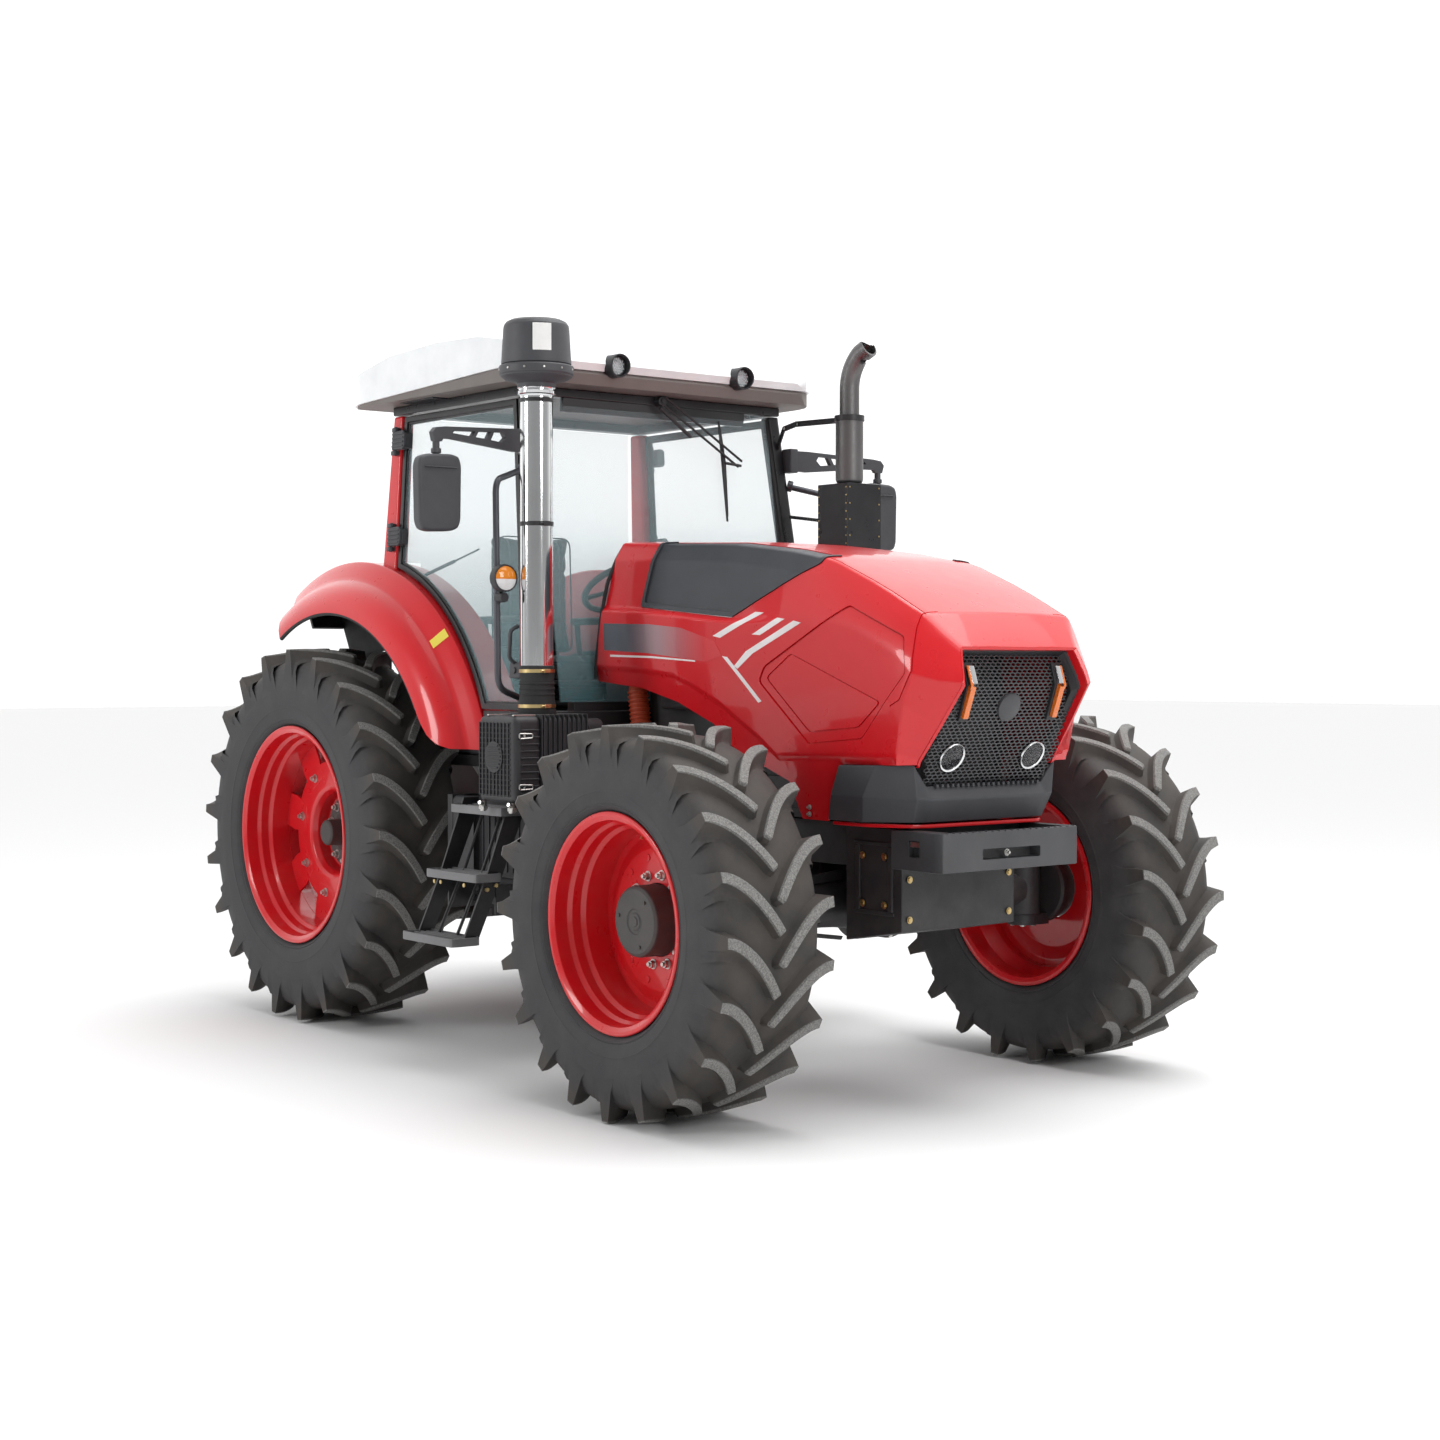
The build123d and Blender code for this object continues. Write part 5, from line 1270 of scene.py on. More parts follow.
def pillars():
    """Front pillars with a raised outer bead and a seal, red rear posts and the header."""
    low, high = SILL_Z + 0.002, POST_TOP_Z
    body = prism([(front_x(low), low), (front_x(low, 0.062), low), (front_x(high, 0.062), high), (front_x(high), high)],
                 "xz", (CAB_Y - 0.058, CAB_Y - 0.004), 0.009, 3)
    bead = prism([(front_x(low, 0.004), low), (front_x(low, 0.022), low), (front_x(high, 0.022), high),
                  (front_x(high, 0.004), high)], "xz", (CAB_Y - 0.030, CAB_Y), 0.004, 2)
    settle(both(leaned(joined([body, bead]))), "front_pillars", "chassis", FINISH["gloss_black"], "cab_pillars",
           slot="black_steel")
    seal = prism([(front_x(low, 0.060), low), (front_x(low, 0.069), low), (front_x(high, 0.069), high),
                  (front_x(high, 0.060), high)], "xz", (CAB_Y - 0.040, CAB_Y - 0.020), 0.003, 2)
    glazing_bead = prism([(front_x(1.50, 0.008), 1.50), (front_x(1.50, 0.026), 1.50), (front_x(2.79, 0.026), 2.79),
                          (front_x(2.79, 0.008), 2.79)], "xz", (CAB_Y - 0.074, CAB_Y - 0.055), 0.004, 2)
    settle(both(leaned(joined([seal, glazing_bead]))), "pillar_seals", "chassis", FINISH["seal"], slot="black_plastic")
    x = -2.450
    post = prism([(x + 0.038, high), (x - 0.038, high), (x - 0.080, 2.066), (x - 0.040, 2.085), (x + 0.042, 2.045),
                  (x + 0.042, 2.10)], "xz", (CAB_Y - 0.062, CAB_Y + 0.006), 0.014, 4)
    settle(both(leaned(post)), "rear_posts", "chassis", FINISH["red"], "cab_rear_posts", slot="red_paint")
    knuckles = []
    for z in HINGE_Z:
        for low, high in ((z - 0.023, z - 0.003), (z + 0.083, z + 0.103)):
            knuckles += [cylinder((HINGE_X, HINGE_Y, low), (HINGE_X, HINGE_Y, high), 0.0145, 0.003, 28),
                         block((HINGE_X - 0.030, HINGE_X + 0.011), (CAB_Y - 0.002, HINGE_Y + 0.006), (low, high), 0.003)]
        knuckles.append(cylinder((HINGE_X, HINGE_Y, z - 0.026), (HINGE_X, HINGE_Y, z + 0.106), 0.007, 0.001, 16))
    settle(both(leaned(joined(knuckles))), "hinge_knuckles", "chassis", FINISH["grey_plastic"], slot="black_plastic")
    outer, inner = side_y(2.82) + 0.006, side_y(2.82) - 0.056
    ring = prism([(-2.495, -outer), (-1.402, -outer), (-1.402, outer), (-2.495, outer)], "xy", (2.801, 2.8405), 0)
    carve(ring, prism([(-2.42, -inner), (-1.467, -inner), (-1.467, inner), (-2.42, inner)], "xy", (2.7, 2.9), 0))
    bevelled(ring, 0.006, 3, 40)
    visor = prism([(-1.418, 2.742), (-1.404, 2.802), (-1.430, 2.802), (-1.436, 2.742)], "xz", (-0.50, 0.50), 0.004, 2)
    settle(joined([ring, visor]), "header", "chassis", FINISH["gloss_black"], "cab_header", slot="black_steel")


FENDER = [(0.962, 0.915), (0.956, 0.924), (0.958, 0.933), (0.968, 0.936), (1.010, 0.931), (1.050, 0.917),
          (1.083, 0.893), (1.104, 0.868), (1.117, 0.842), (1.124, 0.832), (1.140, 0.822), (1.172, 0.803),
          (1.200, 0.786), (1.207, 0.776), (1.207, 0.575), (1.200, 0.566), (0.800, 0.566), (0.800, 0.574),
          (1.192, 0.577), (1.198, 0.600), (1.197, 0.770), (1.190, 0.778), (1.168, 0.794), (1.134, 0.812),
          (1.112, 0.830), (1.096, 0.860), (1.075, 0.884), (1.046, 0.907), (1.008, 0.921), (0.970, 0.926)]
FENDER_TOE = [(-2.2, 0.8), (-1.3, 0.8), (-1.3, 1.297), (-1.60, 1.292), (-1.700, 1.296), (-1.765, 1.318),
              (-1.823, 1.354), (-1.872, 1.405), (-1.915, 1.462), (-2.2, 1.462)]


def swung(obj, turn):
    """Turn a piece made level ahead of the fender's centre up and back by turn."""
    obj.data.transform(Matrix.Translation((FENDER_X, 0, FENDER_Z)) @ Matrix.Rotation(-turn, 4, "Y"))
    return obj


def fender():
    """Crested fender with a rounded toe, a rolled lip and an upright inner wall."""
    shell = swung(spun(FENDER, (0, 0, 0), steps=84, turn=radians(110)), radians(8))
    carve(shell, prism(FENDER_TOE, "xz", (0.5, 1.0), 0))
    return bevelled(shell, 0.0025, 2, 40)


def shade_inside(obj):
    """Give the faces that look at the tyre the second finish, black rubber, as painted shade under the fender."""
    for face in obj.data.polygons:
        inward = Vector((AXLE_X + FENDER_X, 0.81 if face.center.y > 0 else -0.81, FENDER_Z)) - face.center
        face.material_index = int(inward.normalized().dot(face.normal) > 0.12)


def fenders():
    """Fenders with their undersides painted black as shade, reflector strips and the lamps on their rear ends."""
    shells = settle(both(fender()), "fender_shells", "chassis", [FINISH["red"], FINISH["seal"]], "fenders", angle=28,
                    slot="red_paint")
    # The black on the faces under the fender is painted shade.
    shade_inside(shells)
    band = [(1.1255, 0.8335), (1.1405, 0.8235), (1.1725, 0.8045), (1.2005, 0.7875), (1.196, 0.787), (1.170, 0.801),
            (1.138, 0.820), (1.124, 0.829)]
    settle(both(swung(spun(band, (0, 0, 0), steps=6, turn=radians(2.4)), radians(45.2))), "fender_reflectors", "chassis",
           FINISH["yellow"])
    groups = []
    for r, y, thick in (((1.03, 1.19), (0.585, 0.66), 0.014), ((1.03, 1.19), (0.665, 0.74), 0.014),
                        ((1.022, 1.198), (0.577, 0.748), -0.020)):
        groups.append(both(swung(block(r, y, (0.003, 0.003 + thick), 0.005, 3), radians(118))))
    settle(groups[0], "tail_lamps_red", "chassis", FINISH["red_lens"], "rear_lamps", slot="red_lens")
    settle(groups[1], "tail_lamps_amber", "chassis", FINISH["amber"], slot="amber_lens")
    settle(groups[2], "tail_lamp_housings", "chassis", FINISH["plastic"], slot="black_plastic")


def door_outline(inset):
    """(x, z) outline of a door, drawn in by inset; its lower rear edge follows the fender."""
    radius = 1.214 + inset
    low, high = SILL_Z + 0.006 + inset, POST_TOP_Z - 0.008 - inset
    rear_x = -2.450 + 0.048 + inset
    start = atan2(low - FENDER_Z, sqrt(radius ** 2 - (low - FENDER_Z) ** 2))
    finish = atan2(sqrt(radius ** 2 - (rear_x - FENDER_X) ** 2), rear_x - FENDER_X)
    points = [(front_x(high, 0.070 + inset), high), (front_x(low, 0.070 + inset), low)]
    for i in range(15):
        a = start + (finish - start) * i / 14
        points.append((FENDER_X + radius * cos(a), FENDER_Z + radius * sin(a)))
    points.append((rear_x, high))
    return points


def ring_prism(outer, inner, span, bevel=0.003):
    """A frame between two matching flat outlines in the xz plane."""
    n, (low, high) = len(outer), span
    points = [(x, y, z) for y in (high, low) for run in (outer, inner) for x, z in run]
    faces = []
    for i in range(n):
        j = (i + 1) % n
        faces += [(i, j, n + j, n + i), (2 * n + i, 3 * n + i, 3 * n + j, 2 * n + j),
                  (i, 2 * n + i, 2 * n + j, j), (n + i, n + j, 3 * n + j, 3 * n + i)]
    return bevelled(outward(mesh_of("ring", points, faces)), bevel, 2, 30)


def door(label, side):
    """Slim black door frame with its inner seal, ribbed hinge blocks, latch and pull."""
    frame = ring_prism(door_outline(0.0), door_outline(0.026), (CAB_Y - 0.030, CAB_Y - 0.002), 0.004)
    lip = ring_prism(door_outline(0.024), door_outline(0.036), (CAB_Y - 0.026, CAB_Y - 0.010), 0.003)
    hinges = []
    for z in HINGE_Z:
        arm = prism([(-2.438, z + 0.002), (-2.438, z + 0.078), (-2.430, z + 0.084), (-2.350, z + 0.086), (-2.334, z + 0.074),
                     (-2.334, z + 0.010), (-2.350, z - 0.002), (-2.430, z)], "xz", (HINGE_Y - 0.013, HINGE_Y + 0.013), 0.006, 3)
        ribs = [block((-2.438, -2.340), (HINGE_Y + 0.010, HINGE_Y + 0.018), (z + 0.010 + 0.0185 * i, z + 0.0185 + 0.0185 * i),
                      0.003, 2) for i in range(4)]
        foot = block((-2.395, -2.332), (CAB_Y - 0.012, HINGE_Y), (z + 0.004, z + 0.076), 0.005)
        eye = cylinder((HINGE_X, HINGE_Y, z), (HINGE_X, HINGE_Y, z + 0.080), 0.016, 0.003, 28)
        hinges += [arm, foot, eye] + ribs
    pull = bar([(front_x(1.62, 0.13), CAB_Y + 0.002, 1.66), (front_x(1.62, 0.13), CAB_Y + 0.040, 1.68),
                (front_x(1.62, 0.13), CAB_Y + 0.040, 1.80), (front_x(1.62, 0.13), CAB_Y + 0.002, 1.82)], 0.009, 0.02, 12)
    plate = block((front_x(1.62, 0.165), front_x(1.62, 0.085)), (CAB_Y - 0.006, CAB_Y + 0.014), (1.60, 1.665), 0.005, 3)
    button = cylinder((front_x(1.62, 0.125), CAB_Y + 0.010, 1.632), (front_x(1.62, 0.125), CAB_Y + 0.022, 1.632), 0.014,
                      0.002, 24)
    strut = bar([(-2.30, CAB_Y - 0.045, 2.05), (-1.98, CAB_Y - 0.045, 2.12)], 0.008, 0, 12)
    frame = leaned(joined([frame, lip]))
    trim = leaned(joined(hinges + [pull, plate, button]))
    strut = leaned(joined([strut, bar([(-1.98, CAB_Y - 0.045, 2.12), (-1.78, CAB_Y - 0.045, 2.165)], 0.004, 0, 8)]))
    if side < 0:
        pieces = [mirrored(piece) for piece in (frame, trim, strut)]
        for piece in (frame, trim, strut):
            bpy.data.objects.remove(piece)
        frame, trim, strut = pieces
    settle(frame, f"door_frame_{label}", f"door_{label}", FINISH["gloss_black"], f"door_frame_{label}",
           slot="black_steel")
    settle(trim, f"door_hinges_{label}", f"door_{label}", FINISH["grey_plastic"], slot="black_plastic")
    settle(strut, f"door_strut_{label}", f"door_{label}", FINISH["black"], slot="black_steel")


def mirrors():
    """Rounded mirror heads on cast arms with open webs, clamped to the front pillars."""
    arm = prism([(1.222, 2.560), (1.232, 2.596), (1.214, 2.616), (1.170, 2.622), (0.800, 2.640), (0.742, 2.640),
                 (0.742, 2.548), (0.800, 2.545), (1.130, 2.574), (1.176, 2.574), (1.186, 2.560)], "yz", (-1.296, -1.270), 0)
    windows = [[(0.872, 2.578), (0.930, 2.584), (0.912, 2.618), (0.862, 2.620), (0.850, 2.600)],
               [(0.948, 2.586), (1.010, 2.590), (0.994, 2.614), (0.930, 2.617)],
               [(1.028, 2.591), (1.130, 2.598), (1.120, 2.608), (1.012, 2.613)]]
    for window in windows:
        carve(arm, prism(window, "yz", (-1.35, -1.20), 0))
    bevelled(arm, 0.004, 2, 35)
    arm.data.transform(Matrix.Translation((-1.283, 1.2, 0)) @ Matrix.Rotation(radians(-7), 4, "Z")
                       @ Matrix.Translation((1.283, -1.2, 0)))
    stem = bar([(-1.284, 1.205, 2.575), (-1.284, 1.205, 2.505)], 0.015, 0, 16)
    collar = cylinder((-1.284, 1.205, 2.512), (-1.284, 1.205, 2.532), 0.021, 0.003, 24)
    clamp = block((-1.392, -1.325), (0.706, 0.752), (2.540, 2.650), 0.006, 3)
    clamp_bolts = [nut(0.009, 0.007, (-1.355, 0.752, z), 1) for z in (2.556, 2.634)]
    head = prism(chamfered(chamfered([(1.105, 2.200), (1.300, 2.192), (1.306, 2.505), (1.100, 2.512)], 0.045), 0.012),
                 "yz", (-1.312, -1.252), 0.014, 4)
    head.data.transform(Matrix.Translation((-1.25, 0, 0)) @ Matrix.Scale(0.95, 4, (1, 0, 0)) @ Matrix.Translation((1.25, 0, 0)))
    groove = block((-1.256, -1.240), (1.130, 1.276), (2.452, 2.456), 0.0008, 1)
    glass = prism(chamfered([(1.118, 2.214), (1.288, 2.208), (1.292, 2.492), (1.116, 2.498)], 0.035), "yz",
                  (-1.3135, -1.306), 0.001, 1)
    settle(both(joined([arm, stem, collar, clamp, head, groove])), "mirror_arms_heads", "chassis",
           FINISH["grey_plastic"], "mirrors", slot="black_plastic")
    settle(both(glass), "mirror_glass", "chassis", FINISH["mirror"], slot="chrome")
    settle(both(joined(clamp_bolts)), "mirror_bolts", "chassis", FINISH["zinc"])


def rails_and_lamps():
    """Grab bars at the front pillars, with the turn lamps on their stalks."""
    x, y = -1.185, 0.975
    rail = bar([(x - 0.192, 0.726, 2.480), (x - 0.014, y, 2.410), (x, y, 1.560), (x - 0.052, 0.783, 1.500)], 0.0135,
               0.055, 20)
    feet = [cylinder((x - 0.186, 0.722, 2.483), (x - 0.172, 0.742, 2.477), 0.026, 0.004, 24),
            cylinder((x - 0.055, 0.770, 1.497), (x - 0.052, 0.785, 1.501), 0.026, 0.004, 24)]
    settle(both(joined([rail] + feet)), "grab_bars", "chassis", FINISH["rail"], "grab_handles", slot="black_steel")
    shell = bevelled(spun([(0.049, 0.010), (0.055, 0.010), (0.057, 0.0), (0.055, -0.030), (0.040, -0.052), (0, -0.056),
                           (0, -0.050), (0.046, -0.020)], (0, 0, 0), axis="x", steps=40), 0.002, 2, 30)
    stalk = bar([(-0.030, 0, 0), (-0.040, 0, -0.060), (-0.030, 0, -0.085)], 0.012, 0.02, 14)
    knob = cylinder((-0.055, 0, -0.078), (0.0, 0, -0.078), 0.020, 0.004, 20)
    clip = block((-0.075, -0.030), (-0.020, 0.020), (-0.020, 0.020), 0.005, 2)
    amber = spun([(0, 0.020), (0.030, 0.017), (0.049, 0.008), (0.049, -0.004), (0, -0.004)], (0, 0, 0), axis="x", steps=40)
    clear = copied(amber, Matrix.Identity(4))
    carve(amber, block((-0.1, 0.1), (-0.1, 0.1), (-0.1, -0.004), 0))
    carve(clear, block((-0.1, 0.1), (-0.1, 0.1), (-0.004, 0.1), 0))
    place = (-1.130, y, 2.008)
    for piece in (shell, stalk, knob, clip, amber, clear):
        moved(piece, place)
    settle(both(joined([shell, stalk, knob, clip])), "turn_lamp_shells", "chassis", FINISH["plastic"], "turn_lamps",
           slot="black_plastic")
    settle(both(amber), "turn_lamp_amber", "chassis", FINISH["amber"], slot="amber_lens")
    settle(both(clear), "turn_lamp_clear", "chassis", FINISH["white_lens"], slot="lamp_lens")


def wiper():
    """Windscreen wiper parked to the left: pivot, twin arms and the blade in its carrier."""
    pivot = Vector((-1.405, 0, 2.818))
    top, foot, side, mid = 2.755, 2.300, 0.336, 2.560
    cap = [cylinder(pivot, pivot + Vector((0.045, 0, 0)), 0.022, 0.005, 28),
           cylinder(pivot + Vector((0.043, 0, 0)), pivot + Vector((0.052, 0, 0)), 0.012, 0.003, 6)]
    hold = Vector((front_x(mid) + 0.024, side + 0.030, mid))
    arms = [bar([pivot + Vector((0.036, -0.006 + off, -0.006 + off)), hold + Vector((0.004, 0.045 + off * 0.8, -0.010 + off))], 0.0058, 0, 12)
            for off in (0.0, 0.026)]
    arms.append(bar([hold + Vector((0.004, 0.060, -0.004)), hold + Vector((0.0, -0.030, 0.004))], 0.0065, 0, 12))
    arms.append(bar([pivot + Vector((0.040, -0.012, -0.030)), pivot + Vector((0.050, 0.150, -0.150))], 0.0085, 0, 12))
    blade = prism([(front_x(top) + 0.003, top), (front_x(foot) + 0.003, foot), (front_x(foot) + 0.011, foot),
                   (front_x(top) + 0.011, top)], "xz", (side - 0.004, side + 0.004), 0.001, 1)
    spine = prism([(front_x(top - 0.02) + 0.010, top - 0.02), (front_x(foot + 0.02) + 0.010, foot + 0.02),
                   (front_x(mid) + 0.026, mid)], "xz", (side - 0.008, side + 0.008), 0.002, 2)
    settle(joined(cap + [blade, spine] + arms), "wiper", "chassis", FINISH["plastic"], "wiper", slot="black_steel")


def cab():
    roof()
    work_lamps()
    pillars()
    fenders()
    for label, side in SIDES.items():
        door(label, side)
    mirrors()
    rails_and_lamps()
    wiper()


cab()


# ---- beside the engine --------------------------------------------------------------------------
STACK = (-1.080, -0.854)
PIPE = (-0.840, 0.634)


def filter_box():
    """Moulded filter housing: gridded end cap, ribbed body, seam flanges, clasps and duct."""
    cap = block((-1.204, -0.926), (-1.062, -0.930), (1.102, 1.452), 0.030, 4)
    body = block((-1.200, -0.930), (-0.935, -0.692), (1.106, 1.448), 0.024, 3)
    parts = [cap, body, block((-1.210, -0.920), (-0.938, -0.930), (1.098, 1.458), 0.003),
             block((-1.208, -0.922), (-0.926, -0.918), (1.100, 1.456), 0.003)]
    parts += [block((x, x + 0.005), (-1.068, -1.055), (1.128, 1.426), 0.001, 1)
              for x in [-1.184 + 0.0262 * i for i in range(9)]]
    parts += [block((-1.188, -0.958), (-1.066, -1.055), (z, z + 0.0045), 0.001, 1)
              for z in [1.130 + 0.0208 * k for k in range(15)]]
    parts += [block((-0.932, -0.920), (-1.034, -0.948), (z, z + 0.006), 0.0015, 1)
              for z in [1.140 + 0.028 * k for k in range(10)]]
    parts += [block((-1.206, -0.921), (y, y + 0.006), (1.102, 1.457), 0.010, 2)
              for y in [-0.902 + 0.0232 * j for j in range(9)]]
    parts += [cylinder((-1.074, -1.055, 1.285), (-1.074, -1.070, 1.285), 0.064, 0.004, 48)]
    parts += [block((-1.074 - w, -1.074 + w), (-1.0745, -1.066), (z, z + 0.006), 0.001, 1)
              for z, w in [(1.285 + dz, sqrt(0.056 ** 2 - dz ** 2)) for dz in (-0.045, -0.030, -0.015, 0.0, 0.015, 0.030, 0.043)]]
    parts += [cylinder((-1.065, -0.700, 1.390), (-1.065, -0.562, 1.390), 0.045, 0.003, 40),
              cylinder((-1.065, -0.640, 1.390), (-1.065, -0.620, 1.390), 0.049, 0.002, 40)]
    settle(joined(parts), "filter_housing", "chassis", FINISH["plastic"], "air_filter_box", slot="black_plastic")
    wires = []
    for z in (1.372, 1.168):
        wires.append(bar([(-0.9165, -1.046, z + 0.010), (-0.9145, -0.985, z + 0.008), (-0.9145, -0.985, z - 0.008),
                          (-0.9165, -1.046, z - 0.010)], 0.0028, 0.006, 8, True))
        wires.append(cylinder((-0.924, -1.018, z - 0.013), (-0.924, -1.018, z + 0.013), 0.0045, 0.001, 12))
    for x in (-1.150, -0.965):
        wires.append(block((x, x + 0.013), (-1.050, -0.945), (1.451, 1.4565), 0.0015))
    for x in (-1.186, -0.972):
        wires += [cylinder((x, -1.046, 1.062), (x, -1.046, 1.103), 0.0135, 0.002, 20),
                  cylinder((x, -1.046, 1.070), (x, -1.046, 1.084), 0.021, 0.002, 6),
                  cylinder((x + 0.004, -1.052, 1.092), (x + 0.012, -1.072, 1.098), 0.009, 0.002, 16)]
    settle(joined(wires), "filter_clasps", "chassis", FINISH["zinc"])


def clamp_band(z, radius, centre, wide=0.013):
    """A hose clamp round an upright pipe, with its worm screw on the front."""
    x, y = centre
    band = spun([(radius, 0.0), (radius + 0.002, 0.0), (radius + 0.002, wide), (radius, wide)], (x, y, z), axis="z", steps=56)
    screw = block((x + radius - 0.002, x + radius + 0.013), (y - 0.018, y + 0.012), (z - 0.001, z + wide + 0.001), 0.002)
    head = cylinder((x + radius + 0.006, y - 0.030, z + wide / 2), (x + radius + 0.006, y - 0.016, z + wide / 2), 0.0055, 0.001, 12)
    return joined([band, screw, head])


def stack():
    """Polished intake pipe between rubber cuffs, held by clamps."""
    x, y = STACK
    tube = spun([(0.064, 1.640), (0.067, 1.645), (0.067, 2.742), (0.070, 2.752), (0.076, 2.756), (0.077, 2.766),
                 (0.073, 2.770), (0.073, 2.776), (0.077, 2.780), (0.077, 2.790), (0.064, 2.790)], (x, y, 0), axis="z", steps=96)
    settle(tube, "intake_pipe", "chassis", FINISH["chrome"], "intake_stack", slot="chrome", angle=25)
    boot = spun([(0.050, 1.449), (0.075, 1.449), (0.078, 1.456), (0.078, 1.472), (0.075, 1.478), (0.0755, 1.500),
                 (0.072, 1.520), (0.069, 1.600), (0.071, 1.612), (0.071, 1.650), (0.068, 1.653), (0.050, 1.653)],
                (x, y, 0), axis="z", steps=64)
    ribs = [spun([(0.066, z), (0.0735, z + 0.003), (0.0735, z + 0.009), (0.066, z + 0.012)], (x, y, 0), axis="z", steps=64)
            for z in (1.530, 1.552, 1.574)]
    settle(joined([boot] + ribs), "intake_boot", "chassis", FINISH["seal"])
    collars = [clamp_band(2.722, 0.0672, STACK, 0.016), clamp_band(2.220, 0.0672, STACK, 0.018)]
    stay = bar([(x - 0.060, y + 0.020, 2.229), (x - 0.180, y + 0.100, 2.229), (-1.345, -0.715, 2.229)], 0.009, 0.03, 12)
    settle(joined(collars + [stay]), "intake_bands", "chassis", FINISH["black"])
    settle(joined([clamp_band(1.624, 0.0712, STACK, 0.014), clamp_band(1.481, 0.0755, STACK, 0.014)]),
           "intake_clamps", "chassis", FINISH["brass"])


def precleaner():
    """Bowl with a bolted skirt, a rounded lid and a bare label plate."""
    x, y = STACK
    bowl = spun([(0, 3.0595), (0.070, 3.0590), (0.105, 3.055), (0.123, 3.046), (0.132, 3.033), (0.1345, 3.018),
                 (0.1425, 2.885), (0.1425, 2.876), (0.138, 2.874), (0.138, 2.871), (0.150, 2.869), (0.1525, 2.864),
                 (0.1525, 2.838), (0.1500, 2.833), (0.147, 2.832), (0.146, 2.826), (0.128, 2.814), (0.086, 2.802),
                 (0.079, 2.796), (0.078, 2.780), (0, 2.780)], (x, y, 0), axis="z", steps=112)
    settle(bevelled(bowl, 0.0015, 2, 25), "precleaner_bowl", "chassis", FINISH["grey_plastic"], "precleaner",
           slot="black_plastic", angle=25)
    bolt = cylinder((x + 0.151, y, 2.851), (x + 0.1555, y, 2.851), 0.0045, 0.001, 12)
    bolts = around(bolt, 12, (x, y, 2.851), "Z", radians(8))
    plate = bpy.ops.mesh.primitive_cylinder_add
    plate(vertices=96, radius=0.1405, depth=0.110, location=(x, y, 2.972), end_fill_type="NOTHING")
    label = apply_place(bpy.context.object)
    wedge = block((0.05, 0.20), (-0.038, 0.038), (2.90, 3.05), 0)
    wedge.data.transform(Matrix.Translation((x, y, 0)) @ Matrix.Rotation(radians(-24), 4, "Z"))
    carve(label, wedge, mode="INTERSECT")
    settle(bolts, "precleaner_bolts", "chassis", FINISH["zinc"])
    return label


def rivets(points, normal, radius=0.0035):
    """Round rivet heads at some points, standing along a normal."""
    n = Vector(normal)
    return [cylinder(Vector(p) - n * 0.001, Vector(p) + n * 0.0022, radius, 0.001, 10) for p in points]


def exhaust():
    """Silencer pipe with its clamp, stays and curved outlet."""
    x, y = PIPE
    lower = spun([(0.049, 1.442), (0.050, 1.445), (0.050, 2.452), (0.056, 2.458), (0.061, 2.470), (0.061, 2.742),
                  (0.052, 2.750), (0.044, 2.752), (0.044, 1.442)], (x, y, 0), axis="z", steps=56)
    bend = [(x, y, 2.700), (x, y, 2.870)]
    for k in range(1, 13):
        a = radians(4.2 * k)
        bend.append((x + 0.19 * (1 - cos(a)), y + 0.019 * (1 - cos(a)), 2.870 + 0.19 * sin(a)))
    bend.append((x + 0.115, y + 0.012, 3.0215 + 0.018))
    outlet = bar(bend, 0.0435, 0, 40)
    bore = bar([(bend[-2][0] - 0.02, bend[-2][1], bend[-2][2] - 0.025), (bend[-1][0] + 0.05, bend[-1][1] + 0.005, bend[-1][2] + 0.055)], 0.040, 0, 40)
    carve(outlet, bore)
    elbow = bar([(x, 0.270, 1.480), (x, y - 0.001, 1.480)], 0.045, 0, 32)
    flange = cylinder((x, 0.270, 1.480), (x, 0.282, 1.480), 0.062, 0.002, 32)
    settle(joined([lower, outlet, elbow, flange]), "exhaust_pipe", "chassis", FINISH["exhaust"], "exhaust", slot="exhaust_steel")
    collar = spun([(0.0615, 2.726), (0.066, 2.727), (0.066, 2.751), (0.0615, 2.752)], (x, y, 0), axis="z", steps=56)
    lug = block((x - 0.105, x - 0.058), (y - 0.012, y + 0.012), (2.728, 2.750), 0.003)
    strap = [(x - 0.098, y + 0.004, 2.739), (-1.229, 0.655, 2.749), (-1.330, 0.668, 2.736), (-1.386, 0.676, 2.652)]
    for (x0, y0, z0), (x1, y1, z1) in zip(strap, strap[1:]):
        run = Vector((x1 - x0, y1 - y0, z1 - z0))
        bone = block((-0.004, run.length + 0.004), (-0.003, 0.003), (-0.013, 0.013), 0.002)
        bone.data.transform(Matrix.Translation((x0, y0, z0)) @ run.to_track_quat("X", "Z").to_matrix().to_4x4())
        strap[strap.index((x0, y0, z0))] = bone
    brace = bar([(-1.320, 0.700, 2.335), (x - 0.098, y + 0.03, 2.288)], 0.008, 0, 12)
    plates = [piece for piece in strap if not isinstance(piece, tuple)]
    settle(joined([collar, lug, brace] + plates), "exhaust_stays", "chassis", FINISH["black"])
    fixings = [cylinder((px, py - 0.006, pz), (px, py + 0.006, pz), 0.007, 0.001, 6)
               for px, py, pz in ((-0.955, 0.644, 2.741), (-1.215, 0.657, 2.748), (-1.322, 0.668, 2.738))]
    settle(joined(fixings), "exhaust_bolts", "chassis", FINISH["zinc"])


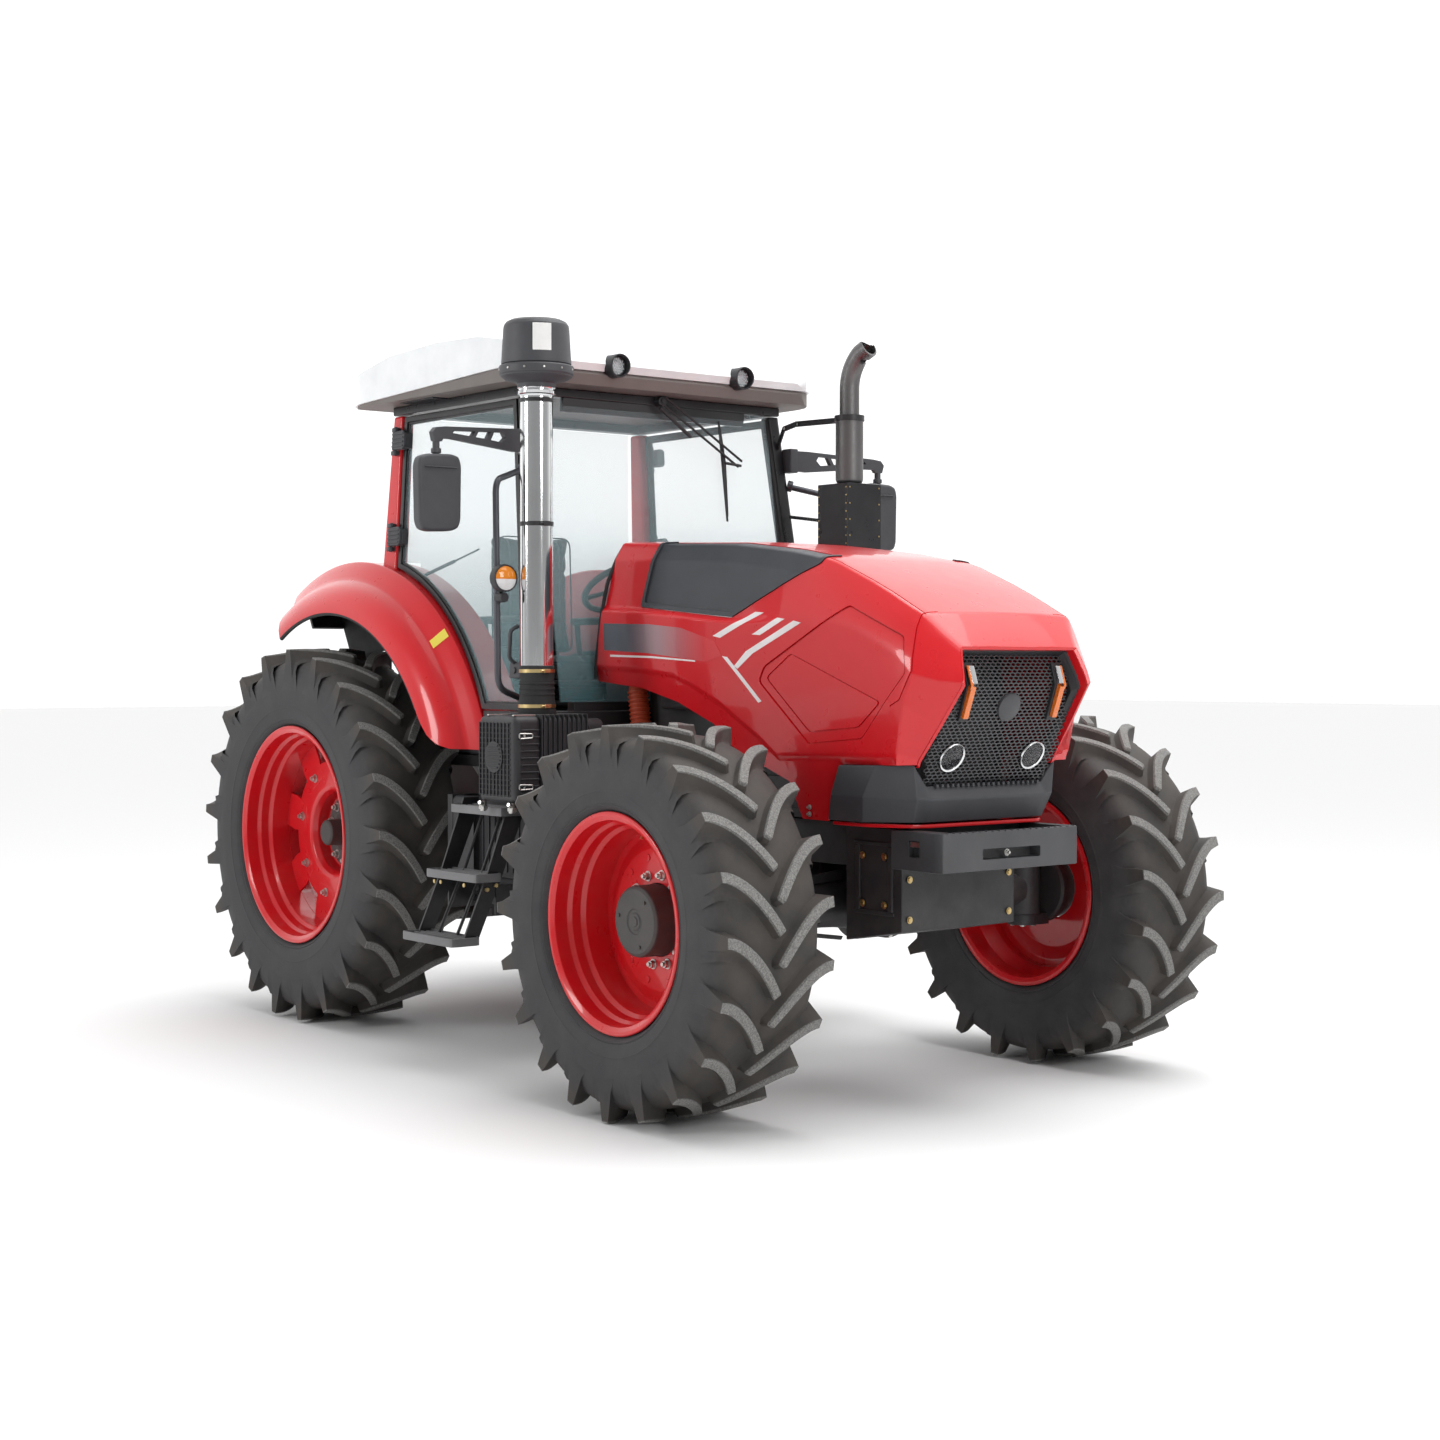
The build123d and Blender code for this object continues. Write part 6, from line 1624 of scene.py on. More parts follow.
def heat_shield():
    """Round sleeve with the square box above it, riveted along its folds."""
    x, y = PIPE
    sleeve = spun([(0.0815, 1.702), (0.0815, 2.135), (0.0795, 2.135), (0.0795, 1.702)], (x, y, 0), axis="z", steps=64)
    box = block((x - 0.097, x + 0.097), (y - 0.097, y + 0.097), (2.131, 2.449), 0.004)
    carve(box, cylinder((x, y, 2.05), (x, y, 2.55), 0.066, 0, 48))
    seam = [block((x - 0.0985, x - 0.083), (y - 0.0985, y + 0.0985), (2.132, 2.448), 0.002),
            block((x + 0.083, x + 0.0985), (y - 0.0985, y + 0.0985), (2.132, 2.448), 0.002)]
    settle(joined([sleeve, box] + seam), "heat_shield", "chassis", FINISH["gloss_black"], "exhaust_shield", slot="black_steel")
    heads = []
    for z in [2.150 + 0.035 * i for i in range(9)]:
        for dx in (-0.090, 0.090):
            heads += rivets([(x + dx, y - 0.0985, z), (x + dx, y + 0.0985, z)], (0, -1, 0))
    heads += rivets([(x + 0.0985, y + dy, 2.150 + 0.070 * i) for i in range(5) for dy in (-0.085, 0.085)], (1, 0, 0))
    settle(joined(heads), "shield_rivets", "chassis", FINISH["brass"])


def ladder():
    """Raked steps: wide side plates, folded tread pans with gripping teeth, and their brackets."""
    rail = [(0.884, 1.100), (0.950, 1.100), (1.060, 0.800), (1.180, 0.526), (1.108, 0.526), (0.985, 0.800), (0.884, 1.040)]
    parts = [prism(rail, "yz", (-1.500, -1.489), 0.002), prism(rail, "yz", (-1.150, -1.138), 0.002)]
    pans = []
    for y, z, reach in ((0.900, 1.040, 0.110), (1.000, 0.776, 0.130), (1.104, 0.524, 0.140)):
        pan = prism(chamfered([(-1.508, y), (-1.508, y + reach), (-1.112, y + reach), (-1.112, y)], 0.022), "xy",
                    (z, z + 0.034), 0.002)
        well = prism(chamfered([(-1.500, y + 0.008), (-1.500, y + reach - 0.008), (-1.120, y + reach - 0.008),
                                (-1.120, y + 0.008)], 0.018), "xy", (z + 0.004, z + 0.05), 0)
        pans.append(carve(pan, well))
        pans += [block((-1.500, -1.120), (v, v + 0.003), (z + 0.002, z + 0.030), 0.0008, 1)
                  for v in [y + 0.030 + 0.026 * i for i in range(int((reach - 0.04) / 0.026))]]
    parts += [block((-1.510, -1.110), (0.884, 0.905), (0.660, 0.690), 0.002),
              block((-1.508, -1.497), (0.884, 1.020), (0.640, 0.760), 0.002),
              block((-1.148, -1.132), (0.884, 1.020), (0.640, 0.760), 0.002),
              block((-1.558, -1.502), (0.232, 0.900), (0.642, 0.688), 0.006),
              block((-1.178, -1.122), (0.232, 0.900), (0.642, 0.688), 0.006)]
    parts += [bar([(x, 0.905, 1.060), (x, 1.010, 0.790)], 0.007, 0, 10) for x in (-1.40, -1.26)]
    parts += [bar([(x, 1.020, 0.780), (x, 1.130, 0.545)], 0.007, 0, 10) for x in (-1.40, -1.26)]
    settle(both(*parts), "ladder", "chassis", FINISH["black"], "steps", slot="black_steel")
    settle(both(*pans), "ladder_treads", "chassis", FINISH["tread_grey"], slot="black_steel")
    bolts = [cylinder((x, 1.128, 0.762), (x, 1.133, 0.762), 0.009, 0.001, 6) for x in (-1.43, -1.38, -1.20)]
    bolts += [cylinder((-1.139, y, z), (-1.130, y, z), 0.010, 0.001, 6) for y, z in ((1.020, 0.760), (1.062, 0.745))]
    settle(both(*bolts), "ladder_bolts", "chassis", FINISH["brass"])


def tanks():
    """Moulded fuel tanks: rounded shell with straps and a filler neck."""
    shell = prism(chamfered([(-1.748, 0.742), (-1.700, 0.692), (-1.062, 0.692), (-1.002, 0.752), (-1.002, 1.098),
                             (-1.748, 1.098)], 0.030), "xz", (0.302, 0.878), 0.032, 4, 40)
    carve(shell, block((-1.530, -1.090), (0.847, 0.93), (0.765, 1.20), 0.012))
    ribs = [block((x, x + 0.010), (0.846, 0.852), (0.790, 1.06), 0.002) for x in [-1.505 + 0.046 * i for i in range(9)]]
    neck = cylinder((-1.640, 0.800, 1.080), (-1.640, 0.800, 1.098), 0.055, 0.006, 40)
    settle(both(shell, neck, *ribs), "tank_shells", "chassis", FINISH["plastic"], "fuel_tanks", slot="black_plastic")
    straps = [block((x, x + 0.040), (0.300, 0.8805), (0.6885, 1.1005), 0.002) for x in (-1.735, -1.060)]
    hollow = [block((x - 0.01, x + 0.05), (0.305, 0.8765), (0.693, 1.096), 0.030, 4) for x in (-1.735, -1.060)]
    carve(joined(straps), joined(hollow))
    band = bpy.context.view_layer.objects.active
    settle(both(band), "tank_straps", "chassis", FINISH["black"])


def outside():
    filter_box()
    stack()
    settle(precleaner(), "precleaner_label", "chassis", FINISH["label"])
    exhaust()
    heat_shield()
    ladder()
    tanks()


outside()


# ---- castings, axles and linkage ----------------------------------------------------------------
BODY_OF = {node: body for body, nodes in frame["record"]["behaviour"]["bodies"].items() for node in nodes}
SLOT_OF = {part["node"]: part["material_slot"] for part in frame["record"]["subparts"]}
AXLE_Z, REAR_Z = FRONT_R, REAR_R


def eased(node, width, segments=2):
    """A casting's own form with its corners rounded."""
    obj = bpy.data.objects.new("casting", frame["nodes"][node].data.copy())
    bpy.context.scene.collection.objects.link(obj)
    obj.data.transform(Matrix.Translation(-SHIFT))

    def steps():
        bpy.ops.mesh.remove_doubles(threshold=0.00005)
        bpy.ops.mesh.dissolve_limited(angle_limit=radians(2))
    return bevelled(edit(obj, steps), width, segments, 32)


def dressed(node, width, finish, *extras):
    """The rounded casting with what is bolted on it in the same finish, in the solid's place."""
    piece = joined([eased(node, width)] + list(extras))
    return settle(piece, f"{node}_body", BODY_OF[node], FINISH[finish], node, slot=SLOT_OF[node])


def bolt_ring(count, reach, place, axis, size=0.011, start=0.0):
    """Hexagon heads round an axis through place; axis is where the heads point."""
    x, y, z = place
    aim = Vector(axis)
    side = Vector((0, 0, 1)) if abs(aim.z) < 0.5 else Vector((1, 0, 0))
    centre = Vector(place) + side * reach
    head = joined([cylinder(centre, centre + aim * size * 0.7, size, 0.001, 6),
                   cylinder(centre, centre + aim * size * 0.25, size * 1.35, 0.0005, 20)])
    return around(head, count, (x, y, z), "XYZ"[[abs(v) > 0.5 for v in axis].index(True)], start)


def front_running_gear():
    rib = [prism([(0.10, AXLE_Z + 0.10), (0.78, AXLE_Z + 0.045), (0.78, AXLE_Z + 0.070), (0.15, AXLE_Z + 0.135)], "yz",
                 (-0.012, 0.012), 0.003),
           prism([(0.15, AXLE_Z - 0.125), (0.60, AXLE_Z - 0.060), (0.60, AXLE_Z - 0.078), (0.16, AXLE_Z - 0.140)], "yz",
                 (-0.012, 0.012), 0.003)]
    cover = spun([(0, 0.168), (0.060, 0.166), (0.100, 0.150), (0.128, 0.118), (0.134, 0.110), (0.134, 0.08), (0, 0.08)],
                 (0, 0, AXLE_Z), axis="x", steps=56)
    dressed("front_axle", 0.006, "casting", both(*rib), bevelled(cover, 0.003, 2, 30))
    settle(joined([bolt_ring(10, 0.120, (0.118, 0, AXLE_Z), (1, 0, 0), 0.009)]), "front_axle_bolts", "chassis",
           FINISH["zinc"])
    for label, side in SIDES.items():
        dressed(f"knuckle_{label}", 0.005, "casting")
        heads = [bolt_ring(4, 0.042, (0, side * 0.860, AXLE_Z + 0.150), (0, 0, 1), 0.010, radians(45)),
                 bolt_ring(4, 0.042, (0, side * 0.860, AXLE_Z - 0.150), (0, 0, -1), 0.010, radians(45)),
                 bolt_ring(1, 0.0, (-0.265, side * 0.815, AXLE_Z - 0.128), (0, 0, -1), 0.016)]
        settle(joined(heads), f"knuckle_bolts_{label}", f"{BODY_OF[f'knuckle_{label}']}", FINISH["zinc"])
    ports = [cylinder((-0.265, y, AXLE_Z - 0.124), (-0.265, y, AXLE_Z - 0.150), 0.013, 0.002, 6) for y in (-0.20, 0.20)]
    bands = [spun([(0.044, y), (0.050, y + 0.002), (0.050, y + 0.010), (0.044, y + 0.012)], (-0.265, 0, AXLE_Z - 0.08),
                  steps=40) for y in (0.105, 0.222)]
    dressed("steering_cylinder", 0.003, "black", both(*bands), *ports)
    boots = [spun([(0.018, 0.70), (0.024, 0.70), (0.030, 0.73), (0.030, 0.752), (0.018, 0.756)], (-0.265, 0, AXLE_Z - 0.08),
                  steps=32)]
    dressed("steering_rod", 0.003, "chrome")
    settle(both(*boots), "steering_rod_ends", BODY_OF["steering_rod"], FINISH["seal"])


def front_end_frame():
    lugs = [block((0.24, 0.46), (0.288, 0.300), (0.72, 0.735), 0.003), block((0.24, 0.46), (0.288, 0.300), (0.98, 0.995), 0.003),
            block((0.250, 0.275), (0.288, 0.303), (0.735, 0.98), 0.004), block((0.430, 0.455), (0.288, 0.303), (0.735, 0.98), 0.004)]
    dressed("front_frame", 0.008, "casting", both(*lugs))
    heads = [bolt_ring(1, 0.0, (0.505, y, z), (1, 0, 0), 0.010) for y in (-0.26, 0.26) for z in (0.71, 0.86)]
    heads += [bolt_ring(1, 0.0, (x, 0.300, z), (0, 1, 0), 0.011) for x in (0.29, 0.41) for z in (0.76, 0.94)]
    heads += [bolt_ring(1, 0.0, (x, -0.300, z), (0, -1, 0), 0.011) for x in (0.29, 0.41) for z in (0.76, 0.94)]
    settle(joined(heads), "front_frame_bolts", "chassis", FINISH["brass"])


def cooling():
    """Finned cooler between its tanks, with the shroud and the fan behind."""
    settle(block((0.222, 0.402), (-0.285, 0.285), (1.088, 1.708), 0.004), "cooler_core", "chassis", FINISH["core"],
           "radiator", slot="core_alloy")
    parts = [block((0.205, 0.425), (-0.305, 0.305), (1.704, 1.758), 0.016, 3), block((0.205, 0.425), (-0.305, 0.305), (1.052, 1.094), 0.012, 3),
             cylinder((0.31, 0.18, 1.75), (0.31, 0.18, 1.764), 0.032, 0.004, 24)]
    parts += [block((0.210, 0.422), sorted((s * 0.281, s * 0.308)), (1.06, 1.75), 0.005) for s in (1, -1)]
    parts.append(spun([(0.272, -0.075), (0.280, -0.075), (0.300, 0.0), (0.300, 0.008), (0.292, 0.008)], (0.200, 0, 1.40),
                      axis="x", steps=72))
    blade = prism([(0.07, -0.030), (0.255, -0.050), (0.262, 0.045), (0.07, 0.030)], "yz", (-0.003, 0.003), 0.002)
    blade.data.transform(Matrix.Translation((0.150, 0, 1.40)) @ Matrix.Rotation(radians(28), 4, "Y"))
    hub = cylinder((0.115, 0, 1.40), (0.178, 0, 1.40), 0.085, 0.010, 48)
    settle(joined(parts), "cooler_tanks", "chassis", FINISH["black"])
    settle(joined([hub, around(blade, 9, (0.15, 0, 1.40), "X")]), "cooling_fan", "chassis", FINISH["plastic"])


def engine():
    """Block with its covers, filters, pump, belt drive, manifolds and the orange charge-air pipe."""
    cover = [block((-0.98, 0.02), (-0.165, 0.165), (1.590, 1.668), 0.018, 4), block((-0.60, -0.50), (-0.05, 0.05), (1.66, 1.705), 0.008, 3),
             block((-0.98, 0.04), (0.262, 0.272), (1.06, 1.10), 0.004)]
    cover += [block((x, x + 0.014), (-0.160, 0.160), (1.664, 1.676), 0.003) for x in (-0.86, -0.70, -0.40, -0.24, -0.08)]
    pump = [block((-0.50, -0.20), (-0.360, -0.265), (1.28, 1.40), 0.014, 3), cylinder((-0.20, -0.31, 1.34), (-0.13, -0.31, 1.34), 0.052, 0.006),
            block((-0.95, -0.12), (-0.330, -0.262), (1.470, 1.545), 0.020, 4), block((-0.30, 0.08), (-0.285, -0.262), (1.10, 1.22), 0.006),
            cylinder((-0.96, -0.330, 1.185), (-0.72, -0.330, 1.185), 0.062, 0.008, 40), cylinder((-0.72, -0.330, 1.185), (-0.66, -0.330, 1.185), 0.040, 0.006, 32)]
    pump += [cylinder((-0.47 + 0.048 * i, -0.315, 1.395), (-0.47 + 0.048 * i, -0.315, 1.425), 0.010, 0.002, 6) for i in range(6)]
    manifold = [block((-0.90, -0.02), (0.268, 0.325), (1.430, 1.500), 0.020, 4), cylinder((-0.84, 0.25, 1.480), (-0.84, 0.268, 1.480), 0.070, 0.004, 32),
                cylinder((-0.42, 0.31, 1.40), (-0.24, 0.31, 1.40), 0.078, 0.022, 40), cylinder((-0.30, 0.31, 1.40), (-0.30, 0.40, 1.40), 0.040, 0.006, 28)]
    for node, parts in (("engine", cover + pump + manifold),):
        dressed(node, 0.006, "casting", *parts)
    lines = [bar([(-0.47 + 0.048 * i, -0.315, 1.42), (-0.47 + 0.048 * i, -0.325, 1.50 + 0.008 * i),
                  (-0.90 + 0.150 * i, -0.300, 1.60), (-0.90 + 0.150 * i, -0.168, 1.615)], 0.0035, 0.03, 8) for i in range(6)]
    lines += [bar([(-0.13, -0.31, 1.34), (-0.02, -0.32, 1.30), (0.02, -0.30, 1.16)], 0.006, 0.05, 10)]
    settle(joined(lines), "fuel_lines", "chassis", FINISH["zinc"])
    filters = [spun([(0, 0.0), (0.040, 0.0), (0.046, 0.008), (0.046, 0.120), (0.050, 0.126), (0.050, 0.150), (0, 0.152)],
                    (x, -0.345, 1.10), axis="z", steps=40) for x in (-0.58, -0.47)]
    settle(joined(filters + [block((-0.64, -0.41), (-0.40, -0.262), (1.246, 1.268), 0.005)]), "fuel_filters", "chassis", FINISH["plastic"])
    pulleys = []
    for y, z, r in ((0, 1.40, 0.070), (0, 1.16, 0.095), (-0.20, 1.50, 0.042)):
        pulleys.append(spun([(0, 0.104), (r - 0.02, 0.104), (r, 0.100), (r - 0.008, 0.090), (r, 0.080), (r - 0.008, 0.070),
                             (r, 0.060), (r - 0.03, 0.056), (0, 0.050)], (0.035, y, z), axis="x", steps=40))
        pulleys.append(cylinder((0.10, y, z), (0.145, y, z), 0.018, 0.002, 20))
    pulleys.append(cylinder((0.02, -0.20, 1.50), (0.09, -0.20, 1.50), 0.062, 0.008, 36))
    settle(joined(pulleys), "belt_pulleys", "chassis", FINISH["zinc"])
    belt = bar([(0.115, 0.098, 1.16), (0.115, 0.073, 1.40), (0.115, -0.175, 1.535), (0.115, -0.240, 1.50), (0.115, -0.098, 1.15),
                (0.115, 0.0, 1.063)], 0.006, 0.05, 8, True)
    settle(belt, "fan_belt", "chassis", FINISH["seal"])
    top, foot = Vector((-1.112, -0.322, 1.575)), Vector((-1.072, -0.322, 1.290))
    hose = [bar([top + Vector((0.0, 0.06, 0.03)), top, foot, foot + Vector((0.05, 0.05, -0.03))], 0.040, 0.05, 24)]
    run = foot - top
    ring = spun([(0.039, -0.006), (0.0455, -0.003), (0.0455, 0.003), (0.039, 0.006)], (0, 0, 0), axis="z", steps=28)
    ring.data.transform(run.to_track_quat("Z", "Y").to_matrix().to_4x4())
    hose += [copied(ring, Matrix.Translation(top + run * (0.12 + 0.064 * i))) for i in range(13)]
    bpy.data.objects.remove(ring)
    settle(joined(hose), "charge_air_pipe", "chassis", FINISH["orange"])
    settle(bolt_ring(6, 0.055, (-0.84, 0.284, 1.480), (0, 1, 0), 0.008), "manifold_bolts", "chassis", FINISH["zinc"])


def driveline():
    flanges = [block((x - 0.012, x + 0.012), (-0.245, 0.245), (z0, z1), 0.010, 3)
               for x, z0, z1 in ((-1.100, 0.61, 1.065), (-1.750, 0.585, 1.062), (-2.440, 0.548, 1.10))]
    ribs = [prism([(x, 0.66), (x + 0.016, 0.66), (x + 0.016, 1.03), (x, 1.03)], "xz", (0.226, 0.238), 0.003)
            for x in (-1.30, -1.52, -1.95, -2.15)]
    covers = [cylinder((-2.90, 0.228, 0.90), (-2.90, 0.246, 0.90), 0.10, 0.005, 40), block((-2.30, -2.02), (0.228, 0.244), (0.76, 0.95), 0.008),
              cylinder((-1.42, 0.228, 0.80), (-1.42, 0.250, 0.80), 0.060, 0.005, 32)]
    dressed("transmission", 0.012, "casting", *flanges, both(*(ribs + covers)))
    heads = [bolt_ring(1, 0.0, (x, 0.246, z), (0, 1, 0), 0.010) for x in (-1.75, -2.44) for z in (0.66, 0.78, 0.90, 1.02)]
    heads += [bolt_ring(8, 0.085, (-2.90, 0.246, 0.90), (0, 1, 0), 0.008), bolt_ring(6, 0.048, (-1.42, 0.250, 0.80), (0, 1, 0), 0.007)]
    settle(both(*heads), "driveline_bolts", "chassis", FINISH["zinc"])
    rib = prism([(0.30, REAR_Z + 0.16), (0.66, REAR_Z + 0.098), (0.66, REAR_Z + 0.115), (0.31, REAR_Z + 0.185)], "yz", (-0.010, 0.010), 0.003)
    rib.data.transform(Matrix.Translation((REAR_X, 0, 0)))
    foot = around(rib, 6, (REAR_X, 0, REAR_Z), "Y", radians(30))
    dressed("rear_axle", 0.006, "casting", both(foot))
    settle(both(bolt_ring(12, 0.152, (REAR_X, 0.300, REAR_Z), (0, 1, 0), 0.010)), "rear_axle_bolts", "chassis", FINISH["zinc"])


def link_end(place, radius, bore, half, side=1):
    """A ball in its eye, lying across the tractor."""
    x, y, z = place
    ball = spun([(bore, -half), (bore + 0.006, -half), (radius - 0.010, -half * 0.6), (radius - 0.006, 0), (radius - 0.010, half * 0.6),
                 (bore + 0.006, half), (bore, half)], (x, y, z), steps=36)
    return ball


def rear_linkage():
    """Lift arms, links with balls, levelling rods with their sleeves, stowed top link, drawbar and shaft."""
    lx, lz = LIFT = (-3.000, 1.230)
    px, pz = -3.020, 0.600
    caps = [cylinder((lx, 0.285, lz), (lx, 0.295, lz), 0.050, 0.004, 32)]
    dressed("lift_arms", 0.005, "black", both(*caps))
    dressed("lower_links", 0.006, "black")
    settle(both(link_end((-3.820, 0.4225, pz), 0.040, 0.0188, 0.029), cylinder((px, 0.298, pz), (px, 0.310, pz), 0.028, 0.003, 24)),
           "link_balls", BODY_OF["lower_links"], FINISH["zinc"])
    top, foot = Vector((lx - 0.380, 0.325, lz)), Vector((px - 0.380, 0.380, pz))
    run = foot - top
    sleeve = [cylinder(top + run * 0.30, top + run * 0.72, 0.027, 0.004, 28), cylinder(top + run * 0.28, top + run * 0.31, 0.031, 0.003, 6),
              cylinder(top + run * 0.71, top + run * 0.74, 0.031, 0.003, 6)]
    dressed("lift_rods", 0.004, "black", both(*sleeve))
    threads = [cylinder(top + run * (0.745 + 0.012 * i), top + run * (0.750 + 0.012 * i), 0.0195, 0.0008, 20) for i in range(12)]
    settle(both(*threads), "lift_rod_threads", BODY_OF["lift_rods"], FINISH["zinc"])
    a, b = Vector((-3.100, 0, 1.090)), Vector((-3.190, 0, 1.560))
    along_link = b - a
    turnbuckle = [cylinder(a + along_link * 0.26, a + along_link * 0.78, 0.028, 0.004, 28),
                  cylinder(a + along_link * 0.50 + Vector((-0.09, 0, -0.01)), a + along_link * 0.50 + Vector((0.09, 0, 0.015)), 0.008, 0.002, 12)]
    for end in (a, b):
        turnbuckle.append(spun([(0.013, -0.022), (0.034, -0.022), (0.036, 0), (0.034, 0.022), (0.013, 0.022)], tuple(end), steps=32))
    dressed("top_link", 0.004, "black", *turnbuckle)
    pin = [cylinder((-3.100, -0.07, 1.090), (-3.100, 0.085, 1.090), 0.011, 0.002, 20), bar([(-3.10, 0.085, 1.090), (-3.10, 0.10, 1.13), (-3.10, 0.085, 1.15)], 0.004, 0.01, 8)]
    settle(joined(pin), "top_link_pin", "chassis", FINISH["zinc"])
    dressed("drawbar", 0.005, "black")
    settle(bolt_ring(2, 0.0, (-2.98, 0.09, 0.400), (0, 0, -1), 0.014), "drawbar_bolts", "chassis", FINISH["zinc"])
    dressed("pto_guard", 0.003, "black", block((-3.072, -3.062), (-0.120, 0.120), (0.690, 0.700), 0.002))
    spline = block((-3.168, -3.072), (-0.0022, 0.0022), (0.745 + 0.0155, 0.745 + 0.0195), 0.0006, 1)
    settle(around(spline, 18, (0, 0, 0.745), "X"), "pto_splines", "chassis", FINISH["zinc"])
    valve = [block((-3.105, -3.045), (-0.20, 0.20), (0.900, 0.985), 0.008, 3)]
    couplers, dust = [], []
    for i in range(4):
        y = -0.150 + 0.100 * i
        couplers.append(spun([(0.013, -0.060), (0.024, -0.060), (0.026, -0.045), (0.022, -0.040), (0.022, 0.0), (0.013, 0.0)],
                             (-3.100, y, 0.942), axis="x", steps=28))
        dust.append(cylinder((-3.158, y, 0.942), (-3.172, y, 0.942), 0.025, 0.004, 24))
    settle(joined(valve + couplers), "remote_couplers", "chassis", FINISH["bracket"], slot="black_steel")
    settle(joined(dust), "coupler_caps", "chassis", FINISH["orange"])


front_running_gear()
front_end_frame()
cooling()
engine()
driveline()
rear_linkage()


# ---- driver's place -----------------------------------------------------------------------------
SEAT_X = -2.170
COLUMN = Matrix.Translation((-1.640, 0, 2.010)) @ Matrix.Rotation(radians(-32), 4, "Y")


def inflated(shape, cap, pressure=4.0):
    """Blow a closed cloth shape up a little, as its filling does, each point held within cap."""
    shape.data.remesh_voxel_size = 0.006
    only(shape)
    bpy.ops.object.voxel_remesh()
    start = [v.co.copy() for v in shape.data.vertices]
    cloth = shape.modifiers.new("cloth", "CLOTH")
    cloth.settings.use_pressure = True
    cloth.settings.uniform_pressure_force = pressure
    cloth.settings.effector_weights.gravity = 0
    cloth.point_cache.frame_start, cloth.point_cache.frame_end = 1, 20
    for step in range(1, 21):
        bpy.context.scene.frame_set(step)
    bpy.ops.object.modifier_apply(modifier="cloth")
    bpy.context.scene.frame_set(1)
    for v, place in zip(shape.data.vertices, start):
        move = v.co - place
        if move.length > cap:
            v.co = place + move.normalized() * cap
    return modify(shape, "SUBSURF", levels=1, render_levels=1)


def sewn(obj, lines, depth=0.009, width=0.009):
    """Press sewn channels into the crown: each line gives a distance from a point, in metres."""
    for v in obj.data.vertices:
        gap, inward = min((abs(line(v.co)[0]), line(v.co)[1]) for line in lines)
        if gap < width * 3:
            v.co += inward * depth * 2.718 ** (-(gap / width) ** 2)
    return obj


def cushion(outline, plane, span, name, node, lines, piping):
    """One padded piece in its place with its sewn channels and its piping."""
    pad = prism(outline, plane, span, 0.030, 4, 30)
    sewn(inflated(pad, 0.024), lines)
    settle(pad, name, "chassis", FINISH["cloth"], node, angle=80, slot="seat_fabric")
    settle(bar(piping, 0.0035, 0.05, 8, True), f"{name}_piping", "chassis", FINISH["seal"], slot="seat_fabric")


def seat():
    """Sprung seat: padded cushion and back, armrests, slide plate and rubber bellows."""
    x = SEAT_X
    down, back = Vector((0, 0, -1)), Vector((-0.97, 0, -0.15))

    def across(at):
        return lambda p: (p.x - at if p.z > 1.64 else 1.0, down)

    def length(at, way, low):
        return lambda p: (abs(abs(p.y) - at) if (p.z if way is down else p.x + 0.15 * (p.z - 1.7)) > low else 1.0, way)

    def level(at):
        return lambda p: (p.z - at if p.x + 0.15 * (p.z - 1.7) > x - 0.245 else 1.0, back)

    cushion(chamfered([(x - 0.180, -0.225), (x + 0.245, -0.235), (x + 0.245, 0.235), (x - 0.180, 0.225)], 0.05), "xy",
            (1.600, 1.676), "seat_cushion", "seat_cushion",
            [across(x - 0.06), across(x + 0.05), across(x + 0.155), length(0.150, down, 1.64)],
            [(x - 0.19, -0.215, 1.668), (x + 0.245, -0.225, 1.668), (x + 0.245, 0.225, 1.668), (x - 0.19, 0.215, 1.668)])
    cushion(chamfered([(x - 0.205, 1.715), (x - 0.282, 1.715), (x - 0.288, 2.270), (x - 0.222, 2.278)], 0.02), "xz",
            (-0.210, 0.210), "seat_back", "seat_back",
            [level(1.86), level(1.98), level(2.10), length(0.140, back, x - 0.245)],
            [(x - 0.195, -0.205, 1.72), (x - 0.215, -0.205, 2.265), (x - 0.215, 0.205, 2.265), (x - 0.195, 0.205, 1.72)])
    folds = [prism(chamfered([(x - 0.19 + d, -0.18 + d), (x + 0.19 - d, -0.18 + d), (x + 0.19 - d, 0.18 - d),
                              (x - 0.19 + d, 0.18 - d)], 0.05), "xy", (z, z + 0.030), 0.010, 3)
             for d, z in [(0.0 if i % 2 else 0.022, 1.262 + 0.029 * i) for i in range(10)]]
    settle(joined(folds), "seat_bellows", "chassis", FINISH["seal"], "seat_base", slot="black_steel")
    frame_parts = [block((x - 0.24, x + 0.23), (-0.230, 0.230), (1.562, 1.588), 0.008, 3), block((x - 0.30, x - 0.282), (-0.19, 0.19), (1.60, 2.22), 0.008, 3)]
    frame_parts += [block((x - 0.26, x + 0.18), sorted((s * 0.150, s * 0.172)), (1.545, 1.562), 0.003) for s in (1, -1)]
    frame_parts += [bar([(x - 0.20, s * 0.262, 1.60), (x - 0.24, s * 0.262, 1.86)], 0.014, 0, 12) for s in (1, -1)]
    frame_parts += [block((x - 0.270, x + 0.060), sorted((s * 0.235, s * 0.288)), (1.850, 1.885), 0.014, 4) for s in (1, -1)]
    frame_parts += [block((x - 0.24, x - 0.17), sorted((s * 0.225, s * 0.270)), (1.575, 1.620), 0.006) for s in (1, -1)]
    settle(joined(frame_parts), "seat_frame", "chassis", FINISH["plastic"], slot="black_plastic")


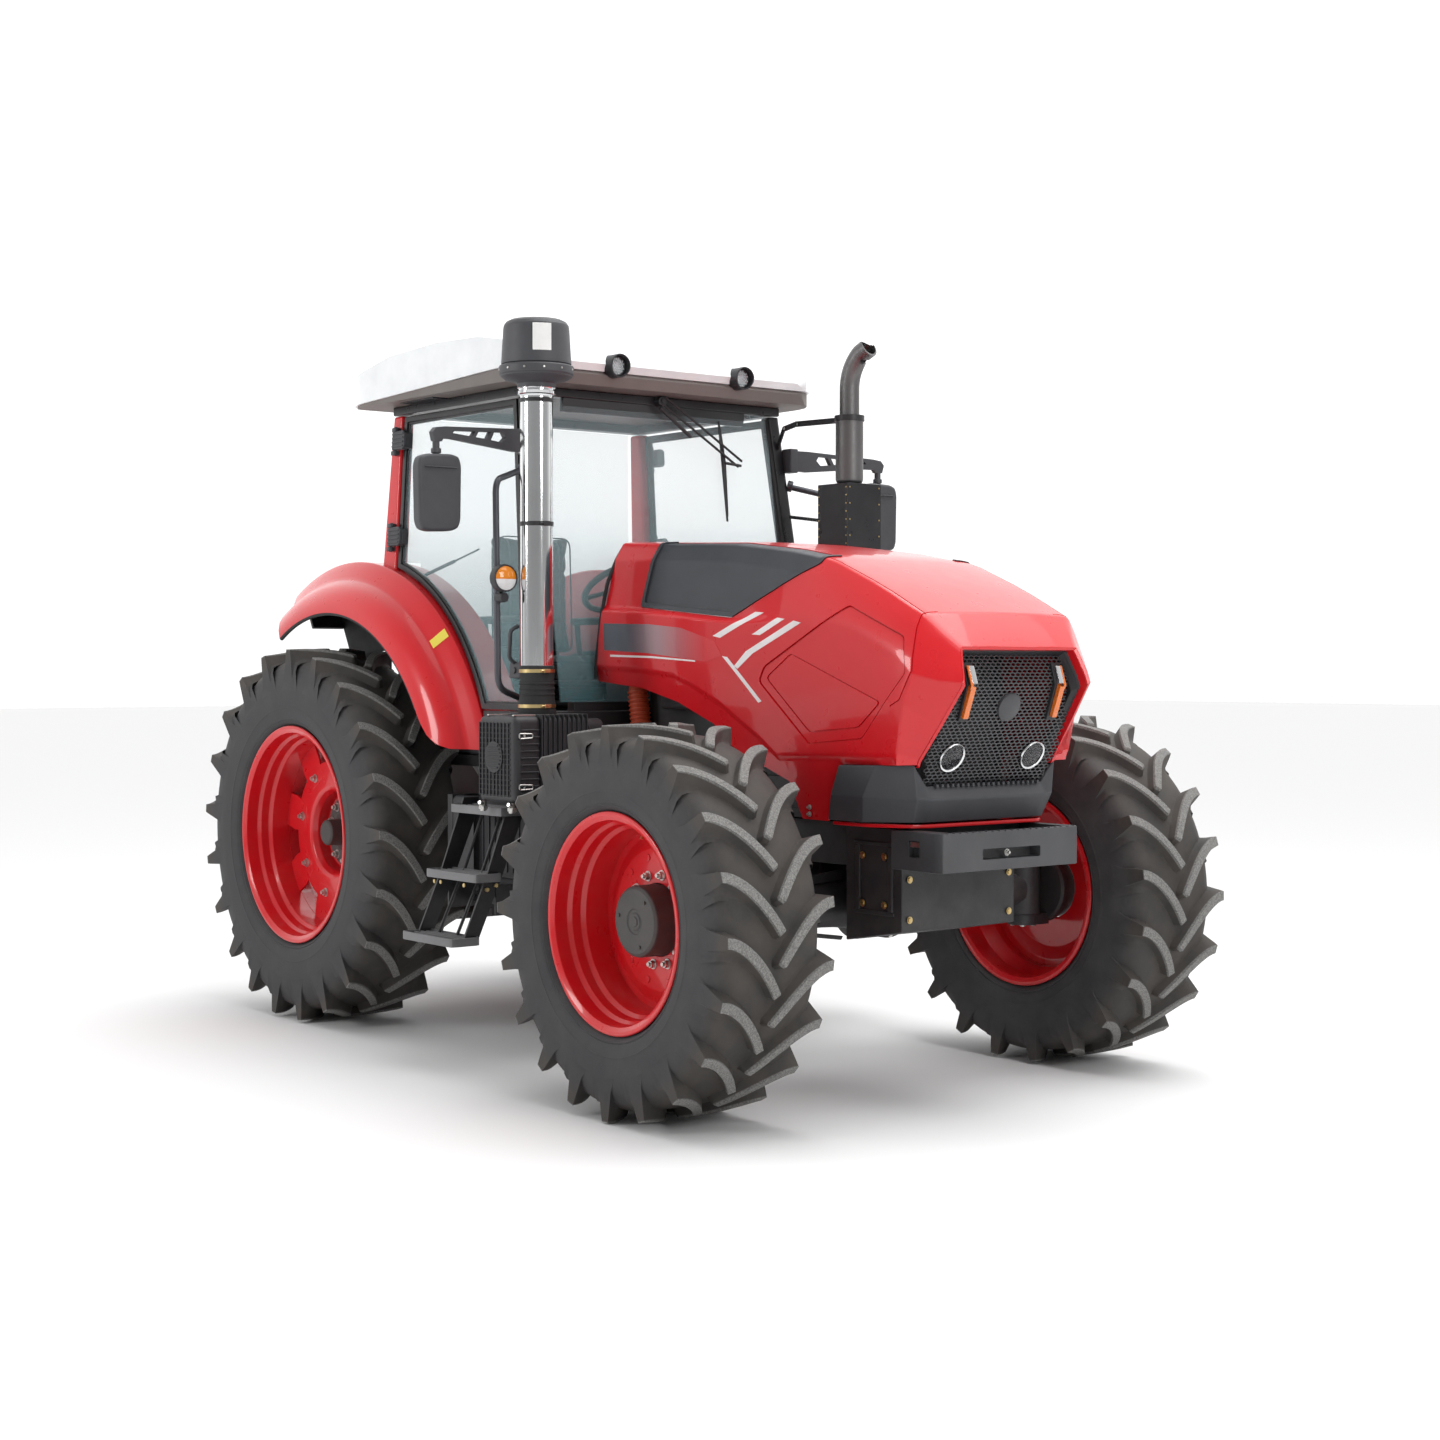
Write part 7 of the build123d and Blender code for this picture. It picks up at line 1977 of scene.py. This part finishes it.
def wheel_and_dash():
    """Steering wheel, column, instrument panel, stalks, levers and mat."""
    rim = spun([(0.195 + 0.0145 * cos(2 * pi * k / 14), 0.0145 * sin(2 * pi * k / 14)) for k in range(14)], (0, 0, 0), axis="z", steps=96)
    spoke = prism([(0.020, -0.020), (0.110, -0.013), (0.185, -0.016), (0.185, 0.016), (0.110, 0.013), (0.020, 0.020)], "xy",
                  (-0.010, 0.002), 0.004, 3)
    hub = bevelled(spun([(0, 0.016), (0.028, 0.014), (0.042, 0.006), (0.044, -0.020), (0.030, -0.022), (0, -0.022)], (0, 0, 0), axis="z", steps=48),
                   0.002, 2, 30)
    knob = bevelled(spun([(0, 0.062), (0.016, 0.060), (0.020, 0.048), (0.016, 0.026), (0.008, 0.020), (0.008, 0.0), (0, 0)], (0, 0, 0), axis="z", steps=28), 0.001)
    knob.data.transform(Matrix.Translation((-0.10, 0.165, 0.008)))
    wheel = joined([rim, around(spoke, 3, (0, 0, 0), "Z"), hub, knob])
    wheel.data.transform(COLUMN)
    settle(wheel, "steering_wheel_rim", BODY_OF["steering_wheel"], FINISH["plastic"], "steering_wheel", slot="black_plastic")
    shroud = bevelled(spun([(0.030, -0.030), (0.050, -0.034), (0.058, -0.090), (0.062, -0.200), (0.075, -0.320), (0.030, -0.320)], (0, 0, 0), axis="z", steps=40),
                      0.004, 2, 30)
    stalks = [bar([(0.0, 0.04, -0.075), (0.02, 0.15, -0.060)], 0.007, 0, 12), bar([(0.0, -0.04, -0.075), (0.02, -0.15, -0.060)], 0.007, 0, 12)]
    column = joined([shroud] + stalks)
    column.data.transform(COLUMN)
    binnacle = prism([(-1.300, 1.775), (-1.335, 1.900), (-1.385, 1.925), (-1.505, 1.868), (-1.545, 1.800), (-1.49, 1.75)], "xz", (-0.205, 0.205), 0.016, 3)
    dressed("dashboard", 0.012, "grey_plastic", column, binnacle)
    tilt = Matrix.Translation((-1.528, 0, 1.836)) @ Matrix.Rotation(radians(-60), 4, "Y")
    rings, faces = [], []
    for y, r in ((-0.105, 0.044), (0, 0.052), (0.105, 0.044)):
        ring = spun([(r - 0.005, 0.0), (r, 0.0), (r, 0.006), (r - 0.004, 0.006)], (0, y, 0), axis="z", steps=40)
        ticks = around(block((r - 0.014, r - 0.007), (y - 0.0007, y + 0.0007), (0.0015, 0.0025), 0), 12, (0, y, 0), "Z")
        needle = block((0.0, r - 0.016), (y - 0.0012, y + 0.0012), (0.002, 0.0035), 0)
        dial = spun([(0, 0.0015), (r - 0.003, 0.0015), (r - 0.003, -0.002), (0, -0.002)], (0, y, 0), axis="z", steps=40)
        rings += [ring, ticks, needle]
        faces.append(dial)
    for group, name, finish in ((rings, "dial_rings", "zinc"), (faces, "dial_faces", "gloss_black")):
        piece = joined(group)
        piece.data.transform(tilt)
        settle(piece, name, "chassis", FINISH[finish], slot="black_plastic")
    console = [prism([(-2.34, 1.25), (-2.34, 1.78), (-1.90, 1.80), (-1.76, 1.72), (-1.74, 1.25)], "xz", (0.330, 0.540), 0.018, 3),
               prism([(-2.34, 1.25), (-2.34, 1.74), (-1.98, 1.74), (-1.94, 1.25)], "xz", (-0.540, -0.380), 0.018, 3)]
    levers, knobs = [], []
    for lx, ly, lean_x in ((-1.84, 0.40, 0.06), (-1.84, 0.47, 0.02), (-1.98, 0.40, 0.05), (-1.98, 0.47, 0.05), (-2.05, -0.45, 0.04)):
        levers.append(bar([(lx, ly, 1.72), (lx + lean_x, ly, 1.92)], 0.006, 0, 10))
        knobs.append(spun([(0, 0.035), (0.014, 0.030), (0.018, 0.012), (0.010, -0.010), (0, -0.010)], (lx + lean_x, ly, 1.925), axis="z", steps=24))
    for y in (0.13, -0.12, -0.22):
        levers.append(bar([(-1.30, y, 1.50), (-1.42, y, 1.36)], 0.008, 0, 10))
        console.append(block((-1.440, -1.425), (y - 0.035, y + 0.035), (1.315, 1.395), 0.005))
    mat = prism(chamfered([(-1.96, -0.50), (-1.30, -0.50), (-1.30, 0.31), (-1.96, 0.31)], 0.03), "xy", (1.250, 1.258), 0.003)
    bumps = [block((-1.93, -1.33), (y, y + 0.012), (1.256, 1.262), 0.002, 1) for y in [-0.46 + 0.04 * i for i in range(19)]]
    settle(joined(console), "side_consoles", "chassis", FINISH["grey_plastic"], slot="black_plastic")
    settle(joined(levers), "hand_levers", "chassis", FINISH["zinc"], slot="chrome")
    settle(joined(knobs), "lever_knobs", "chassis", FINISH["plastic"], slot="black_plastic")
    settle(joined([mat] + bumps), "floor_mat", "chassis", FINISH["seal"], slot="black_plastic")
    dressed("cab_floor", 0.004, "black")


seat()
wheel_and_dash()


# ---- floor, light and finish --------------------------------------------------------------------
def stage():
    """A pale floor under soft overhead light in a pale room."""
    bpy.ops.mesh.primitive_plane_add(size=160, location=(0, 0, 0))
    floor = bpy.context.object
    floor.name = "floor"
    ground = Finish("pale_floor", (0.76, 0.76, 0.76), 0.9)
    floor.data.materials.append(ground.material)
    for name, place, aim, size, power in (
            ("key", (2.5, 1.5, 9.0), (0.3, 0, 1.2), 8.0, 420),
            ("front", (9.5, -0.5, 4.5), (0.8, 0, 1.2), 3.0, 170),
            ("side", (-2.5, -9.0, 4.0), (0, 0, 1.2), 3.0, 220)):
        lamp = bpy.data.objects.new(name, bpy.data.lights.new(name, "AREA"))
        bpy.context.scene.collection.objects.link(lamp)
        lamp.location = place
        lamp.rotation_euler = (Vector(aim) - Vector(place)).to_track_quat("-Z", "Y").to_euler()
        lamp.data.shape, lamp.data.size, lamp.data.energy = "DISK", size, power
    sun = bpy.data.objects.new("ceiling", bpy.data.lights.new("ceiling", "SUN"))
    bpy.context.scene.collection.objects.link(sun)
    sun.rotation_euler = (radians(-14), radians(10), 0)
    sun.data.energy, sun.data.angle = 1.1, radians(70)
    world = bpy.data.worlds.new("room")
    bpy.context.scene.world = world
    world.use_nodes = True
    nodes, links = world.node_tree.nodes, world.node_tree.links
    split = nodes.new("ShaderNodeSeparateXYZ")
    coordinates = nodes.new("ShaderNodeTexCoord")
    links.new(coordinates.outputs["Generated"], split.inputs[0])

    def ramp(socket, stops):
        node = nodes.new("ShaderNodeValToRGB")
        half = nodes.new("ShaderNodeMath")
        half.operation = "MULTIPLY_ADD"
        half.inputs[1].default_value = half.inputs[2].default_value = 0.5
        links.new(socket, half.inputs[0])
        links.new(half.outputs[0], node.inputs[0])
        while len(node.color_ramp.elements) < len(stops):
            node.color_ramp.elements.new(0.5)
        for element, (place, tone) in zip(node.color_ramp.elements, stops):
            element.position, element.color = place, (tone, tone, tone, 1)
        return node.outputs[0]

    across = nodes.new("ShaderNodeVectorMath")
    across.operation = "DOT_PRODUCT"
    across.inputs[1].default_value = (-0.785, 0.620, 0.0)
    links.new(coordinates.outputs["Generated"], across.inputs[0])
    tones = nodes.new("ShaderNodeMix")
    tones.data_type, tones.blend_type = "RGBA", "MULTIPLY"
    tones.inputs[0].default_value = 1.0
    links.new(ramp(split.outputs[2], [(0.0, 0.30), (0.48, 0.60), (0.60, 0.85), (1.0, 1.0)]), tones.inputs[6])
    links.new(ramp(across.outputs["Value"], [(0.0, 0.24), (0.45, 0.34), (0.80, 0.95), (1.0, 1.0)]), tones.inputs[7])
    background = nodes["Background"]
    links.new(tones.outputs[2], background.inputs[0])
    background.inputs[1].default_value = 1.7


stage()
bpy.context.scene.view_settings.view_transform = "Standard"
